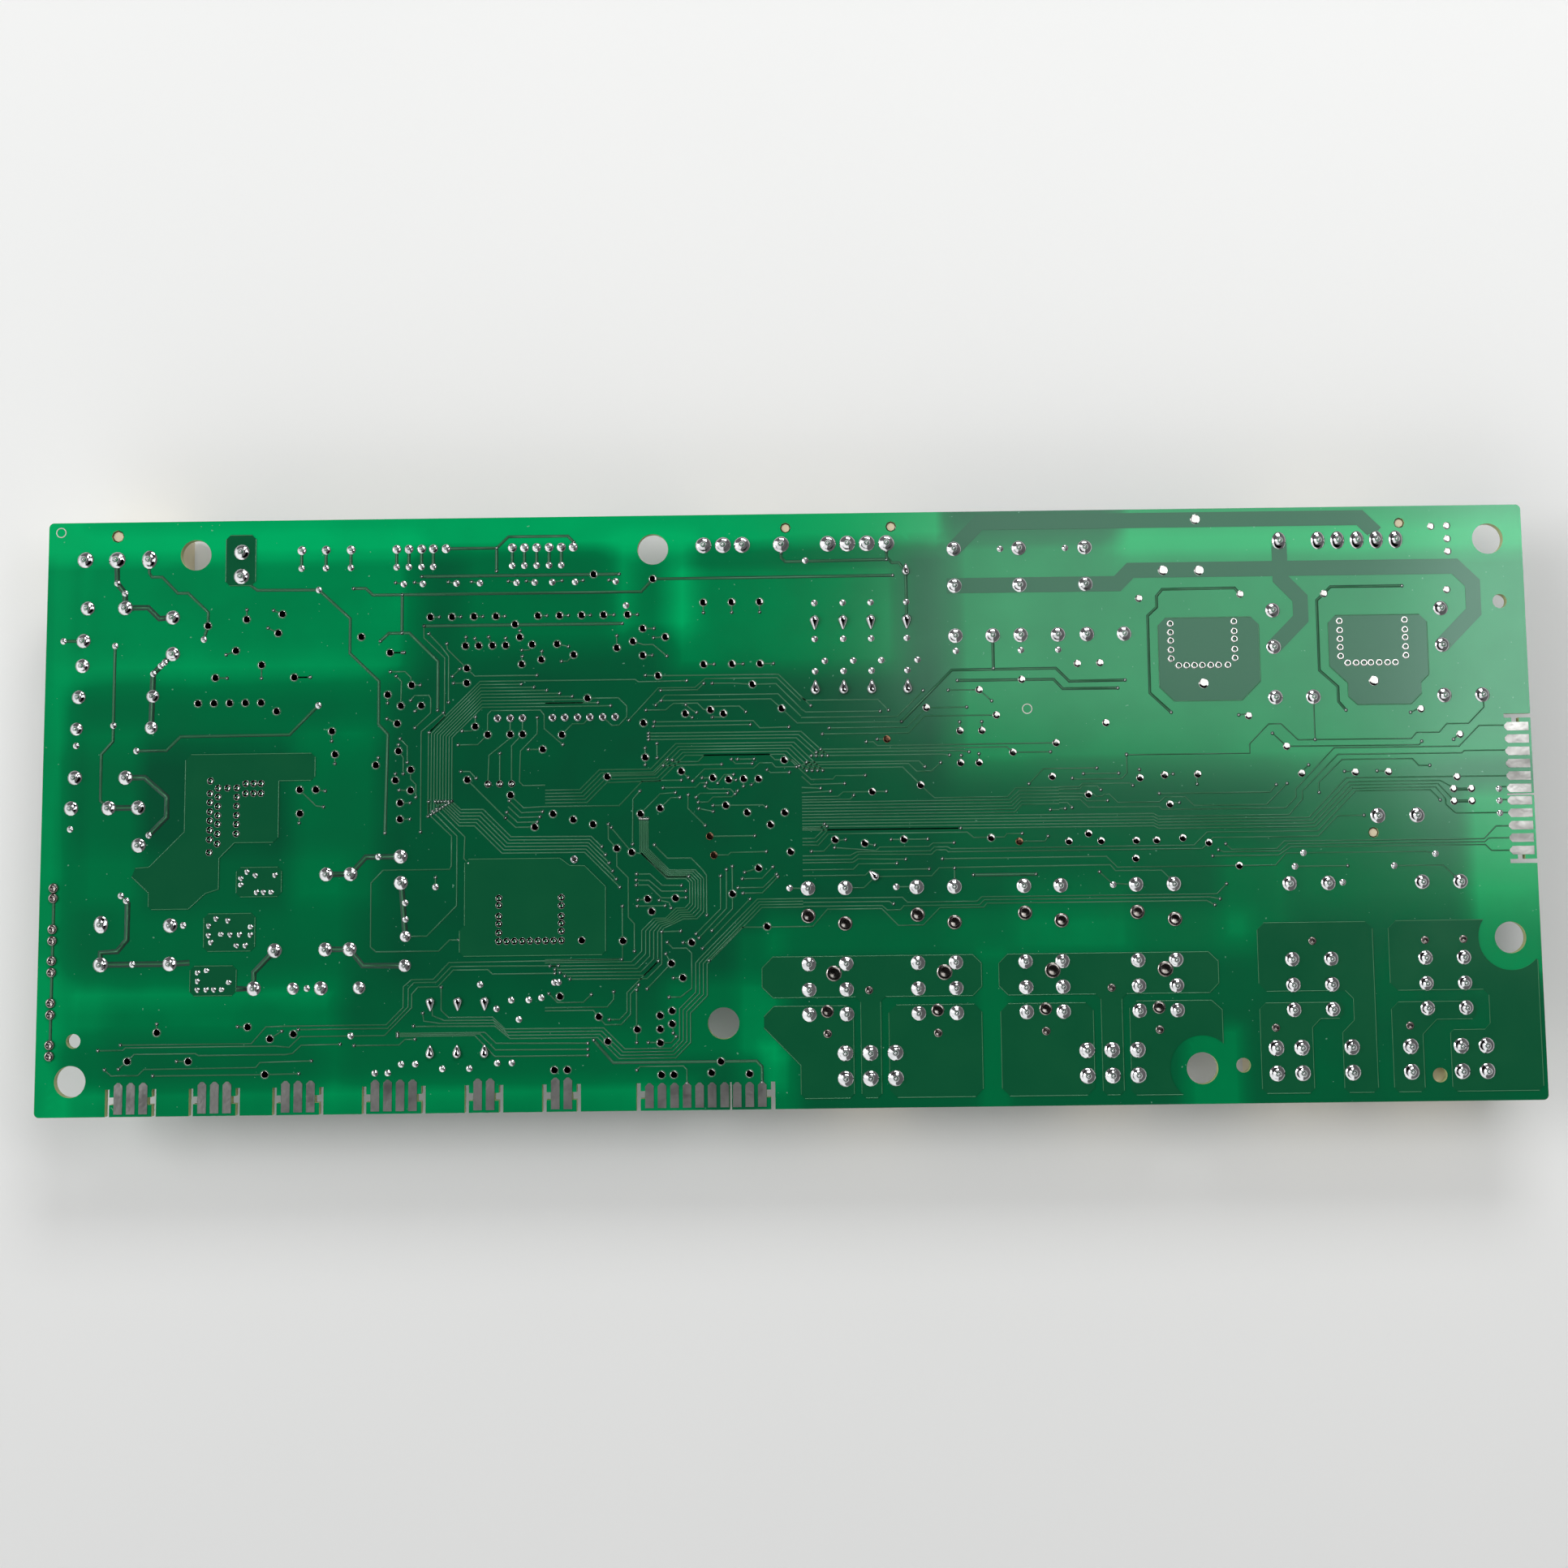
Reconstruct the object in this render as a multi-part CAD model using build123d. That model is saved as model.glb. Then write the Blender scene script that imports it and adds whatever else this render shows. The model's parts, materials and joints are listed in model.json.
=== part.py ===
"""Oven control board: a bare circuit board with its relays, connectors and power supply.

The board lies on its component side, as it comes to rest, with the solder side up.
X runs along the long side, Y across it and Z up. The origin is the middle of the surface
that the tallest components stand on. Millimetres throughout.
"""
from build123d import *
import math
import os

# Board
board_length = 302.0
board_width = 120.0
board_thickness = 1.6
board_corner_radius = 1.0
standing_height = 16.0  # height of the tallest components, which the turned board stands on
grid_columns = 302  # the layout grid, over the whole board
grid_rows = 120

# Holes in the board
mounting_hole_radius = 3.15
mounting_hole_inset = 7.0  # centre of a mounting hole from the edge beside it
side_hole_inset = 6.1
mounting_hole_keepout = 6.5  # radius kept free of copper around a mounting hole
fixing_hole_radius = 1.45
peg_radius = 0.85
peg_clearance = 0.25
peg_height = 1.3
peg_sides = 8

# Copper and solder on the upper side
copper_thickness = 0.1
area_bevel = 1.5
small_area_bevel = 0.8
bus_width = 3.1
joint_radius = 1.5
header_joint_radius = 1.7
signal_joint_radius = 0.9
tab_joint_radius = 1.65
joint_height = 1.5
joint_tip_share = 0.32  # radius of a joint's tip over that of its foot
joint_sides = 5
copper_gap = 0.15

# Direct plug-on contacts at the edges
contact_pitch = 2.5
contact_width = 1.7
narrow_contact_length = 6.2  # on the tongues with two to four contacts
wide_contact_length = 4.9  # on the tongues with ten and eleven contacts
contact_inset = 0.5
contact_point = 0.6
tongue_margin = 1.75  # from the last contact's centre line to the slot
slot_width = 0.85
slot_depth = 5.4
latch_notch_depth = 0.85
latch_notch_width = 1.5
latch_notch_height = 3.1
key_slot_width = 0.4

# Relays
relay_base_height = 1.4
relay_base_inset = 0.25
relay_chamfer = 0.6
contact_relay_length = 20.3
contact_relay_width = 10.3
contact_relay_coil_pitch = 7.6
contact_relay_first_contact = 10.3
contact_relay_second_contact = 17.8
power_relay_length = 29.0
power_relay_width = 12.7
power_relay_coil_pitch = 7.6
power_relay_contact_start = 15.1
power_relay_contact_pitch = 5.05
relay_header_gap = 1.8  # between a power relay and the tab header before it

# Friction-lock headers for the loads, 3.96 mm pitch
load_pitch = 3.96
load_pin_side = 1.14
load_pin_length = 10.4
load_base_height = 3.4
load_front_depth = 4.3
load_back_depth = 4.6
load_wall_height = 9.4
load_wall_thickness = 1.3
load_end_margin = 1.95
load_peg_ahead = 3.4
load_peg_aside = 1.0

# Friction-lock headers for the signals
signal_pitch = 2.53
signal_wide_pitch = 5.05
signal_pin_side = 0.64
signal_pin_length = 9.2
signal_base_height = 2.8
signal_depth = 5.8
signal_wall_height = 7.5
signal_wall_thickness = 1.0
signal_end_margin = 1.9

# Shrouded headers: tabs for the heating elements and pins for the mains
shroud_height = 15.0
shroud_wall = 1.2
shroud_floor = 2.2
shroud_rib_width = 1.4
shroud_rib_depth = 0.8
shroud_key_width = 1.6
shroud_key_depth = 5.0
tab_pitch = 5.02
tab_width = 6.3
tab_thickness = 0.8
tab_length = 13.2
tab_tip_chamfer = 0.9
tab_hole_radius = 0.85
tab_hole_depth = 3.4
tab_leg_pitch = 5.0
tab_shroud_depth = 12.8
tab_shroud_end = 3.4
tab_row = 8.3  # row of the layout grid that the tab headers stand on
mains_pitch = 6.57
mains_pin_side = 1.2
mains_pin_length = 11.5
mains_shroud_depth = 11.4
mains_shroud_end = 3.9
mains_shroud_shift = 0.6
mains_peg_radius = 1.05
mains_peg_ahead = 4.9

# Power supply parts
disc_thickness = 4.6
varistor_diameter = 12.0
thermistor_diameter = 9.0
disc_lift = 1.6
lead_side = 0.7
disc_lead_pitch = 7.6
fuse_length = 8.5
fuse_thickness = 4.0
fuse_height = 8.0
fuse_lead_pitch = 5.1
box_capacitor_length = 18.0
box_capacitor_thickness = 6.0
box_capacitor_height = 12.5
box_capacitor_lead_pitch = 15.1
box_capacitor_spacing = 0.45
safety_capacitor_length = 10.2
safety_capacitor_thickness = 4.2
safety_capacitor_height = 9.0
safety_capacitor_lead_pitch = 7.6
pulse_capacitor_length = 13.0
pulse_capacitor_thickness = 5.0
pulse_capacitor_height = 11.0
pulse_capacitor_lead_pitch = 10.3
box_bevel = 0.5
bulk_diameter = 12.5
bulk_lead_pitch = 7.8
bulk_spacing = 0.9
output_diameter = 8.0
output_height = 12.5
output_lead_pitch = 5.5
middle_output_diameter = 6.3
middle_output_height = 11.0
middle_output_lead_pitch = 3.3
output_spacing = 0.9

# Common-mode choke
choke_length = 19.0
choke_core_width = 13.6
choke_leg_side = 4.2
choke_base_height = 1.6
choke_flange_thickness = 1.0
choke_winding_radius = 4.3
choke_flange_gap = 0.1
choke_base_gap = 0.3
choke_pin_along = 14.0
choke_pin_across = 7.8

# Supply transformer
transformer_base_side = 16.8
transformer_rail_width = 3.4
transformer_core_length = 20.0
transformer_core_depth = 5.6
transformer_core_lift = 0.9
transformer_leg_width = 3.2
transformer_centre_width = 5.4
transformer_yoke_height = 3.0
transformer_flange_thickness = 1.0
transformer_tube_wall = 0.8
transformer_winding_gap = 0.8
transformer_core_gap = 0.1
transformer_row_pitch = 15.0
transformer_pin_pitch = 4.9
transformer_neighbour_gap = 0.4

# Load resistors
resistor_length = 10.6
resistor_diameter = 4.2
resistor_lead_pitch = 14.3
resistor_lift = 0.6
resistor_sides = 12

# Surface-mounted parts on the component side
power_package_width = 10.2
power_package_depth = 8.7
power_package_height = 4.4
power_tab_depth = 1.6
power_tab_thickness = 1.3
power_lead_width = 0.9
power_lead_length = 4.6
power_lead_thickness = 0.5
power_lead_pitch = 5.08
chip_bevel = 0.25
controller_side = 14.0
controller_height = 1.6
driver_length = 10.3
driver_width = 7.5
driver_height = 2.4
supply_chip_length = 9.6
supply_chip_width = 6.6
supply_chip_height = 3.4
coupler_length = 6.5
coupler_width = 4.6
coupler_height = 3.6

component_face = standing_height
solder_face = standing_height + board_thickness

nodes = {}
joints = []


def place(column, row):
    """A point of the layout grid, whose first column and row are the lower left corner."""
    x = board_length * (column / grid_columns - 1 / 2)
    y = board_width * (row / grid_rows - 1 / 2)
    return Vector(x, y)


def add(name, *solids):
    """Adds finished solids to a node."""
    nodes.setdefault(name, []).extend(solids)


def hang(solid, point):
    """Puts a component, built below its seat at Z 0, under the board at a point."""
    return Pos(point.X, point.Y, component_face) * solid


def joint(point, across=0.0, along=0.0, radius=joint_radius):
    """Notes a solder joint on the upper side, offset from a component's own point."""
    joints.append((point.X + across, point.Y + along, radius))


def hanging_box(length, width, height, drop=0.0):
    """A box along X by along Y by down, with its upper face at a drop below the seat."""
    return Pos(0, 0, -drop - height / 2) * Box(length, width, height)


def moulded_box(length, width, height, bevel):
    """A seated box with its lower rim and upright edges bevelled, as a moulded case has."""
    case = hanging_box(length, width, height)
    upright = case.edges().filter_by(Axis.Z)
    rim = case.faces().sort_by(Axis.Z)[0].edges()
    return chamfer(upright + rim, bevel)


# ---------------------------------------------------------------- the board

pegs = []


def tongue_cuts(count, key_after):
    """Slots, latch notches and key slot of a plug-on tongue, whose first contact is at X 0.

    The edge of the board lies on Y 0 and the board above it.
    """
    last = (count - 1) * contact_pitch
    cuts = Sketch()
    for side, line in ((-1, 0), (1, last)):
        wall = line + side * tongue_margin
        slot = Rectangle(slot_width, slot_depth)
        notch = Rectangle(latch_notch_depth, latch_notch_width)
        cuts += Pos(wall + side * slot_width / 2, slot_depth / 2) * slot
        cuts += Pos(wall - side * latch_notch_depth / 2, latch_notch_height) * notch
    if key_after:
        key_line = (key_after - 0.5) * contact_pitch
        cuts += Pos(key_line, slot_depth / 2) * Rectangle(key_slot_width, slot_depth)
    return cuts


def tongues():
    """The frame of each plug-on tongue, its number of contacts and its key slot's place."""
    edge = -board_width / 2
    lower = ((16.75, 3), (33.5, 3), (50.2, 3), (68.1, 4), (88.6, 2), (104.1, 2))
    frames = [(Pos(place(column, 0).X, edge), count, 0) for column, count in lower]
    frames.append((Pos(place(122.9, 0).X, edge), 10, 7))
    frames.append((Pos(board_length / 2, place(0, 49.5).Y) * Rot(0, 0, 90), 11, 5))
    return frames


def lower_cut_hole():
    """The mounting hole on the lower long edge, which a copper area is cut back from."""
    return Vector(place(233.3, 0).X, -board_width / 2 + mounting_hole_inset)


def right_cut_hole():
    """The mounting hole on the right edge, which a copper area is cut back from."""
    return Vector(board_length / 2 - side_hole_inset, place(0, 32.1).Y)


def mounting_points():
    """Centres of the seven mounting holes."""
    left, right = -board_length / 2 + mounting_hole_inset, board_length / 2 - mounting_hole_inset
    lower, upper = -board_width / 2 + mounting_hole_inset, board_width / 2 - mounting_hole_inset
    return [
        Vector(left, lower),
        Vector(right, upper),
        Vector(place(30.3, 0).X, upper),
        Vector(place(124.0, 0).X, upper),
        place(137.8, 17.0),
        lower_cut_hole(),
        right_cut_hole(),
    ]


def circuit_board():
    """The laminate with its plug-on tongues, mounting holes and locating holes."""
    blank = RectangleRounded(board_length, board_width, board_corner_radius)
    for frame, count, key_after in tongues():
        blank -= frame * tongue_cuts(count, key_after)
    for point in mounting_points():
        blank -= Pos(point.X, point.Y) * Circle(mounting_hole_radius)
    for point in (place(7.5, 15.0), place(296.9, 100.1), place(241.5, 7.5), place(280.6, 5.1)):
        blank -= Pos(point.X, point.Y) * Circle(fixing_hole_radius)
    for point, radius in pegs:
        blank -= Pos(point.X, point.Y) * RegularPolygon(radius + peg_clearance, peg_sides)
    add("circuit_board", Pos(0, 0, component_face) * extrude(blank, board_thickness))


def contact_face(length):
    """One plug-on contact, with its inner end brought to a blunt point."""
    half, end = contact_width / 2, contact_inset + length
    outline = Polyline(
        (-half, contact_inset),
        (half, contact_inset),
        (half, end - contact_point),
        (half - contact_point, end),
        (-half + contact_point, end),
        (-half, end - contact_point),
        close=True,
    )
    return make_face(outline)


def edge_contacts():
    """The plated contacts on the upper side of every tongue."""
    for frame, count, key_after in tongues():
        outline = contact_face(wide_contact_length if key_after else narrow_contact_length)
        for number in range(count):
            face = frame * Pos(number * contact_pitch, 0) * outline
            add("edge_contacts", Pos(0, 0, solder_face) * extrude(face, copper_thickness))


# ---------------------------------------------------------------- copper and solder


def area(*corners):
    """A flat face through corners given as columns and rows of the layout grid."""
    points = [place(column, row) for column, row in corners]
    return make_face(Polyline(*points, close=True))


def block_area(left, bottom, right, top, bevel=area_bevel):
    """A rectangular copper area with its corners cut off."""
    return area(
        (left + bevel, bottom),
        (right - bevel, bottom),
        (right, bottom + bevel),
        (right, top - bevel),
        (right - bevel, top),
        (left + bevel, top),
        (left, top - bevel),
        (left, bottom + bevel),
    )


def supply_areas():
    """Copper areas of the power supply, at the left of the board."""
    heat_spreader = area(
        (29, 71), (30.1, 72.1), (54.5, 72.1), (55.3, 71.3), (55.3, 67.4), (54.5, 66.6),
        (48, 66.6), (48, 55.2), (47, 54.2), (39.2, 54.2), (36.1, 51.1), (36.1, 44.9),
        (33.5, 44.1), (30.1, 41), (22.6, 41), (22, 41.6), (22, 44.3), (18.5, 47.6),
        (19.2, 49.3), (22, 49.5), (29, 56.5),
    )
    earth = block_area(36.5, 106.6, 42.6, 117, small_area_bevel)
    small = ((39.7, 43.3, 48.8, 49.2), (33.3, 32.5, 43.6, 40), (30.7, 23.7, 40, 29.6))
    return [heat_spreader, earth] + [block_area(*sides, small_area_bevel) for sides in small]


def package_areas():
    """Copper areas that cool the three power packages on the other side."""
    first = area(
        (227, 83.4), (229.9, 80.5), (243.7, 80.5), (247.5, 84.3),
        (247.5, 96), (246, 97.5), (228.5, 97.5), (227, 96),
    )
    second = area(
        (261.7, 87.2), (265.3, 83.7), (265.3, 81), (267.1, 79.3), (278, 79.3), (280.2, 81.5),
        (280.2, 83.7), (281.8, 85.3), (281.8, 96.1), (280.3, 97.6), (263.2, 97.6), (261.7, 96.1),
    )
    regulator = area(
        (85.6, 30.9), (113.5, 30.9), (114.2, 31.6), (114.2, 44.5), (110, 48.7), (107, 48.8),
        (105, 50.3), (86.5, 50.3), (85.8, 49.6), (85.8, 37), (84.8, 36), (84.8, 31.7),
    )
    return [first, second, regulator]


def first_relay_areas():
    """Copper areas of the first four power relays, each pair sharing an upper one."""
    left_upper = area(
        (145.6, 24), (147.8, 21.9), (164.3, 21.9), (165.3, 20.9), (165.3, 2.8), (166.1, 2),
        (168.5, 2), (169.3, 2.8), (169.3, 20.9), (170.3, 21.9), (187.8, 21.9), (189.6, 23.7),
        (189.6, 28.3), (187.9, 30), (147.8, 30), (145.6, 27.8),
    )
    left_lower = area(
        (145.9, 16), (153.2, 8.5), (153.2, 2.8), (154, 2), (163, 2), (163.8, 2.8),
        (163.8, 18.9), (162.5, 20.2), (147.9, 20.2), (145.9, 18.2),
    )
    middle_upper = area(
        (193.1, 23.7), (194.9, 21.9), (212.4, 21.9), (213.4, 20.9), (213.4, 2.8), (214.2, 2),
        (216.8, 2), (217.6, 2.8), (217.6, 20.9), (218.6, 21.9), (235.2, 21.9), (237.1, 23.8),
        (237.1, 28.1), (235.2, 30), (194.9, 30), (193.1, 28.2),
    )
    right_lower = area(
        (219.1, 2.8), (220, 1.9), (231.5, 1.9), (237.6, 8), (237.6, 18.5), (235.5, 20.4),
        (220.4, 20.4), (219.1, 19.1),
    )
    hole = lower_cut_hole()
    right_lower -= Pos(hole.X, hole.Y) * Circle(mounting_hole_keepout)
    blocks = [block_area(170.9, 2, 189.5, 20.2), block_area(193.3, 2, 211.8, 20.2)]
    return [left_upper, left_lower, middle_upper, right_lower] + blocks


def last_relay_areas():
    """Copper areas of the last two power relays, the outer one reaching the board's corner."""
    fifth_upper = area(
        (245.1, 23.6), (246.6, 22), (262.3, 22), (263.9, 20.4), (263.9, 16.1), (261.5, 13.7),
        (261.5, 2.8), (262.4, 1.9), (267.3, 1.9), (268.2, 2.8), (268.2, 34.2), (266.8, 35.6),
        (246.5, 35.6), (245.1, 34.2),
    )
    fifth_lower = area(
        (245.1, 2.8), (246, 1.9), (254.6, 1.9), (255.5, 2.8), (255.5, 14.8), (257.2, 16.5),
        (261, 16.5), (261.8, 17.3), (261.8, 18.9), (261, 19.7), (246.3, 19.7), (245.1, 18.5),
    )
    sixth_upper = area(
        (271.4, 23.4), (272.9, 21.9), (289.9, 21.9), (291, 20.8), (291, 15.2), (289.9, 14),
        (283.6, 14), (283, 13.4), (283, 2.8), (283.9, 1.9), (300.2, 1.9), (301.1, 2.8),
        (301.1, 27.6), (292, 35.7), (272.9, 35.7), (271.4, 34.2),
    )
    sixth_lower = area(
        (271.4, 2.8), (272.3, 1.9), (276.7, 1.9), (277.5, 2.7), (277.5, 13.2), (280.4, 16.1),
        (287.5, 16.1), (288.3, 16.9), (288.3, 18.8), (287.5, 19.6), (272.8, 19.6), (271.4, 18.2),
    )
    hole = right_cut_hole()
    sixth_upper -= Pos(hole.X, hole.Y) * Circle(mounting_hole_keepout)
    return [fifth_upper, fifth_lower, sixth_upper, sixth_lower]


def band(width, *corners):
    """A mitred strip of copper along a path of layout points."""
    points = [place(column, row) for column, row in corners]
    ways = [(after - before).normalized() for before, after in zip(points, points[1:])]
    ways = [ways[0]] + ways + [ways[-1]]
    left, right = [], []
    for point, before, after in zip(points, ways, ways[1:]):
        across = (before + after).normalized().rotate(Axis.Z, 90)
        reach = width / 2 / across.dot(before.rotate(Axis.Z, 90))
        left.append(point + across * reach)
        right.append(point - across * reach)
    return make_face(Polyline(*left, *reversed(right), close=True))


def supply_buses():
    """The wide tracks that feed the relays and the load headers."""
    upper = band(bus_width, (185.7, 112.3), (191, 117.7), (269, 117.7), (272.2, 114.5))
    lower = band(
        bus_width,
        (184.1, 104.7), (219, 104.7), (221.7, 107.4), (288, 107.4), (291.5, 103.9),
        (291.5, 98), (284.8, 91.3),
    )
    branch = band(
        bus_width, (252.3, 113.1), (252.3, 105.3), (256.2, 101.2), (256.2, 97), (250.5, 91.3)
    )
    return [upper, lower + branch]


def solder_joint(radius):
    """A cone of solder that rises to a lead's tip, with a few flat sides."""
    foot = RegularPolygon(radius, joint_sides)
    slope = math.degrees(math.atan(radius * (1 - joint_tip_share) / joint_height))
    return extrude(foot, joint_height, taper=slope)


def points_met(sketch, x, y, radius):
    """How many of four points around a joint's foot lie on a copper sketch."""
    around = [(x + radius, y), (x - radius, y), (x, y + radius), (x, y - radius)]
    return sum(any(f.is_inside(Vector(*p)) for f in sketch.faces()) for p in around)


def copper_and_joints():
    """Copper areas and buses, with each solder joint on its copper or on the board.

    Copper that only reaches part of a joint's foot is cut back round it.
    """
    areas = supply_areas() + package_areas() + first_relay_areas() + last_relay_areas()
    buses = supply_buses()
    for x, y, radius in joints:
        foot = solder_face
        for group in (areas, buses):
            for index, sketch in enumerate(group):
                met = points_met(sketch, x, y, radius)
                if met == 4:
                    foot = solder_face + copper_thickness
                elif met:
                    cutter = RegularPolygon(radius + copper_gap, joint_sides)
                    group[index] = sketch - Pos(x, y) * cutter
        add("solder_joints", Pos(x, y, foot) * solder_joint(radius))
    for name, group in (("copper_areas", areas), ("bus_tracks", buses)):
        for sketch in group:
            add(name, Pos(0, 0, solder_face) * extrude(sketch, copper_thickness))


# ---------------------------------------------------------------- connectors


def lock_profile(front, back, base_height, wall_height, wall_thickness):
    """Section of a friction-lock header across its row: a base and one tapered wall."""
    taper = wall_thickness / 2
    return Polyline(
        (-front, 0),
        (back, 0),
        (back, -wall_height + taper),
        (back - taper, -wall_height),
        (back - wall_thickness, -wall_height + taper),
        (back - wall_thickness, -base_height),
        (-front, -base_height),
        close=True,
    )


def lock_header(name, frame, places, pitch, profile, margin, notch_depth, pin_side, pin_length):
    """A header whose places lists the ways that hold a pin, counted from the frame's origin.

    Its wall is notched between the ways, so that it can spring.
    """
    length = places[-1] * pitch + 2 * margin
    body = extrude(make_face(Plane.YZ * profile), length, dir=(1, 0, 0))
    body = Pos(-margin, 0, 0) * body
    low = body.bounding_box().min.Z
    notch = Box(pitch / 2, board_width, notch_depth * 2)
    for gap in range(places[-1]):
        body -= Pos((gap + 0.5) * pitch, 0, low) * notch
    for way in places:
        pin = Pos(way * pitch, 0, 0) * hanging_box(pin_side, pin_side, pin_length)
        body -= pin
        add("header_pins", frame * pin)
    return body


def load_header(name, point, places, turn=0):
    """A 3.96 mm header with the peg that keys it to the board, and its joints."""
    frame = Pos(point.X, point.Y, component_face) * Rot(0, 0, turn)
    profile = lock_profile(
        load_front_depth, load_back_depth, load_base_height, load_wall_height, load_wall_thickness
    )
    body = lock_header(
        name, frame, places, load_pitch, profile, load_end_margin,
        (load_wall_height - load_base_height) / 2, load_pin_side, load_pin_length,
    )
    foot = Pos(places[-1] * load_pitch + load_peg_aside, load_peg_ahead, 0)
    peg = foot * extrude(RegularPolygon(peg_radius, peg_sides), peg_height)
    pegs.append(((frame * foot).position, peg_radius))
    add(name, frame * (body + peg))
    for way in places:
        spot = (frame * Pos(way * load_pitch, 0, 0)).position
        joint(spot, radius=header_joint_radius)


def signal_header(name, point, ways, pitch):
    """A low header for sensor and display leads, with small joints."""
    frame = Pos(point.X, point.Y, component_face)
    profile = lock_profile(
        signal_depth / 2, signal_depth / 2, signal_base_height, signal_wall_height,
        signal_wall_thickness,
    )
    body = lock_header(
        name, frame, range(ways), pitch, profile, signal_end_margin,
        (signal_wall_height - signal_base_height) / 2, signal_pin_side, signal_pin_length,
    )
    add(name, frame * body)
    for way in range(ways):
        joint(point, across=way * pitch, radius=signal_joint_radius)


def shroud(length, depth, slots):
    """An open-mouthed housing with a slotted floor, corner ribs and two keying slots."""
    body = hanging_box(length, depth, shroud_height)
    cavity_length, cavity_depth = length - 2 * shroud_wall, depth - 2 * shroud_wall
    body -= hanging_box(cavity_length, cavity_depth, shroud_height, shroud_floor)
    key = Box(shroud_key_width, 2 * shroud_wall, 2 * shroud_key_depth)
    rib = hanging_box(shroud_rib_width, shroud_rib_depth, shroud_height - shroud_floor)
    for side in (-1, 1):
        across = side * (length / 2 - shroud_wall - shroud_key_width)
        body -= Pos(across, depth / 2, -shroud_height) * key
        across = side * (length / 2 - shroud_rib_width)
        body += Pos(across, -(depth + shroud_rib_depth) / 2, 0) * rib
    for slot in slots:
        body -= slot
    return body


def tab_blade():
    """A flat tab with a bevelled tip, thin along X."""
    blade = hanging_box(tab_thickness, tab_width, tab_length)
    tip = blade.faces().sort_by(Axis.Z)[0].edges().filter_by(Axis.X)
    return chamfer(tip, tab_tip_chamfer)


def earth_tab(point):
    """The open earth tab, with the detent hole that its receptacle snaps into."""
    hole = Rot(0, 90, 0) * Cylinder(tab_hole_radius, 2 * tab_thickness)
    tab = tab_blade() - Pos(0, 0, -tab_length + tab_hole_depth) * hole
    add("earth_tab", hang(tab, point))
    tab_joints(point, 0)


def tab_joints(point, across):
    """The two joints of a tab's legs."""
    for side in (-1, 1):
        joint(point, across, side * tab_leg_pitch / 2, tab_joint_radius)


def tab_header(name, point, places):
    """A shrouded header with flat tabs for the heating elements; places lists its tabs."""
    middle = places[-1] * tab_pitch / 2
    blades = [Pos(way * tab_pitch - middle, 0, 0) * tab_blade() for way in places]
    centre = point + Vector(middle, 0)
    body = shroud(2 * middle + 2 * tab_shroud_end, tab_shroud_depth, blades)
    add(name, hang(body, centre))
    for way, blade in zip(places, blades):
        add("tab_terminals", hang(blade, centre))
        tab_joints(point, way * tab_pitch)


def mains_connector(point, ways):
    """The shrouded mains inlet header, keyed to the board with a stout peg."""
    middle = (ways - 1) * mains_pitch / 2
    pin = hanging_box(mains_pin_side, mains_pin_side, mains_pin_length)
    pins = [Pos(way * mains_pitch - middle, 0, 0) * pin for way in range(ways)]
    housing = shroud(2 * middle + 2 * mains_shroud_end, mains_shroud_depth, [])
    housing = Pos(0, mains_shroud_shift, 0) * housing
    for slot in pins:
        housing -= slot
    peg = extrude(RegularPolygon(mains_peg_radius, peg_sides), peg_height)
    peg = Pos(0, mains_peg_ahead, 0) * peg
    centre = point + Vector(middle, 0)
    pegs.append((centre + Vector(0, mains_peg_ahead), mains_peg_radius))
    add("mains_connector", hang(housing + peg, centre))
    for way, solid in enumerate(pins):
        add("mains_connector_pins", hang(solid, centre))
        joint(point, across=way * mains_pitch)


def connectors():
    """Every connector, from the mains inlet at the upper left to the tabs at the lower right."""
    mains_connector(place(7.6, 112.2), 3)
    earth_tab(place(39.7, 111.0))
    signal_header("three_way_header", place(52, 113.7), 3, signal_wide_pitch)
    signal_header("five_way_header", place(71.5, 113.7), 5, signal_pitch)
    signal_header("six_way_header", place(95.2, 113.7), 6, signal_pitch)
    load_header("load_header_1", place(134.4, 113.7), (0, 1, 2, 4))
    load_header("load_header_2", place(160, 113.7), (0, 1, 2, 3))
    load_header("load_header_3", place(252.3, 113.1), (0, 2, 3, 4, 5, 6))
    load_header("load_header_4", place(278.2, 56.8), (0, 2), turn=180)
    tab_header("tab_header_1", place(162.1, tab_row), (0, 1, 2))
    tab_header("tab_header_2", place(210.4, tab_row), (0, 1, 2))
    tab_header("tab_header_3", place(248.2, tab_row), (0, 1, 3))
    tab_header("tab_header_4", place(275.0, tab_row), (0, 2, 3))


# ---------------------------------------------------------------- relays


def relay_case(length, width):
    """A sealed relay: its case over a slightly smaller base, seated on the board."""
    inset = 2 * relay_base_inset
    base = hanging_box(width - inset, length - inset, relay_base_height)
    case = moulded_box(width, length, standing_height - relay_base_height, relay_chamfer)
    return base + Pos(0, 0, -relay_base_height) * case


def relay(name, coil, length, width, centre, pins):
    """Puts a relay under the board, its centre and pins counted from its first coil pin."""
    add(name, hang(relay_case(length, width), coil + Vector(*centre)))
    for across, along in pins:
        joint(coil, across, along)


def contact_relay(name, coil):
    """A slim relay with two coil pins at one end and two contacts along one side."""
    far = contact_relay_second_contact
    pins = [(0, 0), (contact_relay_coil_pitch, 0), (0, contact_relay_first_contact), (0, far)]
    centre = (contact_relay_coil_pitch / 2, far / 2)
    relay(name, coil, contact_relay_length, contact_relay_width, centre, pins)


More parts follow.
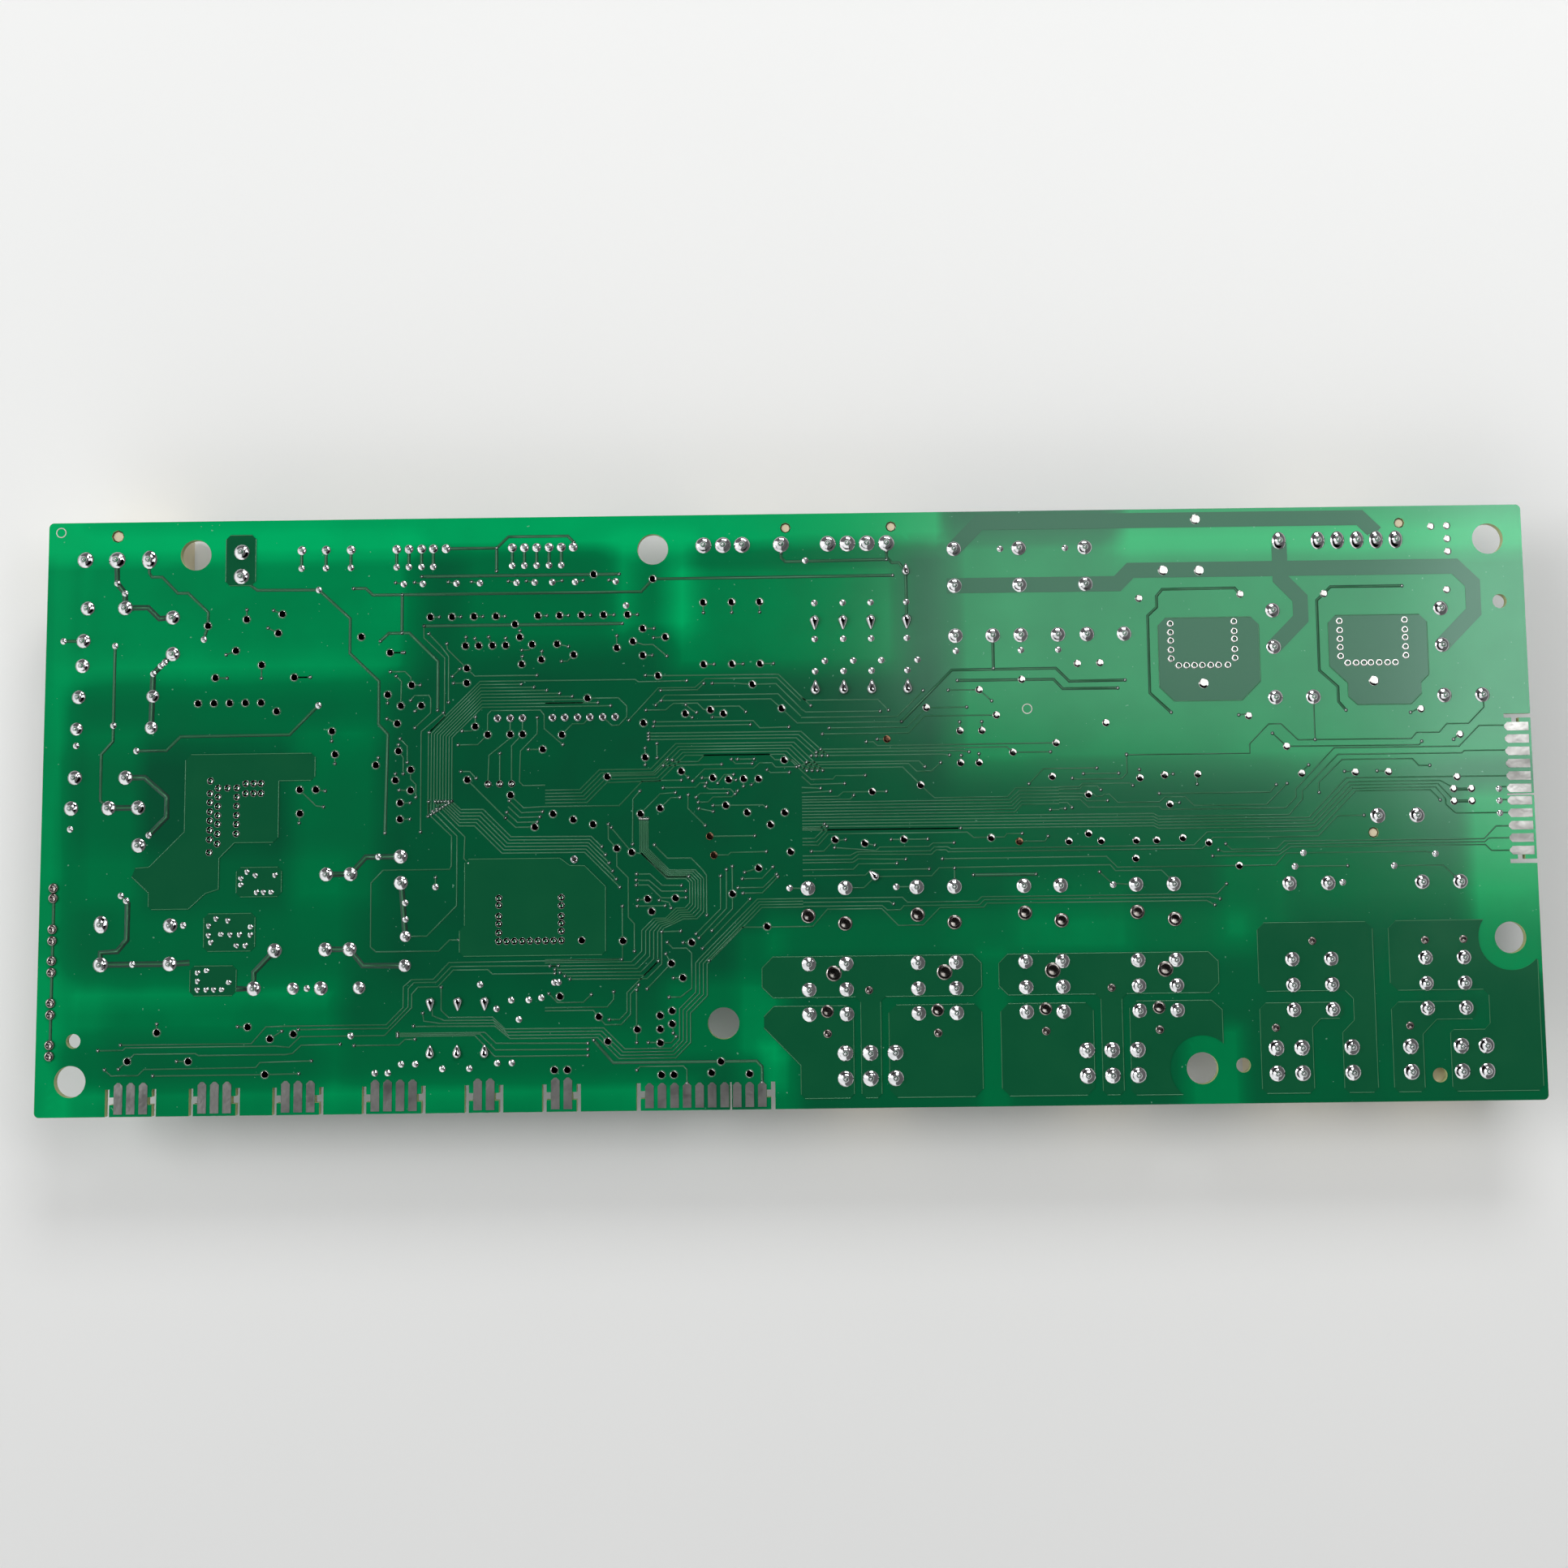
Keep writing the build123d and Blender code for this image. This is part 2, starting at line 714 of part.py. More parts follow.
def power_relay(name, coil):
    """A heavy relay with its coil at one end and three rows of contacts at the other."""
    rows = [-power_relay_contact_start - n * power_relay_contact_pitch for n in range(3)]
    pins = [(x, y) for y in [0] + rows for x in (0, power_relay_coil_pitch)]
    centre = (power_relay_coil_pitch / 2, rows[-1] / 2)
    relay(name, coil, power_relay_length, power_relay_width, centre, pins)


def relays():
    """Five slim relays along the upper half and six heavy ones behind the tab headers."""
    slim = [place(column, 94.4) for column in (185.7, 199, 212.5)]
    slim += [place(column, 81) for column in (250.5, 284.8)]
    last_row = power_relay_contact_start + 2 * power_relay_contact_pitch
    reach = tab_shroud_depth / 2 + relay_header_gap + (power_relay_length + last_row) / 2
    columns = (155, 176.9, 198.4, 221.1, 252.1, 278.7)
    heavy = [place(column, tab_row) + Vector(0, reach) for column in columns]
    for number, coil in enumerate(slim, 1):
        contact_relay(f"contact_relay_{number}", coil)
    for number, coil in enumerate(heavy, 1):
        power_relay(f"power_relay_{number}", coil)


# ---------------------------------------------------------------- power supply


def disc(name, point, diameter, turn=0):
    """A coated disc on edge, such as a varistor, on two leads that enter its coating."""
    half_pitch = disc_lead_pitch / 2
    middle = -disc_lift - diameter / 2
    body = Pos(0, 0, middle) * Rot(90, 0, 0) * Cylinder(diameter / 2, disc_thickness)
    rim = middle + math.sqrt(diameter**2 / 4 - half_pitch**2)
    lead = hanging_box(lead_side, lead_side, lead_side - rim)
    for side in (-1, 1):
        body += Pos(side * half_pitch, 0, 0) * lead
    add(name, hang(Rot(0, 0, turn) * body, point))
    pair_of_joints(point, disc_lead_pitch, turn)


def pair_of_joints(point, pitch, turn=0, radius=joint_radius):
    """Two joints about a point, along X, or along Y for a turn of 90 degrees."""
    way = Vector(pitch / 2, 0).rotate(Axis.Z, turn)
    for side in (-1, 1):
        joint(point, side * way.X, side * way.Y, radius)


def can(name, point, diameter, height, pitch, turn=0):
    """An upright electrolytic capacitor, seated on its seal."""
    body = Pos(0, 0, -height / 2) * Cylinder(diameter / 2, height)
    add(name, hang(body, point))
    pair_of_joints(point, pitch, turn)


def mains_filter():
    """Fuse, surge and interference parts between the mains inlet and the bulk capacitors."""
    disc("varistor", place(12.15, 102.3), varistor_diameter)
    disc("inrush_thermistor", place(25.8, 96.4), thermistor_diameter, 90)
    fuse = moulded_box(fuse_thickness, fuse_length, fuse_height, box_bevel)
    add("fuse", hang(fuse, place(7.55, 93.0)))
    pair_of_joints(place(7.55, 93.0), fuse_lead_pitch, 90)
    first = place(14.4, 84.1)
    second = first - Vector(0, box_capacitor_thickness + box_capacitor_spacing)
    sizes = (box_capacitor_length, box_capacitor_thickness, box_capacitor_height, box_bevel)
    for number, point in enumerate((first, second), 1):
        add(f"film_capacitor_{number}", hang(moulded_box(*sizes), point))
        pair_of_joints(point, box_capacitor_lead_pitch)
    pulse = moulded_box(
        pulse_capacitor_length, pulse_capacitor_thickness, pulse_capacitor_height, box_bevel
    )
    add("pulse_capacitor", hang(pulse, place(11.65, 67.65)))
    pair_of_joints(place(11.65, 67.65), pulse_capacitor_lead_pitch)
    sizes = (safety_capacitor_length, safety_capacitor_thickness, safety_capacitor_height)
    safety = moulded_box(*sizes, box_bevel)
    for point, turn in ((place(9.7, 61.5), 0), (place(19.6, 57.7), 90)):
        add("safety_capacitors", hang(Rot(0, 0, turn) * safety, point))
        pair_of_joints(point, safety_capacitor_lead_pitch, turn)


def choke_parts():
    """The common-mode choke: a ring core whose two long legs carry a winding each."""
    window = choke_length - 2 * choke_leg_side
    winding_length = window - 2 * (choke_flange_thickness + choke_flange_gap)
    leg_line = (choke_core_width - choke_leg_side) / 2
    axis_height = -choke_base_height - choke_base_gap - choke_winding_radius
    core = Box(choke_length, choke_core_width, choke_leg_side)
    core -= Box(window, choke_core_width - 2 * choke_leg_side, choke_leg_side)
    flange_width = 2 * (leg_line + choke_winding_radius)
    flange_height = choke_base_gap + 2 * choke_winding_radius
    flange = hanging_box(choke_flange_thickness, flange_width, flange_height, choke_base_height)
    bobbin = hanging_box(choke_length, flange_width, choke_base_height)
    for side in (-1, 1):
        bobbin += Pos(side * (winding_length + choke_flange_thickness) / 2, 0, 0) * flange
    bore = Box(2 * choke_length, choke_leg_side, choke_leg_side)
    windings = []
    for side in (-1, 1):
        leg = Pos(0, side * leg_line, axis_height) * bore
        bobbin -= leg
        coil = Rot(0, 90, 0) * Cylinder(choke_winding_radius, winding_length)
        windings.append(Pos(0, side * leg_line, axis_height) * coil - leg)
    return Pos(0, 0, axis_height) * core, bobbin, windings


def common_mode_choke(point):
    """Puts the choke under the board, with its four joints."""
    core, bobbin, windings = choke_parts()
    add("choke_core", hang(core, point))
    add("choke_bobbin", hang(bobbin, point))
    add("choke_windings", *[hang(winding, point) for winding in windings])
    for side in (-1, 1):
        pair_of_joints(point + Vector(side * choke_pin_along / 2, 0), choke_pin_across, 90)


def transformer_core():
    """Two E halves closed round the bobbin, seen as one block with two windows."""
    height = standing_height - transformer_core_lift
    core = hanging_box(
        transformer_core_length, transformer_core_depth, height, transformer_core_lift
    )
    window_width = (
        transformer_core_length - 2 * transformer_leg_width - transformer_centre_width
    ) / 2
    window_height = height - 2 * transformer_yoke_height
    window = hanging_box(
        window_width, transformer_core_depth, window_height,
        transformer_core_lift + transformer_yoke_height,
    )
    for side in (-1, 1):
        core -= Pos(side * (transformer_centre_width + window_width) / 2, 0, 0) * window
    return core


def transformer_bobbin(top, bottom):
    """The bobbin: pin rails, two flanges and the tube round the centre leg."""
    thickness = transformer_flange_thickness
    side = transformer_core_length - 2 * (transformer_leg_width + transformer_core_gap)
    rail = hanging_box(transformer_base_side, transformer_rail_width, top + thickness)
    row = (transformer_base_side - transformer_rail_width) / 2
    bobbin = hanging_box(side, transformer_base_side, thickness, top)
    bobbin += Pos(0, row, 0) * rail + Pos(0, -row, 0) * rail
    bobbin += hanging_box(side, side, thickness, bottom - thickness)
    tube = transformer_tube(bottom - top, top)
    bobbin += tube
    return bobbin - hanging_box(
        transformer_centre_width, transformer_core_depth, bottom - top, top
    )


def transformer_tube(height, drop):
    """The outside of the tube that the winding is wound on."""
    return hanging_box(
        transformer_centre_width + 2 * transformer_tube_wall,
        transformer_core_depth + 2 * transformer_tube_wall,
        height,
        drop,
    )


def supply_transformer(point):
    """Puts the transformer under the board, with two joints in each pin row."""
    top = transformer_core_lift + transformer_yoke_height
    bottom = standing_height - transformer_yoke_height
    window = transformer_core_length / 2 - transformer_leg_width
    radius = window - transformer_winding_gap
    height = bottom - top - 2 * transformer_flange_thickness
    winding = Pos(0, 0, -(top + bottom) / 2) * Cylinder(radius, height)
    winding -= transformer_tube(bottom - top, top)
    add("transformer_core", hang(transformer_core(), point))
    add("transformer_bobbin", hang(transformer_bobbin(top, bottom), point))
    add("transformer_winding", hang(winding, point))
    for side in (-1, 1):
        row = point + Vector(0, side * transformer_row_pitch / 2)
        pair_of_joints(row, transformer_pin_pitch)


def power_supply():
    """Transformer, bulk capacitors before it and output capacitors beside it."""
    common_mode_choke(place(19.5, 34.0))
    centre = place(60.25, 40.1)
    supply_transformer(centre)
    drop = (transformer_base_side + bulk_diameter) / 2 + bulk_spacing
    second = Vector(place(60.85, 0).X, centre.Y - drop)
    first = second - Vector(bulk_diameter + bulk_spacing, 0)
    can("bulk_capacitor_1", first, bulk_diameter, standing_height, bulk_lead_pitch)
    can("bulk_capacitor_2", second, bulk_diameter, standing_height, bulk_lead_pitch)
    base_edge = transformer_base_side / 2 + transformer_neighbour_gap
    column = base_edge + output_diameter / 2
    middle = transformer_core_length / 2 + transformer_neighbour_gap + middle_output_diameter / 2
    reach = (output_diameter + middle_output_diameter) / 2 + output_spacing
    upper, lower = centre + Vector(column, reach), centre + Vector(column, -reach)
    can("output_capacitor_1", upper, output_diameter, output_height, output_lead_pitch, 90)
    can("output_capacitor_3", lower, output_diameter, output_height, output_lead_pitch, 90)
    can(
        "output_capacitor_2", centre + Vector(middle, 0), middle_output_diameter,
        middle_output_height, middle_output_lead_pitch, 90,
    )


# ---------------------------------------------------------------- small parts


def load_resistor():
    """An axial resistor lying along Y on two leads bent up to the board."""
    drop = resistor_lift + resistor_diameter / 2
    section = Plane.XZ * RegularPolygon(resistor_diameter / 2, resistor_sides)
    body = Pos(0, 0, -drop) * extrude(section, resistor_length / 2, both=True)
    run = resistor_lead_pitch + lead_side
    wire = Box(lead_side, run, lead_side)
    body += Pos(0, 0, -drop) * wire
    for side in (-1, 1):
        leg = hanging_box(lead_side, lead_side, drop)
        body += Pos(0, side * resistor_lead_pitch / 2, 0) * leg
    return body


def resistors():
    """The four load resistors beside the load headers, with small joints."""
    for column in (157, 162.8, 168.5, 175.8):
        point = place(column, 90.9)
        add("load_resistors", hang(load_resistor(), point))
        pair_of_joints(point, resistor_lead_pitch, 90, signal_joint_radius)


def power_package(point):
    """A surface-mounted power package: moulded body, cooling tab and two leads."""
    body = moulded_box(power_package_width, power_package_depth, power_package_height, chip_bevel)
    tab_line = -(power_package_depth + power_tab_depth) / 2
    tab = Pos(0, tab_line, 0) * hanging_box(power_package_width, power_tab_depth, power_tab_thickness)
    lead_line = (power_package_depth + power_lead_length) / 2
    add("power_package_bodies", hang(body, point))
    add("power_package_tabs", hang(tab, point))
    for side in (-1, 1):
        lead = hanging_box(power_lead_width, power_lead_length, power_lead_thickness)
        lead = Pos(side * power_lead_pitch / 2, lead_line, 0) * lead
        add("power_package_tabs", hang(lead, point))


def chips():
    """Surface-mounted parts on the component side."""
    for point in (place(236, 94), place(270.6, 94), place(99, 40.5)):
        power_package(point)
    controller = moulded_box(controller_side, controller_side, controller_height, chip_bevel)
    add("controller_chip", hang(controller, place(126.5, 42)))
    driver = moulded_box(driver_length, driver_width, driver_height, chip_bevel)
    for point in (place(172, 70), place(203, 70), place(232, 70)):
        add("relay_driver_chips", hang(driver, point))
    supply = moulded_box(supply_chip_width, supply_chip_length, supply_chip_height, chip_bevel)
    add("supply_chip", hang(supply, place(39, 61)))
    coupler = moulded_box(coupler_width, coupler_length, coupler_height, chip_bevel)
    for column in (84, 92, 100):
        add("optocouplers", hang(coupler, place(column, 61.5)))


def main():
    """Builds every piece, with the board's holes and joints after what they serve."""
    connectors()
    relays()
    mains_filter()
    power_supply()
    resistors()
    chips()
    circuit_board()
    edge_contacts()
    copper_and_joints()
    os.makedirs("parts", exist_ok=True)
    for name, solids in nodes.items():
        shape = solids[0] if len(solids) == 1 else Compound(children=solids)
        export_step(shape, f"parts/{name}.step")
    print(len(nodes), "nodes", sum(len(solids) for solids in nodes.values()), "solids")


main()
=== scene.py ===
"""Oven control board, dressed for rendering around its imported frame.

Tables give millimetres on the board's layout grid, counted from its lower left corner with
the solder side up. Everything built is in metres in the part's own frame.
"""
from __future__ import annotations

import json
import logging
import math
from dataclasses import dataclass
from enum import Enum
from functools import cache
from typing import Iterable, NamedTuple, Sequence

import bmesh
import bpy
from mathutils import Matrix, Vector

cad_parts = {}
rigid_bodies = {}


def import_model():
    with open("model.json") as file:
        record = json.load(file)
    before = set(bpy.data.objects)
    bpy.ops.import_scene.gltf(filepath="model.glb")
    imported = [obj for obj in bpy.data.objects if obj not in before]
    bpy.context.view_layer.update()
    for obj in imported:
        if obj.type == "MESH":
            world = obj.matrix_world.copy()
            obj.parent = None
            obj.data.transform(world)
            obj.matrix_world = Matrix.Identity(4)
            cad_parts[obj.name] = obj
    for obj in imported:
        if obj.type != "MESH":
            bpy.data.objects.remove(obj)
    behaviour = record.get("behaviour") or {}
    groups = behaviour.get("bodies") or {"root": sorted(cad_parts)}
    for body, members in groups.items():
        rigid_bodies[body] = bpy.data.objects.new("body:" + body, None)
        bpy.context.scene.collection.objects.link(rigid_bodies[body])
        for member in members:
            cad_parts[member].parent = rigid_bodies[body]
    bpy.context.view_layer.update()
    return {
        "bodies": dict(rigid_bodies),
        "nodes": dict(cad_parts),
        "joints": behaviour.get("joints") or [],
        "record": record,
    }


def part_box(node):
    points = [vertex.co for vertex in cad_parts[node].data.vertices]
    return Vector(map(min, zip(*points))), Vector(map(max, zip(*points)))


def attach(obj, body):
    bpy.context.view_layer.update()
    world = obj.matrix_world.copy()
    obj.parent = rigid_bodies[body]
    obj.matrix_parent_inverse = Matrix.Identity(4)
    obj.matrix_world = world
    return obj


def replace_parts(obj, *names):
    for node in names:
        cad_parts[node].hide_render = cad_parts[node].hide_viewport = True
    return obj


LOG = logging.getLogger("oven_control_board")
MM = 0.001
TOUCH = 1e-7  # metres under which two corners are one
UNIT_TOUCH = 1e-6  # the same, for a form of unit size
Point = tuple[float, float]
Colour = tuple[float, float, float]
Places = tuple[tuple[float, ...], ...]
Form = bmesh.types.BMesh
Node = bpy.types.Node
Socket = bpy.types.NodeSocket


# ---------------------------------------------------------------- shared helpers


def srgb(red: int, green: int, blue: int) -> Colour:
    """A colour given in display steps of 0 to 255, as the linear values a shader takes."""
    levels = (step / 255 for step in (red, green, blue))
    return tuple(v / 12.92 if v <= 0.04045 else ((v + 0.055) / 1.055) ** 2.4 for v in levels)


def grey(level: float) -> Colour:
    """A neutral colour of one linear level."""
    return (level, level, level)


def linked(name: str, data: bpy.types.ID) -> bpy.types.Object:
    """A new object that shows some data, linked into the scene."""
    made = bpy.data.objects.new(name, data)
    bpy.context.scene.collection.objects.link(made)
    return made


def dressed(name: str, mesh: bpy.types.Mesh, finish: "Finish") -> bpy.types.Object:
    """Links a mesh as a finished piece that rides on the board.

    Args:
        name: The piece's name.
        mesh: Its mesh, in the part's frame.
        finish: The finish of its surface.

    Returns:
        The piece's object, at the origin.
    """
    mesh.name = name
    mesh.materials.clear()
    mesh.materials.append(finish.material())
    piece = linked(name, mesh)
    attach(piece, "root")
    LOG.info("%s: %d faces", name, len(mesh.polygons))
    return piece


def coat(frame: dict, node: str, finish: "Finish") -> None:
    """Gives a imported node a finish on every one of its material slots."""
    for slot in frame["nodes"][node].material_slots:
        slot.material = finish.material()
    LOG.info("%s: dressed", node)


def mesh_of(form: Form, name: str, smooth: bool = False) -> bpy.types.Mesh:
    """Turns a bmesh into a mesh with outward faces, and frees it."""
    bmesh.ops.recalc_face_normals(form, faces=form.faces)
    for face in form.faces:
        face.smooth = smooth
    mesh = bpy.data.meshes.new(name)
    form.to_mesh(mesh)
    form.free()
    return mesh


def add_box(form: Form, low: Vector, high: Vector, bevel: float = 0.0) -> None:
    """Adds a box between two corners to a bmesh, with its edges bevelled if asked."""
    middle, size = (low + high) / 2, high - low
    matrix = Matrix.Translation(middle) @ Matrix.Diagonal((*size, 1))
    made = bmesh.ops.create_cube(form, size=1, matrix=matrix)
    if bevel:
        edges = list({edge for vert in made["verts"] for edge in vert.link_edges})
        bmesh.ops.bevel(form, geom=edges, offset=bevel, segments=2, affect="EDGES", profile=0.6)


def turned(profile: Sequence[Point], sides: int, axis: Matrix | None = None) -> Form:
    """Turns a profile of radius and height round Z into a closed bmesh.

    Args:
        profile: Points from the lower pole to the upper one; a radius of zero closes a pole.
        sides: The number of flats round the axis.
        axis: Where the turned form's own frame is put.

    Returns:
        The new bmesh.
    """
    form = bmesh.new()
    rings = []
    for radius, height in profile:
        count = sides if radius > 0 else 1
        spots = [2 * math.pi * step / sides for step in range(count)]
        rings.append(
            [form.verts.new((radius * math.cos(a), radius * math.sin(a), height)) for a in spots]
        )
    for lower, upper in zip(rings, rings[1:]):
        for step in range(sides):
            after = (step + 1) % sides
            corners = [lower[step % len(lower)], lower[after % len(lower)]]
            corners += [upper[after % len(upper)], upper[step % len(upper)]]
            unique = list(dict.fromkeys(corners))
            if len(unique) > 2:
                form.faces.new(unique)
    if axis is not None:
        bmesh.ops.transform(form, matrix=axis, verts=form.verts)
    return form


def turned_mm(profile: Sequence[Point], sides: int, axis: Matrix | None = None) -> Form:
    """Turns a profile given in millimetres into a closed bmesh."""
    return turned([(radius * MM, height * MM) for radius, height in profile], sides, axis)


def hoop(form: Form, touch: float = TOUCH) -> Form:
    """Closes a ring whose turned profile ends where it starts."""
    bmesh.ops.remove_doubles(form, verts=form.verts, dist=touch)
    return form


def joined(forms: Iterable[Form]) -> Form:
    """Joins several bmeshes into one and frees them."""
    whole = bmesh.new()
    for form in forms:
        part = bpy.data.meshes.new("part")
        form.to_mesh(part)
        form.free()
        whole.from_mesh(part)
        bpy.data.meshes.remove(part)
    return whole


@dataclass(frozen=True)
class Island:
    """One solid of a node: its lowest and highest corner."""

    low: Vector
    high: Vector

    @property
    def middle(self) -> Vector:
        """The middle of the solid's box."""
        return (self.low + self.high) / 2

    @property
    def size(self) -> Vector:
        """The sides of the solid's box."""
        return self.high - self.low


def islands(node: str, frame: dict) -> list[Island]:
    """The boxes of a node's separate solids.

    Args:
        node: The CAD node's name.

    Returns:
        One island for each solid, from left to right and bottom to top.
    """
    form = bmesh.new()
    form.from_mesh(frame["nodes"][node].data)
    bmesh.ops.remove_doubles(form, verts=form.verts, dist=TOUCH)
    unseen, found = set(form.verts), []
    while unseen:
        stack, group = [unseen.pop()], []
        while stack:
            vert = stack.pop()
            group.append(vert.co.copy())
            for edge in vert.link_edges:
                other = edge.other_vert(vert)
                if other in unseen:
                    unseen.discard(other)
                    stack.append(other)
        low = Vector([min(co[k] for co in group) for k in range(3)])
        high = Vector([max(co[k] for co in group) for k in range(3)])
        found.append(Island(low, high))
    form.free()
    return sorted(found, key=lambda i: (round(i.middle.x, 5), round(i.middle.y, 5)))


@dataclass(frozen=True)
class Layout:
    """The board's layout grid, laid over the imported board."""

    low: Vector
    high: Vector

    def above(self, column: float, row: float, lift: float = 0.0) -> Vector:
        """A point over the solder side, with its lift in millimetres."""
        return Vector((self.low.x + column * MM, self.low.y + row * MM, self.high.z + lift * MM))

    def below(self, column: float, row: float, drop: float = 0.0) -> Vector:
        """A point under the component side, with its drop in millimetres."""
        return Vector((self.low.x + column * MM, self.low.y + row * MM, self.low.z - drop * MM))


# ---------------------------------------------------------------- shader helpers


class Shading:
    """Adds nodes to one node tree and wires them."""

    def __init__(self, tree: bpy.types.NodeTree) -> None:
        """Keeps the tree that nodes are added to."""
        self.tree = tree

    def node(self, kind: str, **settings: object) -> Node:
        """Adds a node of a kind, with its settings."""
        made = self.tree.nodes.new(kind)
        for key, value in settings.items():
            setattr(made, key, value)
        return made

    def feed(self, target: Socket, value: object) -> None:
        """Links a socket to a target, or writes a plain value on it."""
        if isinstance(value, Socket):
            self.tree.links.new(value, target)
        elif isinstance(value, tuple) and len(value) == 3 and target.type == "RGBA":
            target.default_value = (*value, 1.0)
        else:
            target.default_value = value

    def maths(self, operation: str, first: object, second: object = 0.0) -> Socket:
        """The result of an operation on two values."""
        made = self.node("ShaderNodeMath", operation=operation)
        self.feed(made.inputs[0], first)
        self.feed(made.inputs[1], second)
        return made.outputs[0]

    def spread(self, value: object, low: float, high: float) -> Socket:
        """A value brought from a range of 0 to 1 into another range."""
        made = self.node("ShaderNodeMapRange")
        self.feed(made.inputs["Value"], value)
        self.feed(made.inputs["To Min"], low)
        self.feed(made.inputs["To Max"], high)
        return made.outputs["Result"]

    def mixed(self, factor: object, first: object, second: object) -> Socket:
        """Two colours mixed by a factor."""
        made = self.node("ShaderNodeMix", data_type="RGBA")
        self.feed(made.inputs[0], factor)
        self.feed(made.inputs[6], first)
        self.feed(made.inputs[7], second)
        return made.outputs[2]

    def ramp(self, factor: object, stops: Sequence[tuple[float, Colour]]) -> Socket:
        """A colour read from a ramp of stops."""
        made = self.node("ShaderNodeValToRGB")
        elements = made.color_ramp.elements
        while len(elements) < len(stops):
            elements.new(0.5)
        for element, (place, colour) in zip(elements, stops):
            element.position = place
            element.color = (*colour, 1.0)
        self.feed(made.inputs[0], factor)
        return made.outputs[0]

    def noise(self, vector: object, scale: float, detail: float = 2.0) -> Socket:
        """Noise over a vector, from 0 to 1."""
        made = self.node("ShaderNodeTexNoise")
        self.feed(made.inputs["Vector"], vector)
        self.feed(made.inputs["Scale"], scale)
        self.feed(made.inputs["Detail"], detail)
        return made.outputs["Fac"]

    def place(self) -> Socket:
        """Object coordinates."""
        return self.node("ShaderNodeTexCoord").outputs["Object"]

    def group(self, tree: bpy.types.NodeTree, **values: object) -> Node:
        """Places a node group and feeds its named inputs."""
        made = self.node("ShaderNodeGroup", node_tree=tree)
        for key, value in values.items():
            self.feed(made.inputs[key.replace("_", " ")], value)
        return made


def add_inputs(tree: bpy.types.NodeTree, inputs: dict[str, tuple[str, object]]) -> None:
    """Adds named inputs to a node group, each of a kind and with its value at rest."""
    for label, (kind, value) in inputs.items():
        socket = tree.interface.new_socket(label, in_out="INPUT", socket_type=f"NodeSocket{kind}")
        if value is not None:
            socket.default_value = value


def new_group(
    name: str, inputs: dict[str, tuple[str, object]], outputs: Sequence[str]
) -> tuple[Shading, Node, Node]:
    """Starts a shader group with named sockets.

    Args:
        name: The group's name.
        inputs: Each input's kind, Vector or Float, and its value at rest.
        outputs: Names of the values it puts out.

    Returns:
        The shading helper of its tree, its input node and its output node.
    """
    tree = bpy.data.node_groups.new(name, "ShaderNodeTree")
    add_inputs(tree, inputs)
    for label in outputs:
        tree.interface.new_socket(label, in_out="OUTPUT", socket_type="NodeSocketFloat")
    shading = Shading(tree)
    return shading, shading.node("NodeGroupInput"), shading.node("NodeGroupOutput")


SPECK_LEVEL = 0.79  # noise above which a speck of dust lies on the board
DUST_LEVEL = 0.72  # and on a moulded part


@cache
def laminate_grain() -> bpy.types.NodeTree:
    """The group of the glass cloth's weave and the clouds that show through a laminate."""
    inputs = {"Vector": ("Vector", None), "Thread": ("Float", 0.6 * MM), "Cloud": ("Float", 60.0)}
    shading, given, result = new_group("Laminate grain", inputs, ("Weave", "Clouds", "Specks"))
    split = shading.node("ShaderNodeSeparateXYZ")
    shading.feed(split.inputs[0], given.outputs["Vector"])
    turn = shading.maths("DIVIDE", 2 * math.pi, given.outputs["Thread"])
    waves = [
        shading.maths("SINE", shading.maths("MULTIPLY", split.outputs[axis], turn))
        for axis in ("X", "Y")
    ]
    weave = shading.maths("MULTIPLY", waves[0], waves[1])
    shading.feed(result.inputs["Weave"], shading.spread(weave, 0.5, 1.0))
    clouds = shading.noise(given.outputs["Vector"], given.outputs["Cloud"], 4.0)
    shading.feed(result.inputs["Clouds"], clouds)
    fine = shading.noise(given.outputs["Vector"], 1400.0, 1.0)
    shading.feed(result.inputs["Specks"], shading.maths("GREATER_THAN", fine, SPECK_LEVEL))
    return shading.tree


@cache
def solder_ripple() -> bpy.types.NodeTree:
    """The group of the ripples, frozen folds and dull patches on solder and tin."""
    inputs = {"Vector": ("Vector", None), "Ripple": ("Float", 900.0), "Patch": ("Float", 300.0)}
    shading, given, result = new_group("Solder ripple", inputs, ("Height", "Dull"))
    ripple = shading.noise(given.outputs["Vector"], given.outputs["Ripple"], 1.0)
    patch = shading.noise(given.outputs["Vector"], given.outputs["Patch"], 3.0)
    folds = shading.maths("ABSOLUTE", shading.maths("SUBTRACT", ripple, 0.5))
    shading.feed(result.inputs["Height"], shading.maths("ADD", folds, patch))
    shading.feed(result.inputs["Dull"], patch)
    return shading.tree


@cache
def moulding_grain() -> bpy.types.NodeTree:
    """The group of the fine grain and slow tone shifts of moulded and dipped parts."""
    inputs = {"Vector": ("Vector", None), "Grain": ("Float", 2500.0), "Tone": ("Float", 120.0)}
    shading, given, result = new_group("Moulding grain", inputs, ("Height", "Tone", "Dust"))
    grain = shading.noise(given.outputs["Vector"], given.outputs["Grain"], 2.0)
    shading.feed(result.inputs["Height"], grain)
    tone = shading.noise(given.outputs["Vector"], given.outputs["Tone"], 3.0)
    shading.feed(result.inputs["Tone"], tone)
    fine = shading.noise(given.outputs["Vector"], 900.0, 4.0)
    shading.feed(result.inputs["Dust"], shading.maths("GREATER_THAN", fine, DUST_LEVEL))
    return shading.tree


# ---------------------------------------------------------------- finishes


class Gloss(Enum):
    """How shiny a finish is."""

    MIRROR = 0.06
    SHINY = 0.2
    SATIN = 0.38
    MATT = 0.62


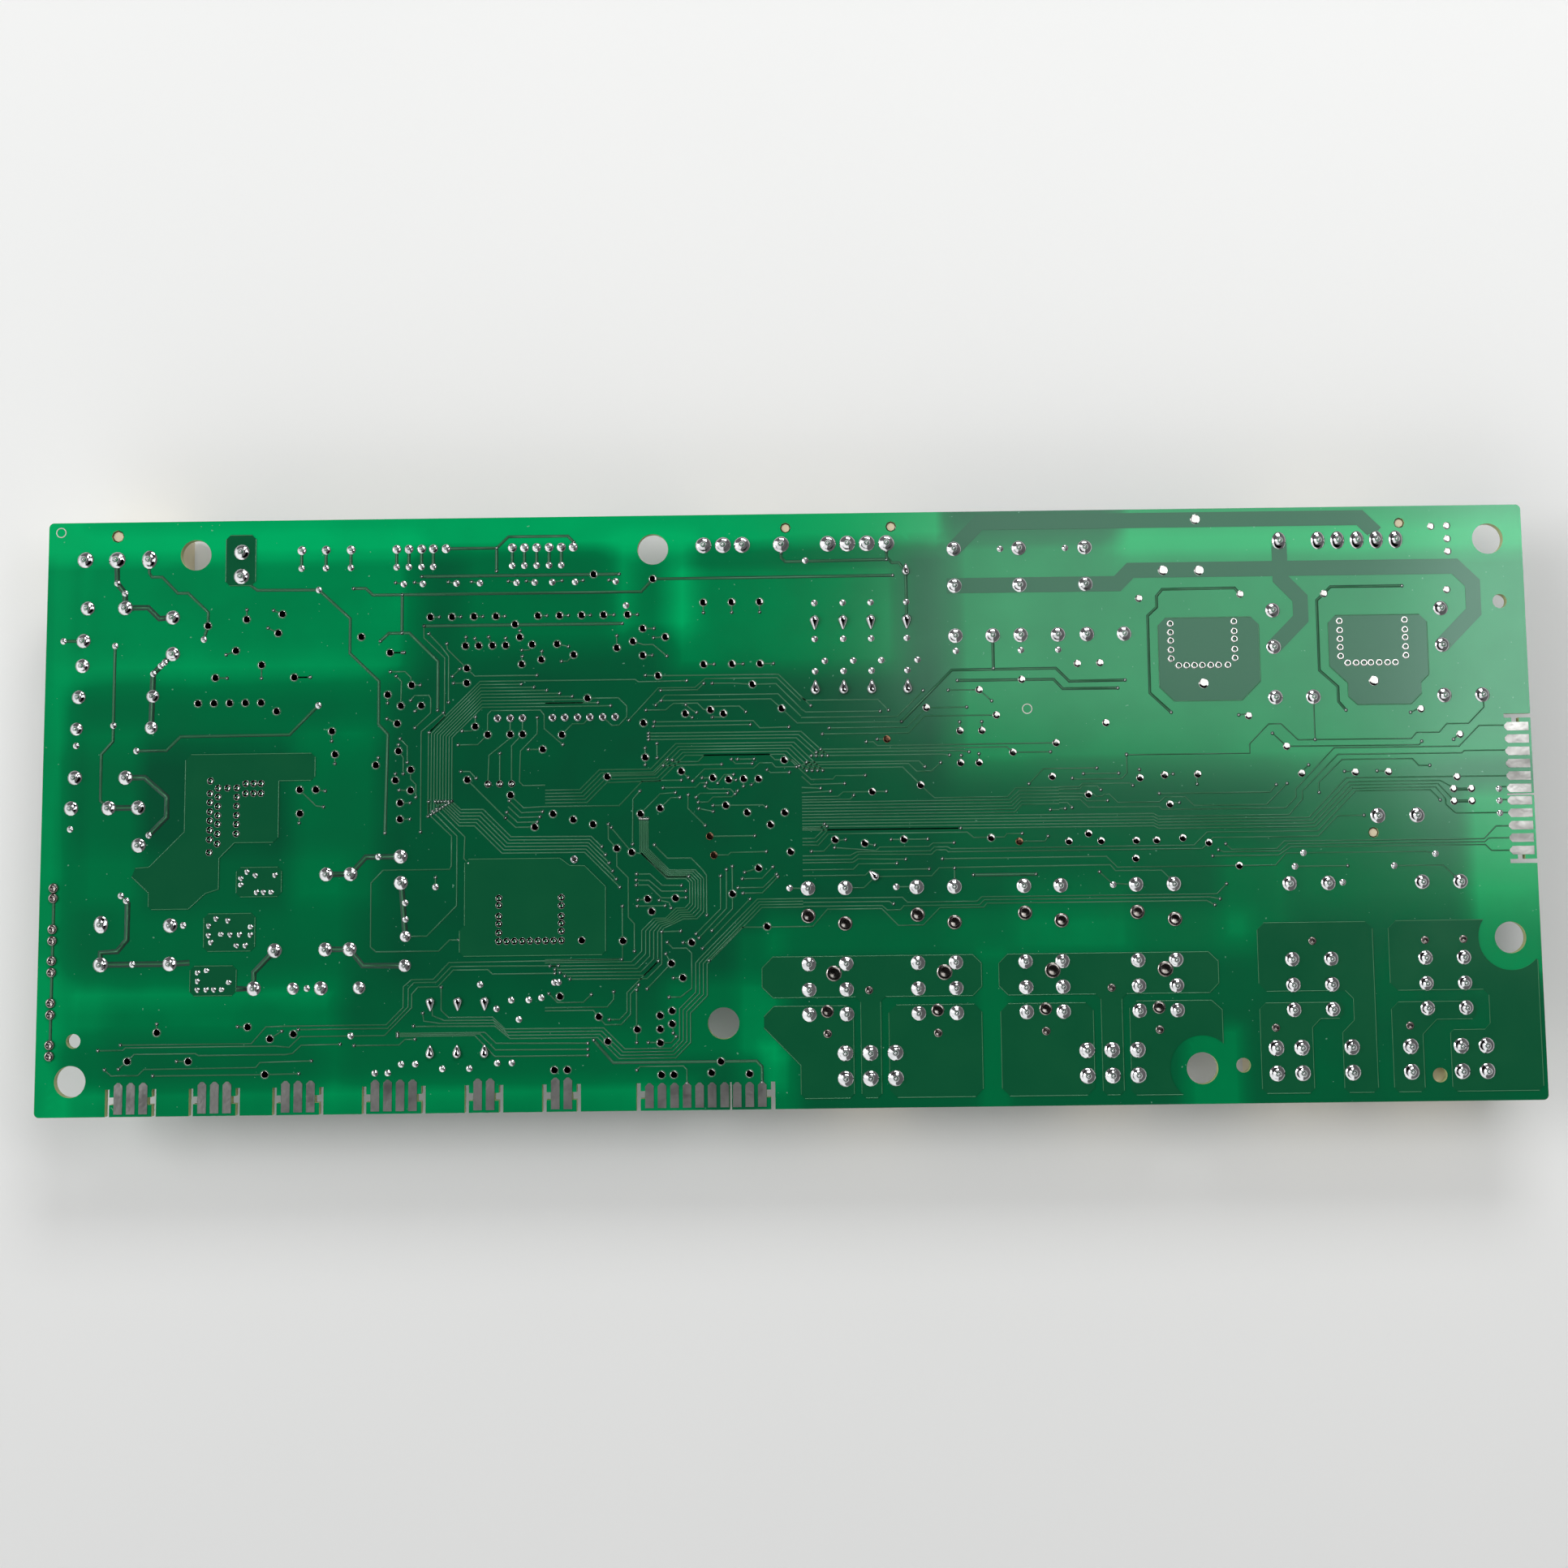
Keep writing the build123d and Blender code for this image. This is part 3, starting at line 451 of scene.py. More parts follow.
class Finish:
    """A finish that makes its material once and hands it out."""

    name: str

    def material(self) -> bpy.types.Material:
        """The finish's material."""
        title = f"{self.name}_finish"
        if title in bpy.data.materials:
            return bpy.data.materials[title]
        made = bpy.data.materials.new(title)
        made.use_nodes = True
        shader = made.node_tree.nodes["Principled BSDF"]
        self.dress(Shading(made.node_tree), shader)
        return made

    def dress(self, shading: Shading, shader: Node) -> None:
        """Wires the finish's nodes."""
        raise NotImplementedError


def rough_and_bump(
    shading: Shading, shader: Node, gloss: object, height: object, depth: float
) -> None:
    """Feeds a shader's roughness and a bump of a given depth in metres."""
    shading.feed(shader.inputs["Roughness"], gloss)
    bump = shading.node("ShaderNodeBump")
    bump.inputs["Strength"].default_value = 0.6
    bump.inputs["Distance"].default_value = depth
    shading.feed(bump.inputs["Height"], height)
    shading.feed(shader.inputs["Normal"], bump.outputs["Normal"])


MASK_SPECULAR = 0.75
MASK_TINT = (0.72, 1.0, 0.9, 1.0)
WEAVE_DEPTH = 0.004 * MM


def mask_sheen(shading: Shading, shader: Node, grain: Node, gloss: float) -> None:
    """Gives a shader the mask's greenish gloss, over the faint weave of the glass cloth."""
    rough = shading.spread(grain.outputs["Clouds"], gloss - 0.03, gloss + 0.05)
    shader.inputs["Specular IOR Level"].default_value = MASK_SPECULAR
    shader.inputs["Specular Tint"].default_value = MASK_TINT
    rough_and_bump(shading, shader, rough, grain.outputs["Weave"], WEAVE_DEPTH)


def levelness(shading: Shading) -> Socket:
    """How far a surface faces up or down: 1 on a level face and 0 on an upright side."""
    split = shading.node("ShaderNodeSeparateXYZ")
    shading.feed(split.inputs[0], shading.node("ShaderNodeNewGeometry").outputs["Normal"])
    return shading.maths("ABSOLUTE", split.outputs["Z"])


@dataclass(frozen=True)
class SolderMask(Finish):
    """Green mask on glass laminate, with painted light where nothing lies behind it and painted
    shade over the parts behind it.
    """

    name: str = "solder_mask"
    # Lit and shaded copies of the mask's green: painted light where nothing lies behind the board,
    # painted shade over the parts.
    backlit_green: Colour = srgb(0, 178, 102)
    half_shaded_green: Colour = srgb(0, 117, 67)
    shaded_green: Colour = srgb(8, 80, 51)
    dust: Colour = srgb(150, 200, 180)
    gloss: float = 0.16

    def dress(self, shading: Shading, shader: Node) -> None:
        """Wires the mask: painted backing shade and light, clouds, weave, dust and a soft gloss.
        """
        grain = shading.group(laminate_grain(), Vector=shading.place())
        # The painted shade and painted light kept on the sheet's points.
        backing_shade = shading.node("ShaderNodeAttribute", attribute_name="backing_shade").outputs["Fac"]
        cloud = shading.spread(grain.outputs["Clouds"], -0.12, 0.12)
        weave = shading.spread(grain.outputs["Weave"], -0.02, 0.02)
        # The ramp's factor: painted shade plus the laminate's own clouds and weave.
        depth = shading.maths("ADD", backing_shade, shading.maths("ADD", cloud, weave))
        stops = [(0.0, self.backlit_green), (0.5, self.half_shaded_green), (1.0, self.shaded_green)]
        green = shading.ramp(depth, stops)
        dusty = shading.maths("MULTIPLY", grain.outputs["Specks"], 0.35)
        shading.feed(shader.inputs["Base Color"], shading.mixed(dusty, green, self.dust))
        mask_sheen(shading, shader, grain, self.gloss)


@dataclass(frozen=True)
class CoveredCopper(Finish):
    """Copper under the mask, a little paler and greyer than the laminate around it."""

    name: str = "covered_copper"
    green: Colour = srgb(19, 92, 57)
    dim: Colour = srgb(12, 84, 53)
    # Paler sides: a painted highlight along the copper's rim.
    edge: Colour = srgb(84, 146, 98)
    gloss: float = 0.16

    def dress(self, shading: Shading, shader: Node) -> None:
        """Wires the covered copper: clouds, weave, paler sides as a painted highlight, and a soft
        gloss.
        """
        grain = shading.group(laminate_grain(), Vector=shading.place(), Cloud=90.0)
        green = shading.mixed(grain.outputs["Clouds"], self.dim, self.green)
        # Upright faces take the edge colour: painted highlight or painted shade along the rim.
        side = shading.maths("LESS_THAN", levelness(shading), 0.5)
        shading.feed(shader.inputs["Base Color"], shading.mixed(side, green, self.edge))
        mask_sheen(shading, shader, grain, self.gloss)


@dataclass(frozen=True)
class TrackCopper(CoveredCopper):
    """Copper of the tracks, which shows paler than a wide area."""

    name: str = "track_copper"
    green: Colour = srgb(38, 104, 62)
    dim: Colour = srgb(22, 90, 54)
    # Darker sides: painted shade along the track's slopes.
    edge: Colour = srgb(8, 62, 42)
    gloss: float = 0.34


@dataclass(frozen=True)
class EdgeMask(CoveredCopper):
    """The mask where it steps over the rim of a copper area, with a painted highlight on top and
    painted shade on its sides.
    """

    name: str = "edge_mask"
    # Pale top: painted highlight of the sloping rim; dark sides: painted shade.
    green: Colour = srgb(58, 124, 82)
    dim: Colour = srgb(36, 106, 66)
    edge: Colour = srgb(10, 70, 46)


@dataclass(frozen=True)
class ViaMask(CoveredCopper):
    """The mask that covers a via's copper ring, darkened further with painted shade of the ring's
    dimple.
    """

    name: str = "via_mask"
    # Darker than covered copper: painted shade of the via's dimple.
    green: Colour = srgb(10, 56, 38)
    dim: Colour = srgb(6, 44, 30)
    edge: Colour = srgb(8, 50, 34)


@dataclass(frozen=True)
class Laminate(Finish):
    """Bare glass laminate at the board's cut edges and inside its holes."""

    name: str = "laminate"
    resin: Colour = srgb(152, 162, 108)
    fibre: Colour = srgb(178, 184, 136)

    def dress(self, shading: Shading, shader: Node) -> None:
        """Wires the laminate: resin and fibres on the sides, plain resin on the faces."""
        grain = shading.group(laminate_grain(), Vector=shading.place(), Cloud=700.0)
        cut = shading.mixed(grain.outputs["Clouds"], self.resin, self.fibre)
        face = shading.maths("GREATER_THAN", levelness(shading), 0.5)
        shading.feed(shader.inputs["Base Color"], shading.mixed(face, cut, self.resin))
        gloss = shading.spread(grain.outputs["Clouds"], 0.45, 0.7)
        rough_and_bump(shading, shader, gloss, grain.outputs["Clouds"], 0.03 * MM)


@dataclass(frozen=True)
class Metal(Finish):
    """Solder, tin or another bright metal with frozen ripples and dull patches."""

    name: str
    bright: Colour
    dull: Colour
    gloss: Gloss = Gloss.MIRROR
    ripple: float = 900.0
    depth: float = 0.01 * MM

    def dress(self, shading: Shading, shader: Node) -> None:
        """Wires the metal: patches of tone and gloss over a rippled surface."""
        ripple = shading.group(solder_ripple(), Vector=shading.place(), Ripple=self.ripple)
        patch = ripple.outputs["Dull"]
        shading.feed(shader.inputs["Base Color"], shading.mixed(patch, self.bright, self.dull))
        shader.inputs["Metallic"].default_value = 1.0
        gloss = shading.spread(patch, self.gloss.value * 0.6, self.gloss.value * 1.5)
        rough_and_bump(shading, shader, gloss, ripple.outputs["Height"], self.depth)


@dataclass(frozen=True)
class Moulded(Finish):
    """Moulded plastic, dipped epoxy, ferrite or lacquer: fine grain and slow tone shifts."""

    name: str
    tone: Colour
    shade: Colour
    gloss: Gloss = Gloss.SATIN
    grain: float = 2500.0
    depth: float = 0.02 * MM

    def dress(self, shading: Shading, shader: Node) -> None:
        """Wires the moulding: tone, dust and grain."""
        grain = shading.group(moulding_grain(), Vector=shading.place(), Grain=self.grain)
        tone = shading.mixed(grain.outputs["Tone"], self.tone, self.shade)
        dusty = shading.maths("MULTIPLY", grain.outputs["Dust"], 0.2)
        pale = tuple(min(1.0, 0.4 + 0.6 * step) for step in self.tone)
        shading.feed(shader.inputs["Base Color"], shading.mixed(dusty, tone, pale))
        gloss = shading.spread(
            grain.outputs["Tone"], self.gloss.value * 0.8, min(1.0, self.gloss.value * 1.25)
        )
        rough_and_bump(shading, shader, gloss, grain.outputs["Height"], self.depth)


SOLDER = Metal("solder", srgb(224, 225, 226), srgb(150, 152, 154), Gloss.MIRROR, 1100.0, 0.04 * MM)
DULL_SOLDER = Metal("dull_solder", srgb(176, 172, 168), srgb(96, 88, 82), Gloss.SHINY, 1400.0)
FLAT_TIN = Metal("levelled_tin", srgb(208, 208, 205), srgb(176, 176, 172), Gloss.MIRROR, 500.0)
EDGE_TIN = Metal(
    "edge_tin", srgb(228, 228, 225), srgb(132, 132, 128), Gloss.SATIN, 700.0, 0.12 * MM
)
TINNED_BRASS = Metal("tinned_brass", srgb(206, 203, 190), srgb(172, 166, 146), Gloss.SHINY, 1500.0)
CAN_TOP = Metal("can_top", srgb(196, 198, 200), srgb(160, 163, 167), Gloss.SATIN, 2500.0)
# Tin coloured brown: a painted reflection of something brown above the pads.
BROWN_REFLECTION_TIN = Metal("tin_with_brown_reflection", srgb(150, 112, 88), srgb(112, 84, 66), Gloss.SHINY, 700.0)
MASK_EDGE = Moulded("mask_edge", srgb(78, 146, 108), srgb(52, 122, 84), Gloss.SHINY)
# A dark disc put where a hollow joint's hole lies in shade: painted shade.
BORE_SHADE = Moulded("painted_bore_shade", srgb(20, 26, 22), srgb(12, 16, 14), Gloss.MATT)
NYLON = Moulded("natural_nylon", srgb(226, 214, 184), srgb(205, 190, 155))
BLACK_PLASTIC = Moulded("black_plastic", srgb(38, 38, 40), srgb(26, 26, 28))
RELAY_PLASTIC = Moulded("relay_case", srgb(44, 45, 47), srgb(30, 31, 33), Gloss.SATIN, 1600.0)
PALE_PLASTIC = Moulded("pale_plastic", srgb(222, 221, 214), srgb(200, 198, 188))
BLUE_EPOXY = Moulded("blue_epoxy", srgb(34, 74, 138), srgb(22, 52, 104), Gloss.SHINY, 500.0)
DARK_EPOXY = Moulded("dark_epoxy", srgb(46, 56, 50), srgb(30, 38, 34), Gloss.SHINY, 500.0)
GREY_FILM = Moulded("grey_film_case", srgb(150, 154, 156), srgb(128, 132, 136))
RED_FILM = Moulded("red_film_case", srgb(150, 44, 30), srgb(120, 32, 22), Gloss.SHINY)
FERRITE = Moulded("ferrite", srgb(62, 62, 66), srgb(44, 44, 48), Gloss.MATT, 900.0, 0.04 * MM)
TAPE = Moulded("polyester_tape", srgb(222, 178, 52), srgb(196, 150, 34), Gloss.SHINY, 300.0)
SLEEVE = Moulded("can_sleeve", srgb(34, 38, 52), srgb(22, 25, 36), Gloss.SHINY, 300.0)
LACQUER = Moulded("resistor_lacquer", srgb(120, 136, 140), srgb(98, 112, 118), Gloss.MATT, 900.0)
ENAMEL = Metal("enamelled_wire", srgb(196, 112, 62), srgb(150, 76, 38), Gloss.SHINY, 900.0)
BAND_PAINT = Moulded("band_paint", srgb(88, 44, 30), srgb(70, 34, 24), Gloss.SATIN)
INK = Moulded("white_ink", srgb(226, 228, 222), srgb(198, 202, 194), Gloss.MATT)


# ---------------------------------------------------------------- geometry trees


class Growing(Shading):
    """Adds nodes to one new geometry tree with named inputs."""

    def __init__(self, name: str, inputs: dict[str, tuple[str, object]]) -> None:
        """Starts the tree with a geometry input, the named inputs and a geometry output."""
        super().__init__(bpy.data.node_groups.new(name, "GeometryNodeTree"))
        add_inputs(self.tree, {"Geometry": ("Geometry", None), **inputs})
        self.tree.interface.new_socket(
            "Geometry", in_out="OUTPUT", socket_type="NodeSocketGeometry"
        )
        self.given = self.node("NodeGroupInput")
        self.result = self.node("NodeGroupOutput")

    def named(self, name: str) -> Socket:
        """A vector that every point carries under a name."""
        read = self.node("GeometryNodeInputNamedAttribute", data_type="FLOAT_VECTOR")
        read.inputs["Name"].default_value = name
        return read.outputs["Attribute"]

    def finish(self, geometry: Socket) -> bpy.types.NodeTree:
        """Ends the tree: instances made real, then the material set."""
        real = self.node("GeometryNodeRealizeInstances")
        coat = self.node("GeometryNodeSetMaterial")
        self.feed(real.inputs["Geometry"], geometry)
        self.feed(coat.inputs["Geometry"], real.outputs["Geometry"])
        self.feed(coat.inputs["Material"], self.given.outputs["Finish"])
        self.feed(self.result.inputs["Geometry"], coat.outputs["Geometry"])
        return self.tree


@cache
def track_tree() -> bpy.types.NodeTree:
    """The tree that lays a flat track with sloping sides along each path."""
    inputs = {
        "Width": ("Float", 0.28 * MM),
        "Crown": ("Float", 0.2 * MM),
        "Height": ("Float", 0.06 * MM),
        "Finish": ("Material", None),
    }
    grow = Growing("Track along a path", inputs)
    profile = grow.node("GeometryNodeCurvePrimitiveQuadrilateral", mode="TRAPEZOID")
    grow.feed(profile.inputs["Bottom Width"], grow.given.outputs["Width"])
    grow.feed(profile.inputs["Top Width"], grow.given.outputs["Crown"])
    grow.feed(profile.inputs["Height"], grow.given.outputs["Height"])
    profile.inputs["Offset"].default_value = 0.0
    upright = grow.node("GeometryNodeSetCurveNormal", mode="Z_UP")
    grow.feed(upright.inputs["Curve"], grow.given.outputs["Geometry"])
    sweep = grow.node("GeometryNodeCurveToMesh")
    sweep.inputs["Fill Caps"].default_value = True
    grow.feed(sweep.inputs["Curve"], upright.outputs["Curve"])
    grow.feed(sweep.inputs["Profile Curve"], profile.outputs["Curve"])
    return grow.finish(sweep.outputs["Mesh"])


@cache
def spots_tree() -> bpy.types.NodeTree:
    """The tree that sets one shape on every spot, spread and turned as the spot says."""
    inputs = {"Shape": ("Object", None), "Finish": ("Material", None)}
    grow = Growing("Shape on every spot", inputs)
    info = grow.node("GeometryNodeObjectInfo")
    grow.feed(info.inputs["Object"], grow.given.outputs["Shape"])
    euler = grow.node("FunctionNodeEulerToRotation")
    grow.feed(euler.inputs["Euler"], grow.named("turn"))
    stand = grow.node("GeometryNodeInstanceOnPoints")
    grow.feed(stand.inputs["Points"], grow.given.outputs["Geometry"])
    grow.feed(stand.inputs["Instance"], info.outputs["Geometry"])
    grow.feed(stand.inputs["Scale"], grow.named("spread"))
    grow.feed(stand.inputs["Rotation"], euler.outputs["Rotation"])
    return grow.finish(stand.outputs["Instances"])


def grown(
    name: str,
    base: bpy.types.ID,
    tree: bpy.types.NodeTree,
    settings: dict[str, object],
    finish: Finish,
) -> bpy.types.Object:
    """Grows a piece from a base and keeps it as a plain mesh.

    Args:
        name: The piece's name.
        base: The mesh or curve that the tree works on.
        tree: The geometry tree.
        settings: Values for the tree's named inputs.
        finish: The piece's finish.

    Returns:
        The piece's object.
    """
    holder = linked("holder", base)
    modifier = holder.modifiers.new("grow", "NODES")
    modifier.node_group = tree
    values = {"Finish": finish.material(), **settings}
    for item in tree.interface.items_tree:
        if item.item_type == "SOCKET" and item.in_out == "INPUT" and item.name in values:
            modifier[item.identifier] = values[item.name]
    graph = bpy.context.evaluated_depsgraph_get()
    mesh = bpy.data.meshes.new_from_object(holder.evaluated_get(graph), depsgraph=graph)
    bpy.data.objects.remove(holder)
    return dressed(name, mesh, finish)


def laid(
    name: str,
    paths: Iterable[Sequence[Vector]],
    width: float,
    height: float,
    finish: Finish,
    crown: float = 0.7,
) -> bpy.types.Object:
    """Lays a flat track along every path as one piece.

    Args:
        name: The piece's name.
        paths: The middle lines, in the part's frame.
        width: The width of its foot, in millimetres.
        height: Its height, in millimetres.
        finish: The piece's finish.
        crown: The width of its flat top, as a share of its foot's.

    Returns:
        The piece's object.
    """
    settings = {"Width": width * MM, "Crown": crown * width * MM, "Height": height * MM}
    return grown(name, paths_curve(paths), track_tree(), settings, finish)


def paths_curve(paths: Iterable[Sequence[Vector]]) -> bpy.types.Curve:
    """A curve with one straight-sided spline for each path."""
    curve = bpy.data.curves.new("paths", "CURVE")
    curve.dimensions = "3D"
    for path in paths:
        spline = curve.splines.new("POLY")
        spline.points.add(len(path) - 1)
        for point, spot in zip(spline.points, path):
            point.co = (*spot, 1.0)
    return curve


@dataclass(frozen=True)
class Spot:
    """One place on a board's face, with its reach along X, along Y and in height, all in mm."""

    column: float
    row: float
    across: float
    along: float
    height: float
    turn: float = 0.0
    lift: float = 0.0


def spots_mesh(layout: Layout, spots: Sequence[Spot]) -> bpy.types.Mesh:
    """A mesh of loose points that carry each spot's spread and turn."""
    mesh = bpy.data.meshes.new("spots")
    mesh.from_pydata([layout.above(s.column, s.row, s.lift) for s in spots], [], [])
    spread = mesh.attributes.new("spread", "FLOAT_VECTOR", "POINT")
    turn = mesh.attributes.new("turn", "FLOAT_VECTOR", "POINT")
    for number, s in enumerate(spots):
        spread.data[number].vector = (s.across * MM, s.along * MM, s.height * MM)
        turn.data[number].vector = (0.0, 0.0, math.radians(s.turn))
    return mesh


def set_on_spots(
    name: str,
    layout: Layout,
    spots: Sequence[Spot],
    shape: Form,
    finish: Finish,
) -> bpy.types.Object:
    """Sets a shape of unit size on every spot as one piece.

    Args:
        name: The piece's name.
        layout: The board's layout grid.
        spots: Where the shape goes, and how large it is there.
        shape: The shape, one unit in radius and height.
        finish: The piece's finish.

    Returns:
        The piece's object.
    """
    model = linked("shape", mesh_of(shape, "shape", smooth=True))
    piece = grown(name, spots_mesh(layout, spots), spots_tree(), {"Shape": model}, finish)
    bpy.data.objects.remove(model)
    return piece


# ---------------------------------------------------------------- solder side


def grid_of(columns: Iterable[float], rows: Sequence[float], *sizes: float) -> Places:
    """Places where columns and rows cross, column by column, with the sizes after each."""
    return tuple((column, row, *sizes) for column in columns for row in rows)


def row_of(columns: Iterable[float], row: float, *sizes: float) -> Places:
    """Places along one row, with the sizes after each."""
    return grid_of(columns, (row,), *sizes)


RELAY_COLUMNS = (155, 162.5, 176.9, 184.5, 198.5, 205.9, 221.1, 228.7, 252, 259.8, 278.7, 286.4)
DRIVER_COLUMNS = (157, 162.8, 168.5, 175.8)
POWER_COLUMNS = (52, 57, 62.1, 71.5, 74, 76.6, 79)
SIGNAL_COLUMNS = (95.2, 97.7, 100.2, 102.75, 105.25)
MEASURE_COLUMNS = (134.3, 140.1, 145.8)


@dataclass
class SolderJoints:
    """The joints of every lead, with the filled pads, drawn joints and open holes about them.

    Each table gives a column, a row and a diameter, or two diameters for an oval joint. The
    small and the hollow joints have one size each. A drop's last value is the way its tail
    points, in degrees from X.
    """

    supply: tuple = (
        (7.6, 112.3, 3.4), (14.1, 112.2, 3.5), (20.75, 112.2, 3.2, 3.9), (8.3, 102.3, 3.0),
        (16, 102.3, 3.1), (25.75, 100.2, 3.0), (7.6, 95.6, 3.0), (7.5, 90.5, 3.0),
        (6.9, 84.1, 2.9), (25.9, 92.7, 3.0), (22, 84.1, 2.7), (21.8, 77.7, 2.7),
        (6.6, 77.6, 2.7), (6.5, 67.7, 3.0), (16.8, 67.6, 3.0), (5.9, 61.5, 3.0),
        (13.5, 61.5, 3.0), (19.5, 61.5, 3.0), (19.75, 53.9, 3.0), (12.5, 38.1, 3.0, 3.6),
        (12.6, 30.1, 3.1), (26.5, 37.75, 3.0), (26.5, 30.1, 3.0), (43.5, 25, 3.0),
        (47.6, 32.5, 3.0), (39.7, 113.5, 3.3), (39.7, 108.5, 3.3), (72.8, 51, 2.9),
        (57.8, 47.6, 2.9), (62.7, 47.6, 2.9), (72.9, 45.7, 2.9), (57.8, 32.6, 2.9),
        (62.7, 32.6, 2.9), (73.8, 29.2, 2.6), (73.9, 35, 2.3), (51.4, 24.9, 2.5),
        (57, 24.9, 2.9), (64.7, 24.9, 2.6),
    )
    load_headers: tuple = (
        *row_of((134.4, 138.4, 142.3, 150.3, 159.9, 163.9, 167.9, 171.9), 113.7, 3.4),
        *row_of((252.3, 260.25, 264.25, 268.25, 272.2, 276.2), 113.1, 3.0, 3.8),
        (270.3, 56.8, 3.2), (278.2, 56.8, 3.2),
    )
    contact_relays: tuple = (
        *grid_of((185.7, 199, 212.5), (112.3, 104.7, 94.4), 3.1),
        *row_of((193.3, 206.6, 220.1), 94.4, 3.1),
        *grid_of((250.5, 284.8), (98.8, 91.3, 81), 3.1),
        (258.2, 81, 3.1), (292.5, 81, 3.1),
    )
    power_relays: tuple = (
        *grid_of(RELAY_COLUMNS[:8], (43.6, 28.5, 23.4, 18.5), 3.05),
        *grid_of(RELAY_COLUMNS[8:], (43.4, 28.3, 23.2, 18.3), 3.05),
    )
    tabs: tuple = grid_of(
        (162.1, 167.1, 172.1, 210.4, 215.4, 220.5, 248.2, 253.3, 263.3, 275, 285.1, 290.1),
        (10.8, 5.8), 3.3,
    )
    filled: tuple = (
        (155, 38.1, 3.0), (162.4, 36.5, 3.0), (177, 38.1, 3.0), (184.4, 36.5, 3.0),
        (198.6, 38.2, 3.0), (205.9, 36.6, 3.0), (221.2, 38.1, 3.0), (228.7, 36.6, 3.0),
        (160, 26.6, 3.3), (182.2, 26.6, 3.3), (203.9, 26.7, 3.3), (226.5, 26.7, 3.3),
        (158.6, 19.1, 2.7), (180.7, 19.1, 2.7), (202.3, 19.1, 2.7), (225, 19.1, 2.7),
        (158.6, 14.7, 1.8), (180.7, 14.6, 1.8), (202.3, 14.7, 1.8), (225, 14.7, 1.8),
        (248.2, 14.8, 1.7), (275, 14.9, 1.7), (256.1, 31.9, 1.7), (278.7, 31.8, 1.7),
        (286.4, 31.9, 1.7), (167, 23.2, 1.7), (215.6, 23.1, 1.7),
    )
    headers: tuple = (
        *row_of((*POWER_COLUMNS, 81.6, *SIGNAL_COLUMNS, 107.7), 113.7, 1.9),
        *row_of((*POWER_COLUMNS, *SIGNAL_COLUMNS), 110, 1.4),
        *row_of((73, 76.9, 83.8, 88.6, 96.1, 99.8, 103.4, 108.1), 106.5, 1.4),
    )
    small: tuple = (
        (151.3, 43.7), (172.8, 43.7), (216.5, 43.6), (253.2, 46.8), (255, 49.5), (273.2, 46.7),
        (281.6, 49), (262.7, 43.5), (103.9, 25.5), (104.7, 25.5), (14.25, 107.4), (15.9, 105.3),
        (32.2, 95.6), (3.5, 95.6), (14.1, 94.5), (14.1, 78.2), (22, 88.7), (23.5, 90.3),
        (24.3, 91), (6.6, 74.2), (18.9, 73), (5.8, 57.3), (21.75, 55.9), (16.4, 43.8),
        (17.5, 42.8), (19, 30.1), (29.1, 37.75), (68.3, 51), (73.8, 41.7), (73.9, 38.4),
        (79.9, 44.8), (54.2, 24.9), (63.1, 15.4), (55.6, 105.5), (55.8, 81.8), (155.25, 110.3),
        (195.2, 112.2), (208.5, 112.2), (185.75, 91.3), (199, 91.3), (206.6, 91.3), (68, 8),
        (70.6, 8), (73.25, 9.7), (76.1, 9.7), (81.5, 8.7), (86.9, 8.7), (92.5, 9.7), (95.4, 9.7),
        (89, 25.25), (92.3, 20.4), (95.25, 22.1), (98.75, 22.1), (101.3, 22.5), (96.8, 18.25),
        (295, 61.9), (295, 59.5), (295, 57), (118.5, 101.5), (116.4, 106.5),
        *row_of(DRIVER_COLUMNS, 101.5), *row_of(DRIVER_COLUMNS, 94.1),
        *row_of(DRIVER_COLUMNS, 87.5), *row_of((159, 164.8, 170.5, 177.9), 89.6),
        (41.8, 48.3), (43.5, 47.6), (40.6, 47), (40.6, 45.75), (43.8, 44.2), (45.2, 44.2),
        (46.75, 44.2), (47.5, 47.6), (35.7, 39), (38.1, 38.6), (34.25, 37.6), (42.7, 37.3),
        (34.25, 35.7), (36.75, 35.9), (38.6, 35.8), (40.5, 35.8), (42.7, 35.7), (34.75, 34.3),
        (39.9, 33.6), (41.7, 33.6), (32.2, 28.3), (34, 28.7), (32.2, 26.6), (38.5, 26.3),
        *row_of((32.2, 34, 35.5, 37.1), 24.9),
    )
    drops: tuple = (
        *row_of(DRIVER_COLUMNS, 98, 2.1, -90), *row_of(DRIVER_COLUMNS, 83.7, 2.1, 90),
        *row_of((79, 84.5, 89.9), 21.9, 1.9, -90), *row_of((79, 84.4, 89.9), 11.6, 1.9, 90),
        (175.8, 107.8, 1.7, 90), (168.6, 45.8, 1.8, 135),
    )
    edge_pads: tuple = (45.5, 43.5, 37.3, 35, 31, 28.7, 22.6, 20.3, 14.3, 12.1)
    hollow: tuple = (
        *row_of((92.3, 94.9, 97.4, 103.5, 106, 108.6, 111.1, 113.7, 116.25), 78.7),
        (107.9, 50),
    )
    joint_rise: float = 0.42  # a joint's height over its diameter
    most_rise: float = 1.5
    scatter: tuple = (137, 71)  # steps that turn each round joint its own way
    scatter_span: float = 150.0
    fold_rise: float = 0.1
    small_size: float = 1.35
    filled_height: float = 0.3
    drop_rise: float = 0.4
    edge_pad_column: float = 2.75
    edge_pad: tuple = (1.0, 1.05, 0.5)  # reach along X and Y, and height
    sleeve_radius: float = 0.8
    sleeve_height: float = 0.25
    # the dark disc of painted shade in each hollow joint's hole
    bore_shade_radius: float = 0.4
    bore_shade_height: float = 0.1
    sides: int = 14

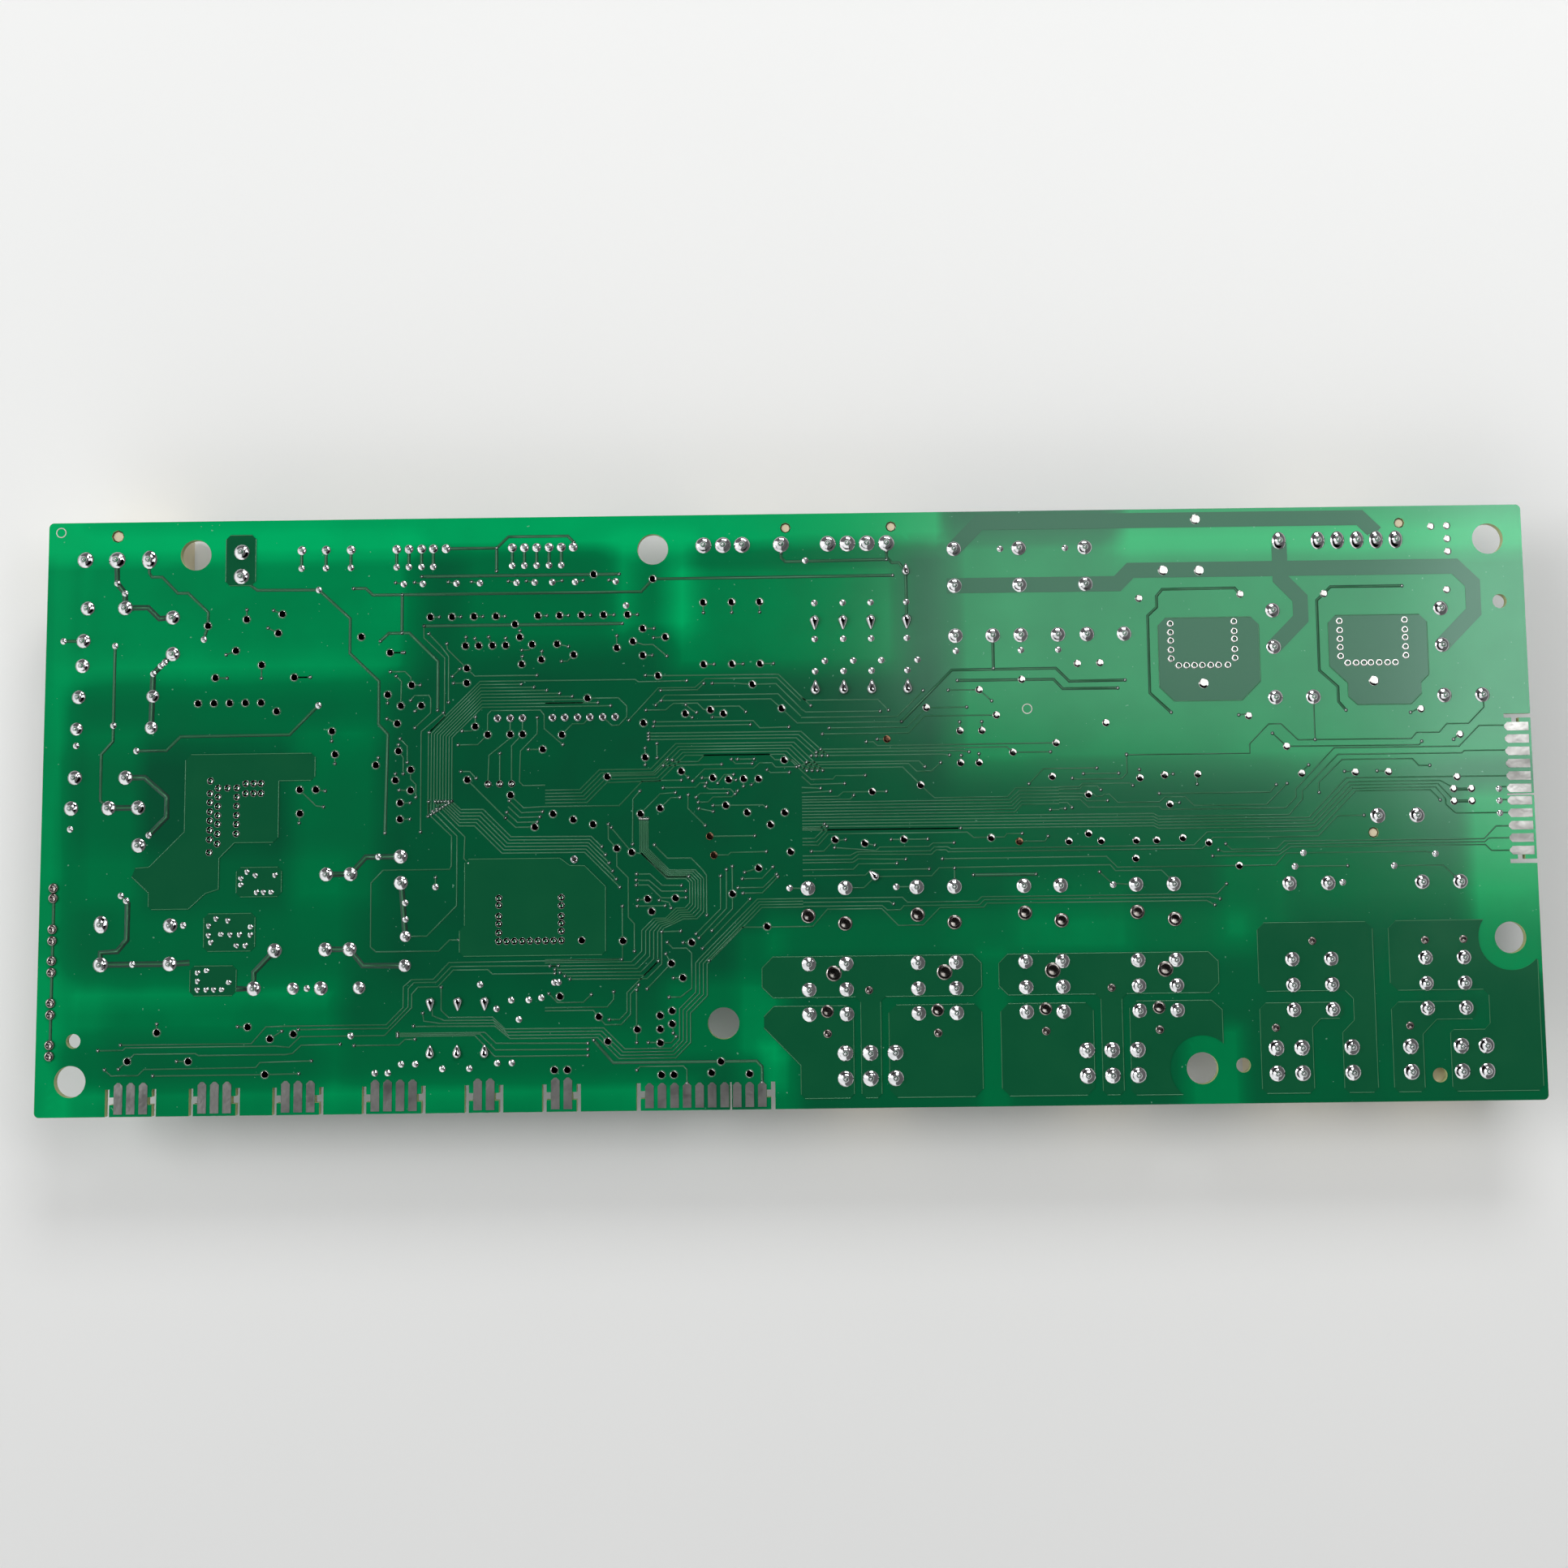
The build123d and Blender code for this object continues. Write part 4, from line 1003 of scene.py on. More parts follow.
    def spot(self, column: float, row: float, *sizes: float) -> Spot:
        """A joint's spot, its height following its smaller diameter."""
        size = sizes or (self.small_size,)
        height = min(self.most_rise, self.joint_rise * min(size[0], size[-1]))
        mixed = column * self.scatter[0] + row * self.scatter[1]
        turn = mixed % self.scatter_span - self.scatter_span / 2 if len(size) < 2 else 0.0
        return Spot(column, row, size[0] / 2, size[-1] / 2, height, turn)

    def dome(self) -> Form:
        """A joint of unit radius and height: a folded cone of solder up to the lead's tip."""
        profile = [(0, 0), (1, 0), (0.96, 0.08), (0.68, 0.22), (0.32, 0.42)]
        profile += [(0.2, 0.7), (0.17, 0.98), (0, 1.02)]
        form = turned(profile, self.sides)
        for vert in form.verts:
            reach = vert.co.xy.length
            if not 0.25 < reach < 0.99:
                continue
            way = math.atan2(vert.co.y, vert.co.x)
            fold = 0.6 * math.cos(2 * way + 0.4) + 0.5 * math.cos(3 * way + 1.9)
            vert.co.z += self.fold_rise * fold * math.sin(math.pi * (1 - reach))
        return form

    def dimpled(self) -> Form:
        """A flat pad of unit radius, filled with solder that sinks in its middle."""
        profile = [(0, 0), (1, 0), (0.95, 0.5), (0.8, 0.85), (0.62, 1.0), (0.45, 0.85)]
        profile += [(0.25, 0.55), (0, 0.45)]
        return turned(profile, self.sides)

    def drop(self) -> Form:
        """A joint drawn out into a tail along X."""
        profile = [(0, 0), (1, 0), (0.93, 0.35), (0.7, 0.75), (0.35, 0.98), (0, 1.0)]
        form = turned(profile, self.sides)
        for vert in form.verts:
            reach = max(0.0, vert.co.x)
            vert.co.x += 1.1 * reach**2
            vert.co.y *= 1 - 0.55 * reach**2
            vert.co.z *= 1 - 0.35 * reach
        return form

    def sleeve(self) -> Form:
        """A raised ring round an open hole."""
        profile = [(0, 0), (1, 0), (0.95, 0.6), (0.75, 1.0), (0.55, 0.7), (0.5, 0.12), (0, 0.1)]
        return turned(profile, self.sides)

    def build(self, layout: Layout) -> None:
        """Builds every joint and shows them instead of the plain ones."""
        tables = (
            self.supply, self.load_headers, self.contact_relays, self.power_relays, self.tabs,
            self.headers, self.small,
        )
        spots = [self.spot(*entry) for table in tables for entry in table]
        joints = set_on_spots("lead_joints", layout, spots, self.dome(), SOLDER)
        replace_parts(joints, "solder_joints")
        filled = [Spot(c, r, d / 2, d / 2, self.filled_height) for c, r, d in self.filled]
        set_on_spots("filled_pads", layout, filled, self.dimpled(), DULL_SOLDER)
        drops = [
            Spot(c, r, d / 2, d / 2, self.drop_rise * d, turn) for c, r, d, turn in self.drops
        ]
        set_on_spots("drawn_joints", layout, drops, self.drop(), SOLDER)
        pairs = [Spot(self.edge_pad_column, row, *self.edge_pad) for row in self.edge_pads]
        set_on_spots("edge_pads", layout, pairs, self.dimpled(), DULL_SOLDER)
        ring, bore = self.sleeve_radius, self.bore_shade_radius
        rings = [Spot(c, r, ring, ring, self.sleeve_height) for c, r in self.hollow]
        set_on_spots("hollow_joints", layout, rings, self.sleeve(), SOLDER)
        # Dark discs in the hollow joints' holes: painted shade.
        bore_shades = [Spot(c, r, bore, bore, self.bore_shade_height) for c, r in self.hollow]
        shade_plug = turned([(0, 0), (1, 0), (1, 0.9), (0, 1)], 12)
        set_on_spots("joint_bores", layout, bore_shades, shade_plug, BORE_SHADE)


@dataclass
class TestPads:
    """Flat tinned pads that a tester's pins touch, and the open vias of the heat fields."""

    left: tuple = (
        (33, 98.4), (40.9, 99.6), (48.2, 100.6), (47.4, 96.7), (38.8, 93.2), (44.1, 90.2),
        (34.7, 87.7), (31.25, 82.5), (34.5, 82.5), (37.7, 82.5), (40.9, 82.5), (44.1, 82.5),
        (47.3, 80.7), (50.8, 87.6), (64.4, 95.7), (70.3, 92.4), (74.75, 85.7), (69.9, 83.8),
        (72.6, 81.5), (76.75, 81.5), (71.9, 77.9), (58.6, 76.5), (59.3, 71.8), (72.2, 72.3),
        (67.6, 69.5), (74.7, 68.5), (71.6, 66.4), (74.7, 64.3), (72.6, 61.8), (72.6, 58.5),
        (52.2, 64.7), (55.5, 64.7), (52.3, 59.9), *row_of((78.5, 82.9, 87.4, 91.9), 99.6),
        *row_of((100.5, 104.9, 109.4, 113.9, 118.8), 99.6), (95.8, 97.9), (96.8, 95.25),
        *row_of((85.7, 88.4, 91.2, 93.9), 93.6), (99.3, 93.7), (97.2, 89.7), (101.2, 90.6),
        (86, 89), (86, 86), (87.75, 77.1), (90.3, 75.4), (94.9, 75.4), (97.4, 75.4),
        (101.5, 72.3), (86.2, 66.3), (95, 63.1), (24.2, 16.5), (42.4, 17.4), (46.9, 15),
        (18.4, 10.9), (30.6, 10.75), (46, 8), (51.6, 15.9), (103.9, 8.2), (106.5, 8.2),
    )
    middle: tuple = (
        (111.9, 108), (124, 106.9), (121.9, 96.7), (126.5, 94.9), (119.9, 94.1),
        (116.6, 92.8), (121.9, 91.2), (104.4, 93.75), (107.8, 91.5), (125, 87), (110.6, 82.6),
        *row_of(MEASURE_COLUMNS, 101.9), *row_of(MEASURE_COLUMNS, 89.2),
        (144.2, 85), (130.5, 79.2), (135.6, 79.9), (138.25, 79.1), (150.1, 80), (122, 77.4),
        (105.4, 75.2), (122.3, 70.4), (114.6, 66.6), (129.6, 67.5), (136, 66.1), (139.2, 65.7),
        (142.25, 65.8), (145.25, 65.8), (150.5, 69.5), (125.3, 60.1), (138.6, 60.5), (121.3, 59),
        (142.9, 59), (150.5, 58.9), (103.6, 59.2), (107.7, 58), (111.7, 57), (99.9, 56.6),
        (147.6, 56.5), (116.5, 52.1), (119.5, 51.3), (151.6, 51), (145.1, 47.8), (139.8, 42.7),
        (122.7, 41.9), (128.3, 42), (123.5, 39.4), (146.7, 36.1), (117.7, 33.6), (131.5, 33.1),
        (109.4, 33.8), (127.4, 29), (129.7, 26.1), (105, 22.7), (127.5, 19.6), (125.1, 18.7),
        (112.8, 18.6), (127.5, 17), (120.5, 16), (125.1, 16), (114.6, 13.7), (125.1, 13.3),
        (125.3, 7), (127.8, 7), (142.9, 7), (137.2, 9.5), (135.3, 7.3),
        (160.6, 53.3), (166.6, 52.5), (174.5, 53.2), (192.1, 53.3),
    )
    right: tuple = (
        (190.3, 83.3), (179.5, 79.8), (193.7, 78.1), (199, 85.3), (186.25, 75), (190.7, 75),
        (186.25, 68.5), (190, 68.5), (196.9, 70.5), (205.7, 72.3), (178.1, 64.1),
        (168.25, 62.9), (204.75, 65.5), (223.3, 101.6), (244, 102.2), (210.4, 88.4),
        (215, 88.5), (215.9, 76.25), (244.9, 77.3), (222.5, 65), (227.5, 65.5), (234.2, 65.6),
        (255.25, 65.5), (252.4, 71), (212, 61.8), (228.4, 59.6), (261.1, 102.1),
        (286.2, 102.6), (283.5, 115.7), (286.75, 115.8), (286.75, 113.1), (286.75, 110.5),
        (279.9, 78.25), (287.6, 73), (266.1, 65.6), (272.8, 65.6), (286.6, 64.4), (285.8, 62),
        (289.4, 62), (285.8, 59.5), (289.4, 59.5), (211.8, 53.9), (207.8, 52.4), (214.3, 52.4),
        (221.4, 52.4), (225.5, 52.4), (230.8, 52.8), (236, 51.8), (221.2, 48.8), (242, 47.1),
    )
    # Pads that carry a painted brown reflection.
    brown_reflecting: tuple = ((135.3, 54.3), (136.1, 50.5), (197.8, 52.5), (171.4, 73.5))
    bare: tuple = ((235.3, 117.8), (228.4, 107.3), (235.75, 107.2), (236, 84), (270.6, 84.1))
    pierced: tuple = (
        *grid_of((34.1,), (66.7, 64.2, 62.4, 60.5, 58.7, 56.8, 54.9, 52.3)),
        *grid_of((35.7,), (65.25, 63.5, 61.6, 59.7, 58, 56, 54)), (37.6, 65.25),
        *grid_of((39.5,), (65.25, 63.4, 61.6, 59.7, 57.9, 56)),
        *grid_of((41.3, 42.9, 44.4), (66.1, 64.1)),
        *grid_of((229.5,), (96.3, 94.5, 92.8, 90.9, 89.1)),
        *row_of((231, 232.6, 234.2, 235.8, 237.5, 239.1, 241), 87.7),
        *grid_of((242.5,), (96.6, 94.6, 93, 90.9, 89.1)),
        *grid_of((264,), (96.4, 94.5, 92.7, 91, 89.2)),
        *row_of((265.4, 267.1, 268.7, 270.1, 271.8, 273.5, 275.1), 87.8),
        *grid_of((277.3,), (96.5, 94.5, 92.9, 91, 89.2)),
        *grid_of((92.7,), (42.4, 41, 38.8, 37.3, 35.5)),
        *((92.7 + 1.575 * step, 33.8) for step in range(9)),
        *grid_of((105.3,), (42.4, 40.8, 38.7, 37.3, 35.7)),
        *row_of((90.4, 92.8, 95.2), 65.4),
    )
    size: float = 1.55
    bare_size: float = 2.1
    pierced_size: float = 1.4
    thickness: float = 0.14
    rim_radius: float = 0.93
    rim_height: float = 0.05

    @staticmethod
    def flat_pad() -> Form:
        """A pad of unit radius with a barely crowned face."""
        return turned([(0, 0), (1, 0), (0.96, 0.75), (0.86, 0.97), (0.4, 1.0), (0, 1.0)], 16)

    @staticmethod
    def rim() -> Form:
        """The thin edge of the mask's opening round a pad."""
        profile = [(0.91, 0), (1, 0), (0.99, 1), (0.92, 1), (0.91, 0)]
        return hoop(turned(profile, 16), UNIT_TOUCH)

    @staticmethod
    def via_ring() -> Form:
        """A via's flat ring, with the bowl of solder that closes its hole."""
        profile = [(0, 0), (1, 0), (0.99, 0.9), (0.93, 1.0), (0.5, 1.0), (0.38, 0.4), (0.2, 0.3)]
        return turned(profile + [(0, 0.28)], 14)

    def spots(self, places: Iterable[Point], size: float) -> list[Spot]:
        """Spots for pads of one size."""
        half = size / 2
        return [Spot(column, row, half, half, self.thickness) for column, row in places]

    def build(self, layout: Layout) -> None:
        """Builds the pads and the pierced vias."""
        places = self.left + self.middle + self.right
        pads = self.spots(places, self.size) + self.spots(self.bare, self.bare_size)
        set_on_spots("test_pads", layout, pads, self.flat_pad(), FLAT_TIN)
        # These pads carry a painted brown reflection.
        brown_reflecting = self.spots(self.brown_reflecting, self.size)
        set_on_spots("browned_pads", layout, brown_reflecting, self.flat_pad(), BROWN_REFLECTION_TIN)
        reach = self.rim_radius
        rims = [Spot(c, r, reach, reach, self.rim_height) for c, r in self.left + self.middle]
        set_on_spots("pad_rims", layout, rims, self.rim(), MASK_EDGE)
        vias = self.spots(self.pierced, self.pierced_size)
        set_on_spots("heat_vias", layout, vias, self.via_ring(), FLAT_TIN)


# ---------------------------------------------------------------- the board itself


@dataclass(frozen=True)
class Shade:
    """A soft stroke of painted shade in the laminate's colour, or of painted light where its depth
    is below zero, standing in for the light that what lies on the board's other side blocks or
    lets through.
    """

    left: float
    bottom: float
    right: float
    top: float
    depth: float
    blur: float = 2.0

    def at(self, column: float, row: float) -> float:
        """How much of the stroke's depth a place takes."""
        outside_x = max(self.left - column, column - self.right, 0.0)
        outside_y = max(self.bottom - row, row - self.top, 0.0)
        away = math.hypot(outside_x, outside_y) / self.blur
        return self.depth * max(0.0, 1.0 - away) ** 1.5


@dataclass
class MaskFilm:
    """The solder mask on both faces, which stops short of the cut edges and the holes."""

    inset: float = 0.22
    thickness: float = 0.025
    grid: float = 2.0
    # The painted shade that the whole solder side starts from, before the strokes.
    base_shade: float = 0.85
    # Strokes of painted shade and painted light.
    shades: tuple = (
        Shade(0, 115, 182, 120, -0.72, 5.0),
        Shade(222, 114, 302, 120, -0.6, 6.0),
        Shade(0, 0, 3, 120, -0.5, 6.0),
        Shade(8, 90, 72, 112, -0.48, 8.0),
        Shade(88, 96, 118, 110, -0.22, 6.0),
        Shade(118, 98, 130, 113, -0.35, 6.0),
        Shade(130, 90, 172, 108, -0.42, 7.0),
        Shade(8, 76, 68, 88, -0.17, 8.0),
        Shade(53, 44, 66, 76, -0.19, 5.0),
        Shade(10, 44, 18, 76, -0.19, 5.0),
        Shade(22, 42, 48, 74, 0.12, 5.0),
        Shade(72, 28, 180, 86, 0.1, 8.0),
        Shade(8, 24, 60, 50, -0.16, 6.0),
        Shade(0, 0, 12, 28, -0.1, 6.0),
        Shade(8, 18, 58, 24, -0.32, 6.0),
        Shade(8, 6, 60, 15, -0.1, 5.0),
        Shade(60, 5, 122, 14, -0.14, 6.0),
        Shade(6, 0, 131, 4, -0.42, 5.0),
        Shade(128, 12, 148, 24, -0.24, 5.0),
        Shade(142, 5, 149, 34, -0.2, 4.0),
        Shade(231, 0, 240, 14, -0.4, 4.0),
        Shade(240, 34, 250, 48, -0.2, 5.0),
        Shade(198, 31, 218, 43, -0.18, 5.0),
        Shade(290, 26, 302, 60, -0.5, 6.0),
        Shade(188, 70, 302, 112, -0.48, 8.0),
        Shade(256, 42, 302, 64, -0.2, 10.0),
        Shade(148, 31, 243, 37, -0.22, 4.0),
        Shade(190, 0, 194, 30, -0.22, 3.0),
        Shade(147, 0, 151, 11, -0.35, 4.0),
    )

    def backing_shade(self, column: float, row: float) -> float:
        """How much painted shade the board takes at a place, from 0 for fully lit open laminate to
        1 for full shade over the parts.
        """
        depth = self.base_shade + sum(shade.at(column, row) for shade in self.shades)
        return min(1.0, max(0.0, depth))

    def sheet(self, board: bpy.types.Mesh, upper: bool, layout: Layout) -> Form:
        """One face of the board as a thin closed sheet, cut into a grid.

        Args:
            board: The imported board's mesh.
            upper: True for the solder side.
            layout: The board's layout grid.

        Returns:
            The new bmesh.
        """
        way = 1 if upper else -1
        form = bmesh.new()
        form.from_mesh(board)
        bmesh.ops.remove_doubles(form, verts=form.verts, dist=TOUCH)
        form.normal_update()
        other = [face for face in form.faces if face.normal.z * way < 0.9]
        bmesh.ops.delete(form, geom=other, context="FACES")
        made = bmesh.ops.inset_region(
            form, faces=form.faces[:], thickness=self.inset * MM, use_even_offset=True
        )
        bmesh.ops.delete(form, geom=made["faces"], context="FACES")
        step = self.grid * MM
        for normal in (Vector((1, 0, 0)), Vector((0, 1, 0))):
            low, high = layout.low.dot(normal), layout.high.dot(normal)
            for number in range(1, int((high - low) / step)):
                spot = normal * (low + number * step)
                geometry = form.verts[:] + form.edges[:] + form.faces[:]
                bmesh.ops.bisect_plane(form, geom=geometry, plane_co=spot, plane_no=normal)
        bmesh.ops.translate(form, verts=form.verts, vec=Vector((0, 0, way * self.thickness * MM)))
        if (form.faces[:][0].normal.z > 0) != upper:
            bmesh.ops.reverse_faces(form, faces=form.faces)
        skirt = bmesh.ops.extrude_edge_only(form, edges=[e for e in form.edges if e.is_boundary])
        low_ring = [item for item in skirt["geom"] if isinstance(item, bmesh.types.BMVert)]
        bmesh.ops.translate(form, verts=low_ring, vec=Vector((0, 0, -way * self.thickness * MM)))
        return form

    def build(self, layout: Layout, frame: dict) -> None:
        """Lays the mask on both faces."""
        board = frame["nodes"]["circuit_board"].data
        for name, upper in (("solder_side_mask", True), ("component_side_mask", False)):
            form = self.sheet(board, upper, layout)
            mesh = bpy.data.meshes.new(name)
            form.to_mesh(mesh)
            form.free()
            # Every point keeps its painted shade; the component side takes one even middle value.
            backing_shade = mesh.attributes.new("backing_shade", "FLOAT", "POINT")
            for number, vertex in enumerate(mesh.vertices):
                column = (vertex.co.x - layout.low.x) / MM
                row = (vertex.co.y - layout.low.y) / MM
                backing_shade.data[number].value = self.backing_shade(column, row) if upper else 0.55
            dressed(name, mesh, SolderMask())


@dataclass
class BoardDressing:
    """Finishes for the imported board's own pieces, and its pale locating rings."""

    rings: tuple = ((2.5, 118.0), (200.0, 79.3))
    radius: float = 1.05
    height: float = 0.06
    bore: float = 0.82  # inner radius over outer

    def build(self, layout: Layout, frame: dict) -> None:
        """Dresses the board, its copper and its contacts."""
        coat(frame, "circuit_board", Laminate())
        coat(frame, "copper_areas", CoveredCopper())
        coat(frame, "bus_tracks", CoveredCopper())
        coat(frame, "edge_contacts", EDGE_TIN)
        spots = [Spot(c, r, self.radius, self.radius, self.height) for c, r in self.rings]
        profile = [(self.bore, 0), (1, 0), (1, 1), (self.bore, 1), (self.bore, 0)]
        ring = hoop(turned(profile, 32), UNIT_TOUCH)
        set_on_spots("locating_rings", layout, spots, ring, PALE_PLASTIC)


# ---------------------------------------------------------------- tracks


@dataclass(frozen=True)
class Bundle:
    """Tracks that run side by side, spread evenly between two paths."""

    first: tuple[Point, ...]
    last: tuple[Point, ...]
    lines: int

    def paths(self) -> list[tuple[Point, ...]]:
        """Every path of the bundle."""
        made = []
        for number in range(self.lines):
            share = number / (self.lines - 1)
            pairs = zip(self.first, self.last)
            made.append(tuple(
                (a[0] + (b[0] - a[0]) * share, a[1] + (b[1] - a[1]) * share) for a, b in pairs
            ))
        return made


BROAD_TRACKS: tuple = (
    ((16, 102.3), (20.7, 102.3), (23, 100), (25.7, 100.2)),
    ((14.1, 112), (14.25, 107.4), (15.9, 105.3), (16, 102.3)),
    ((22, 88.7), (21.8, 77.7)), ((25.9, 92.7), (22, 88.7)),
    ((16.8, 67.6), (20.7, 67.6), (25.3, 63.6), (25.3, 59.5), (21.75, 55.9)),
    ((13.5, 61.5), (19.5, 61.5)),
    ((17.8, 42.5), (17.8, 35), (15.9, 32.7), (12.5, 32.5), (12.6, 30.1)),
    ((12.6, 30.1), (26.5, 30.1), (30.5, 30.3)),
    ((40, 25), (43.5, 25), (43.5, 28.2), (47.6, 32.5)),
    ((57.8, 47.6), (62.7, 47.6), (65.8, 51), (72.8, 51)),
    ((57.8, 32.6), (62.7, 32.6), (65.4, 29.3), (73.8, 29.2)),
    ((73, 45.7), (73.9, 35)),
)
MIDDLE_TRACKS: tuple = (
    ((20.75, 112), (20.75, 109.5), (21.3, 108.6), (23.4, 108.6), (26.7, 105.2), (28.8, 105.2),
     (33, 101.2), (33, 98.4), (32.2, 95.6)),
    ((39.7, 108), (43, 105.6), (55.6, 105.5), (62.1, 99.5), (62.1, 92.4), (68.1, 86.6),
     (68.1, 77.8), (70, 75.75), (69.6, 55.75)),
    ((14.1, 94.5), (14.1, 75), (11.8, 72.4), (11.8, 63), (13, 62)),
    ((18.9, 73), (25, 73), (27.8, 75.8), (50, 75.9), (55.8, 81.8)), ((3.5, 95.6), (7.6, 95.6)),
    ((62.7, 105.7), (65.2, 105.7), (66.7, 104.3), (121.6, 104.3), (124, 106.9), (173.1, 107)),
    ((72.7, 104.3), (72.7, 96.4)),
    ((68.3, 94.8), (70, 96.4), (74.2, 96.4), (80.1, 90.5), (80.1, 80.5)),
    ((81.6, 113.7), (92, 113.7), (94.4, 116), (106.6, 116), (107.8, 114.7)),
    ((92, 113.7), (92, 108.9)), ((76.7, 108), (117.1, 108)), ((77.2, 97.8), (117.7, 97.8)),
    ((150.3, 112), (150.3, 110.9), (151.2, 110.1), (171.9, 110.3)),
    ((171.9, 112), (171.9, 110.8), (173, 109.6), (174.4, 109.6), (175.8, 107.8), (175.8, 98)),
    ((193.3, 94), (193.3, 87.6)),
    ((111.8, 14), (115.7, 9.5), (144.3, 9.5), (145.4, 8.4), (145.4, 5.3)),
    ((188.4, 45.9), (201, 45.9)),
    ((229.2, 78.2), (225, 82.2), (225, 98), (226.9, 99.75), (226.9, 102), (228.1, 103.4),
     (242.9, 103.5), (244, 102.2)),
    ((277.1, 103.5), (262.5, 103.5), (261.1, 102.1), (259.6, 100.75), (259.6, 86.4),
     (263.25, 83), (263.25, 80), (264.7, 78.2)),
    ((174.4, 77), (184.8, 87.4), (206, 87.5), (208.7, 84.8), (220, 84.9)),
    ((185.9, 85.25), (205.5, 85.25), (207.3, 83.3), (218.5, 83.3)),
    ((2.9, 43.5), (2.9, 37.3)), ((2.9, 35), (2.9, 31)), ((2.9, 28.7), (2.9, 22.6)),
    ((2.9, 20.3), (2.9, 14.3)), ((285.8, 61.9), (289.4, 61.9)), ((285.8, 59.5), (289.4, 59.5)),
    *(((column, 113.7), (column, 110)) for column in (*POWER_COLUMNS, *SIGNAL_COLUMNS)),
)
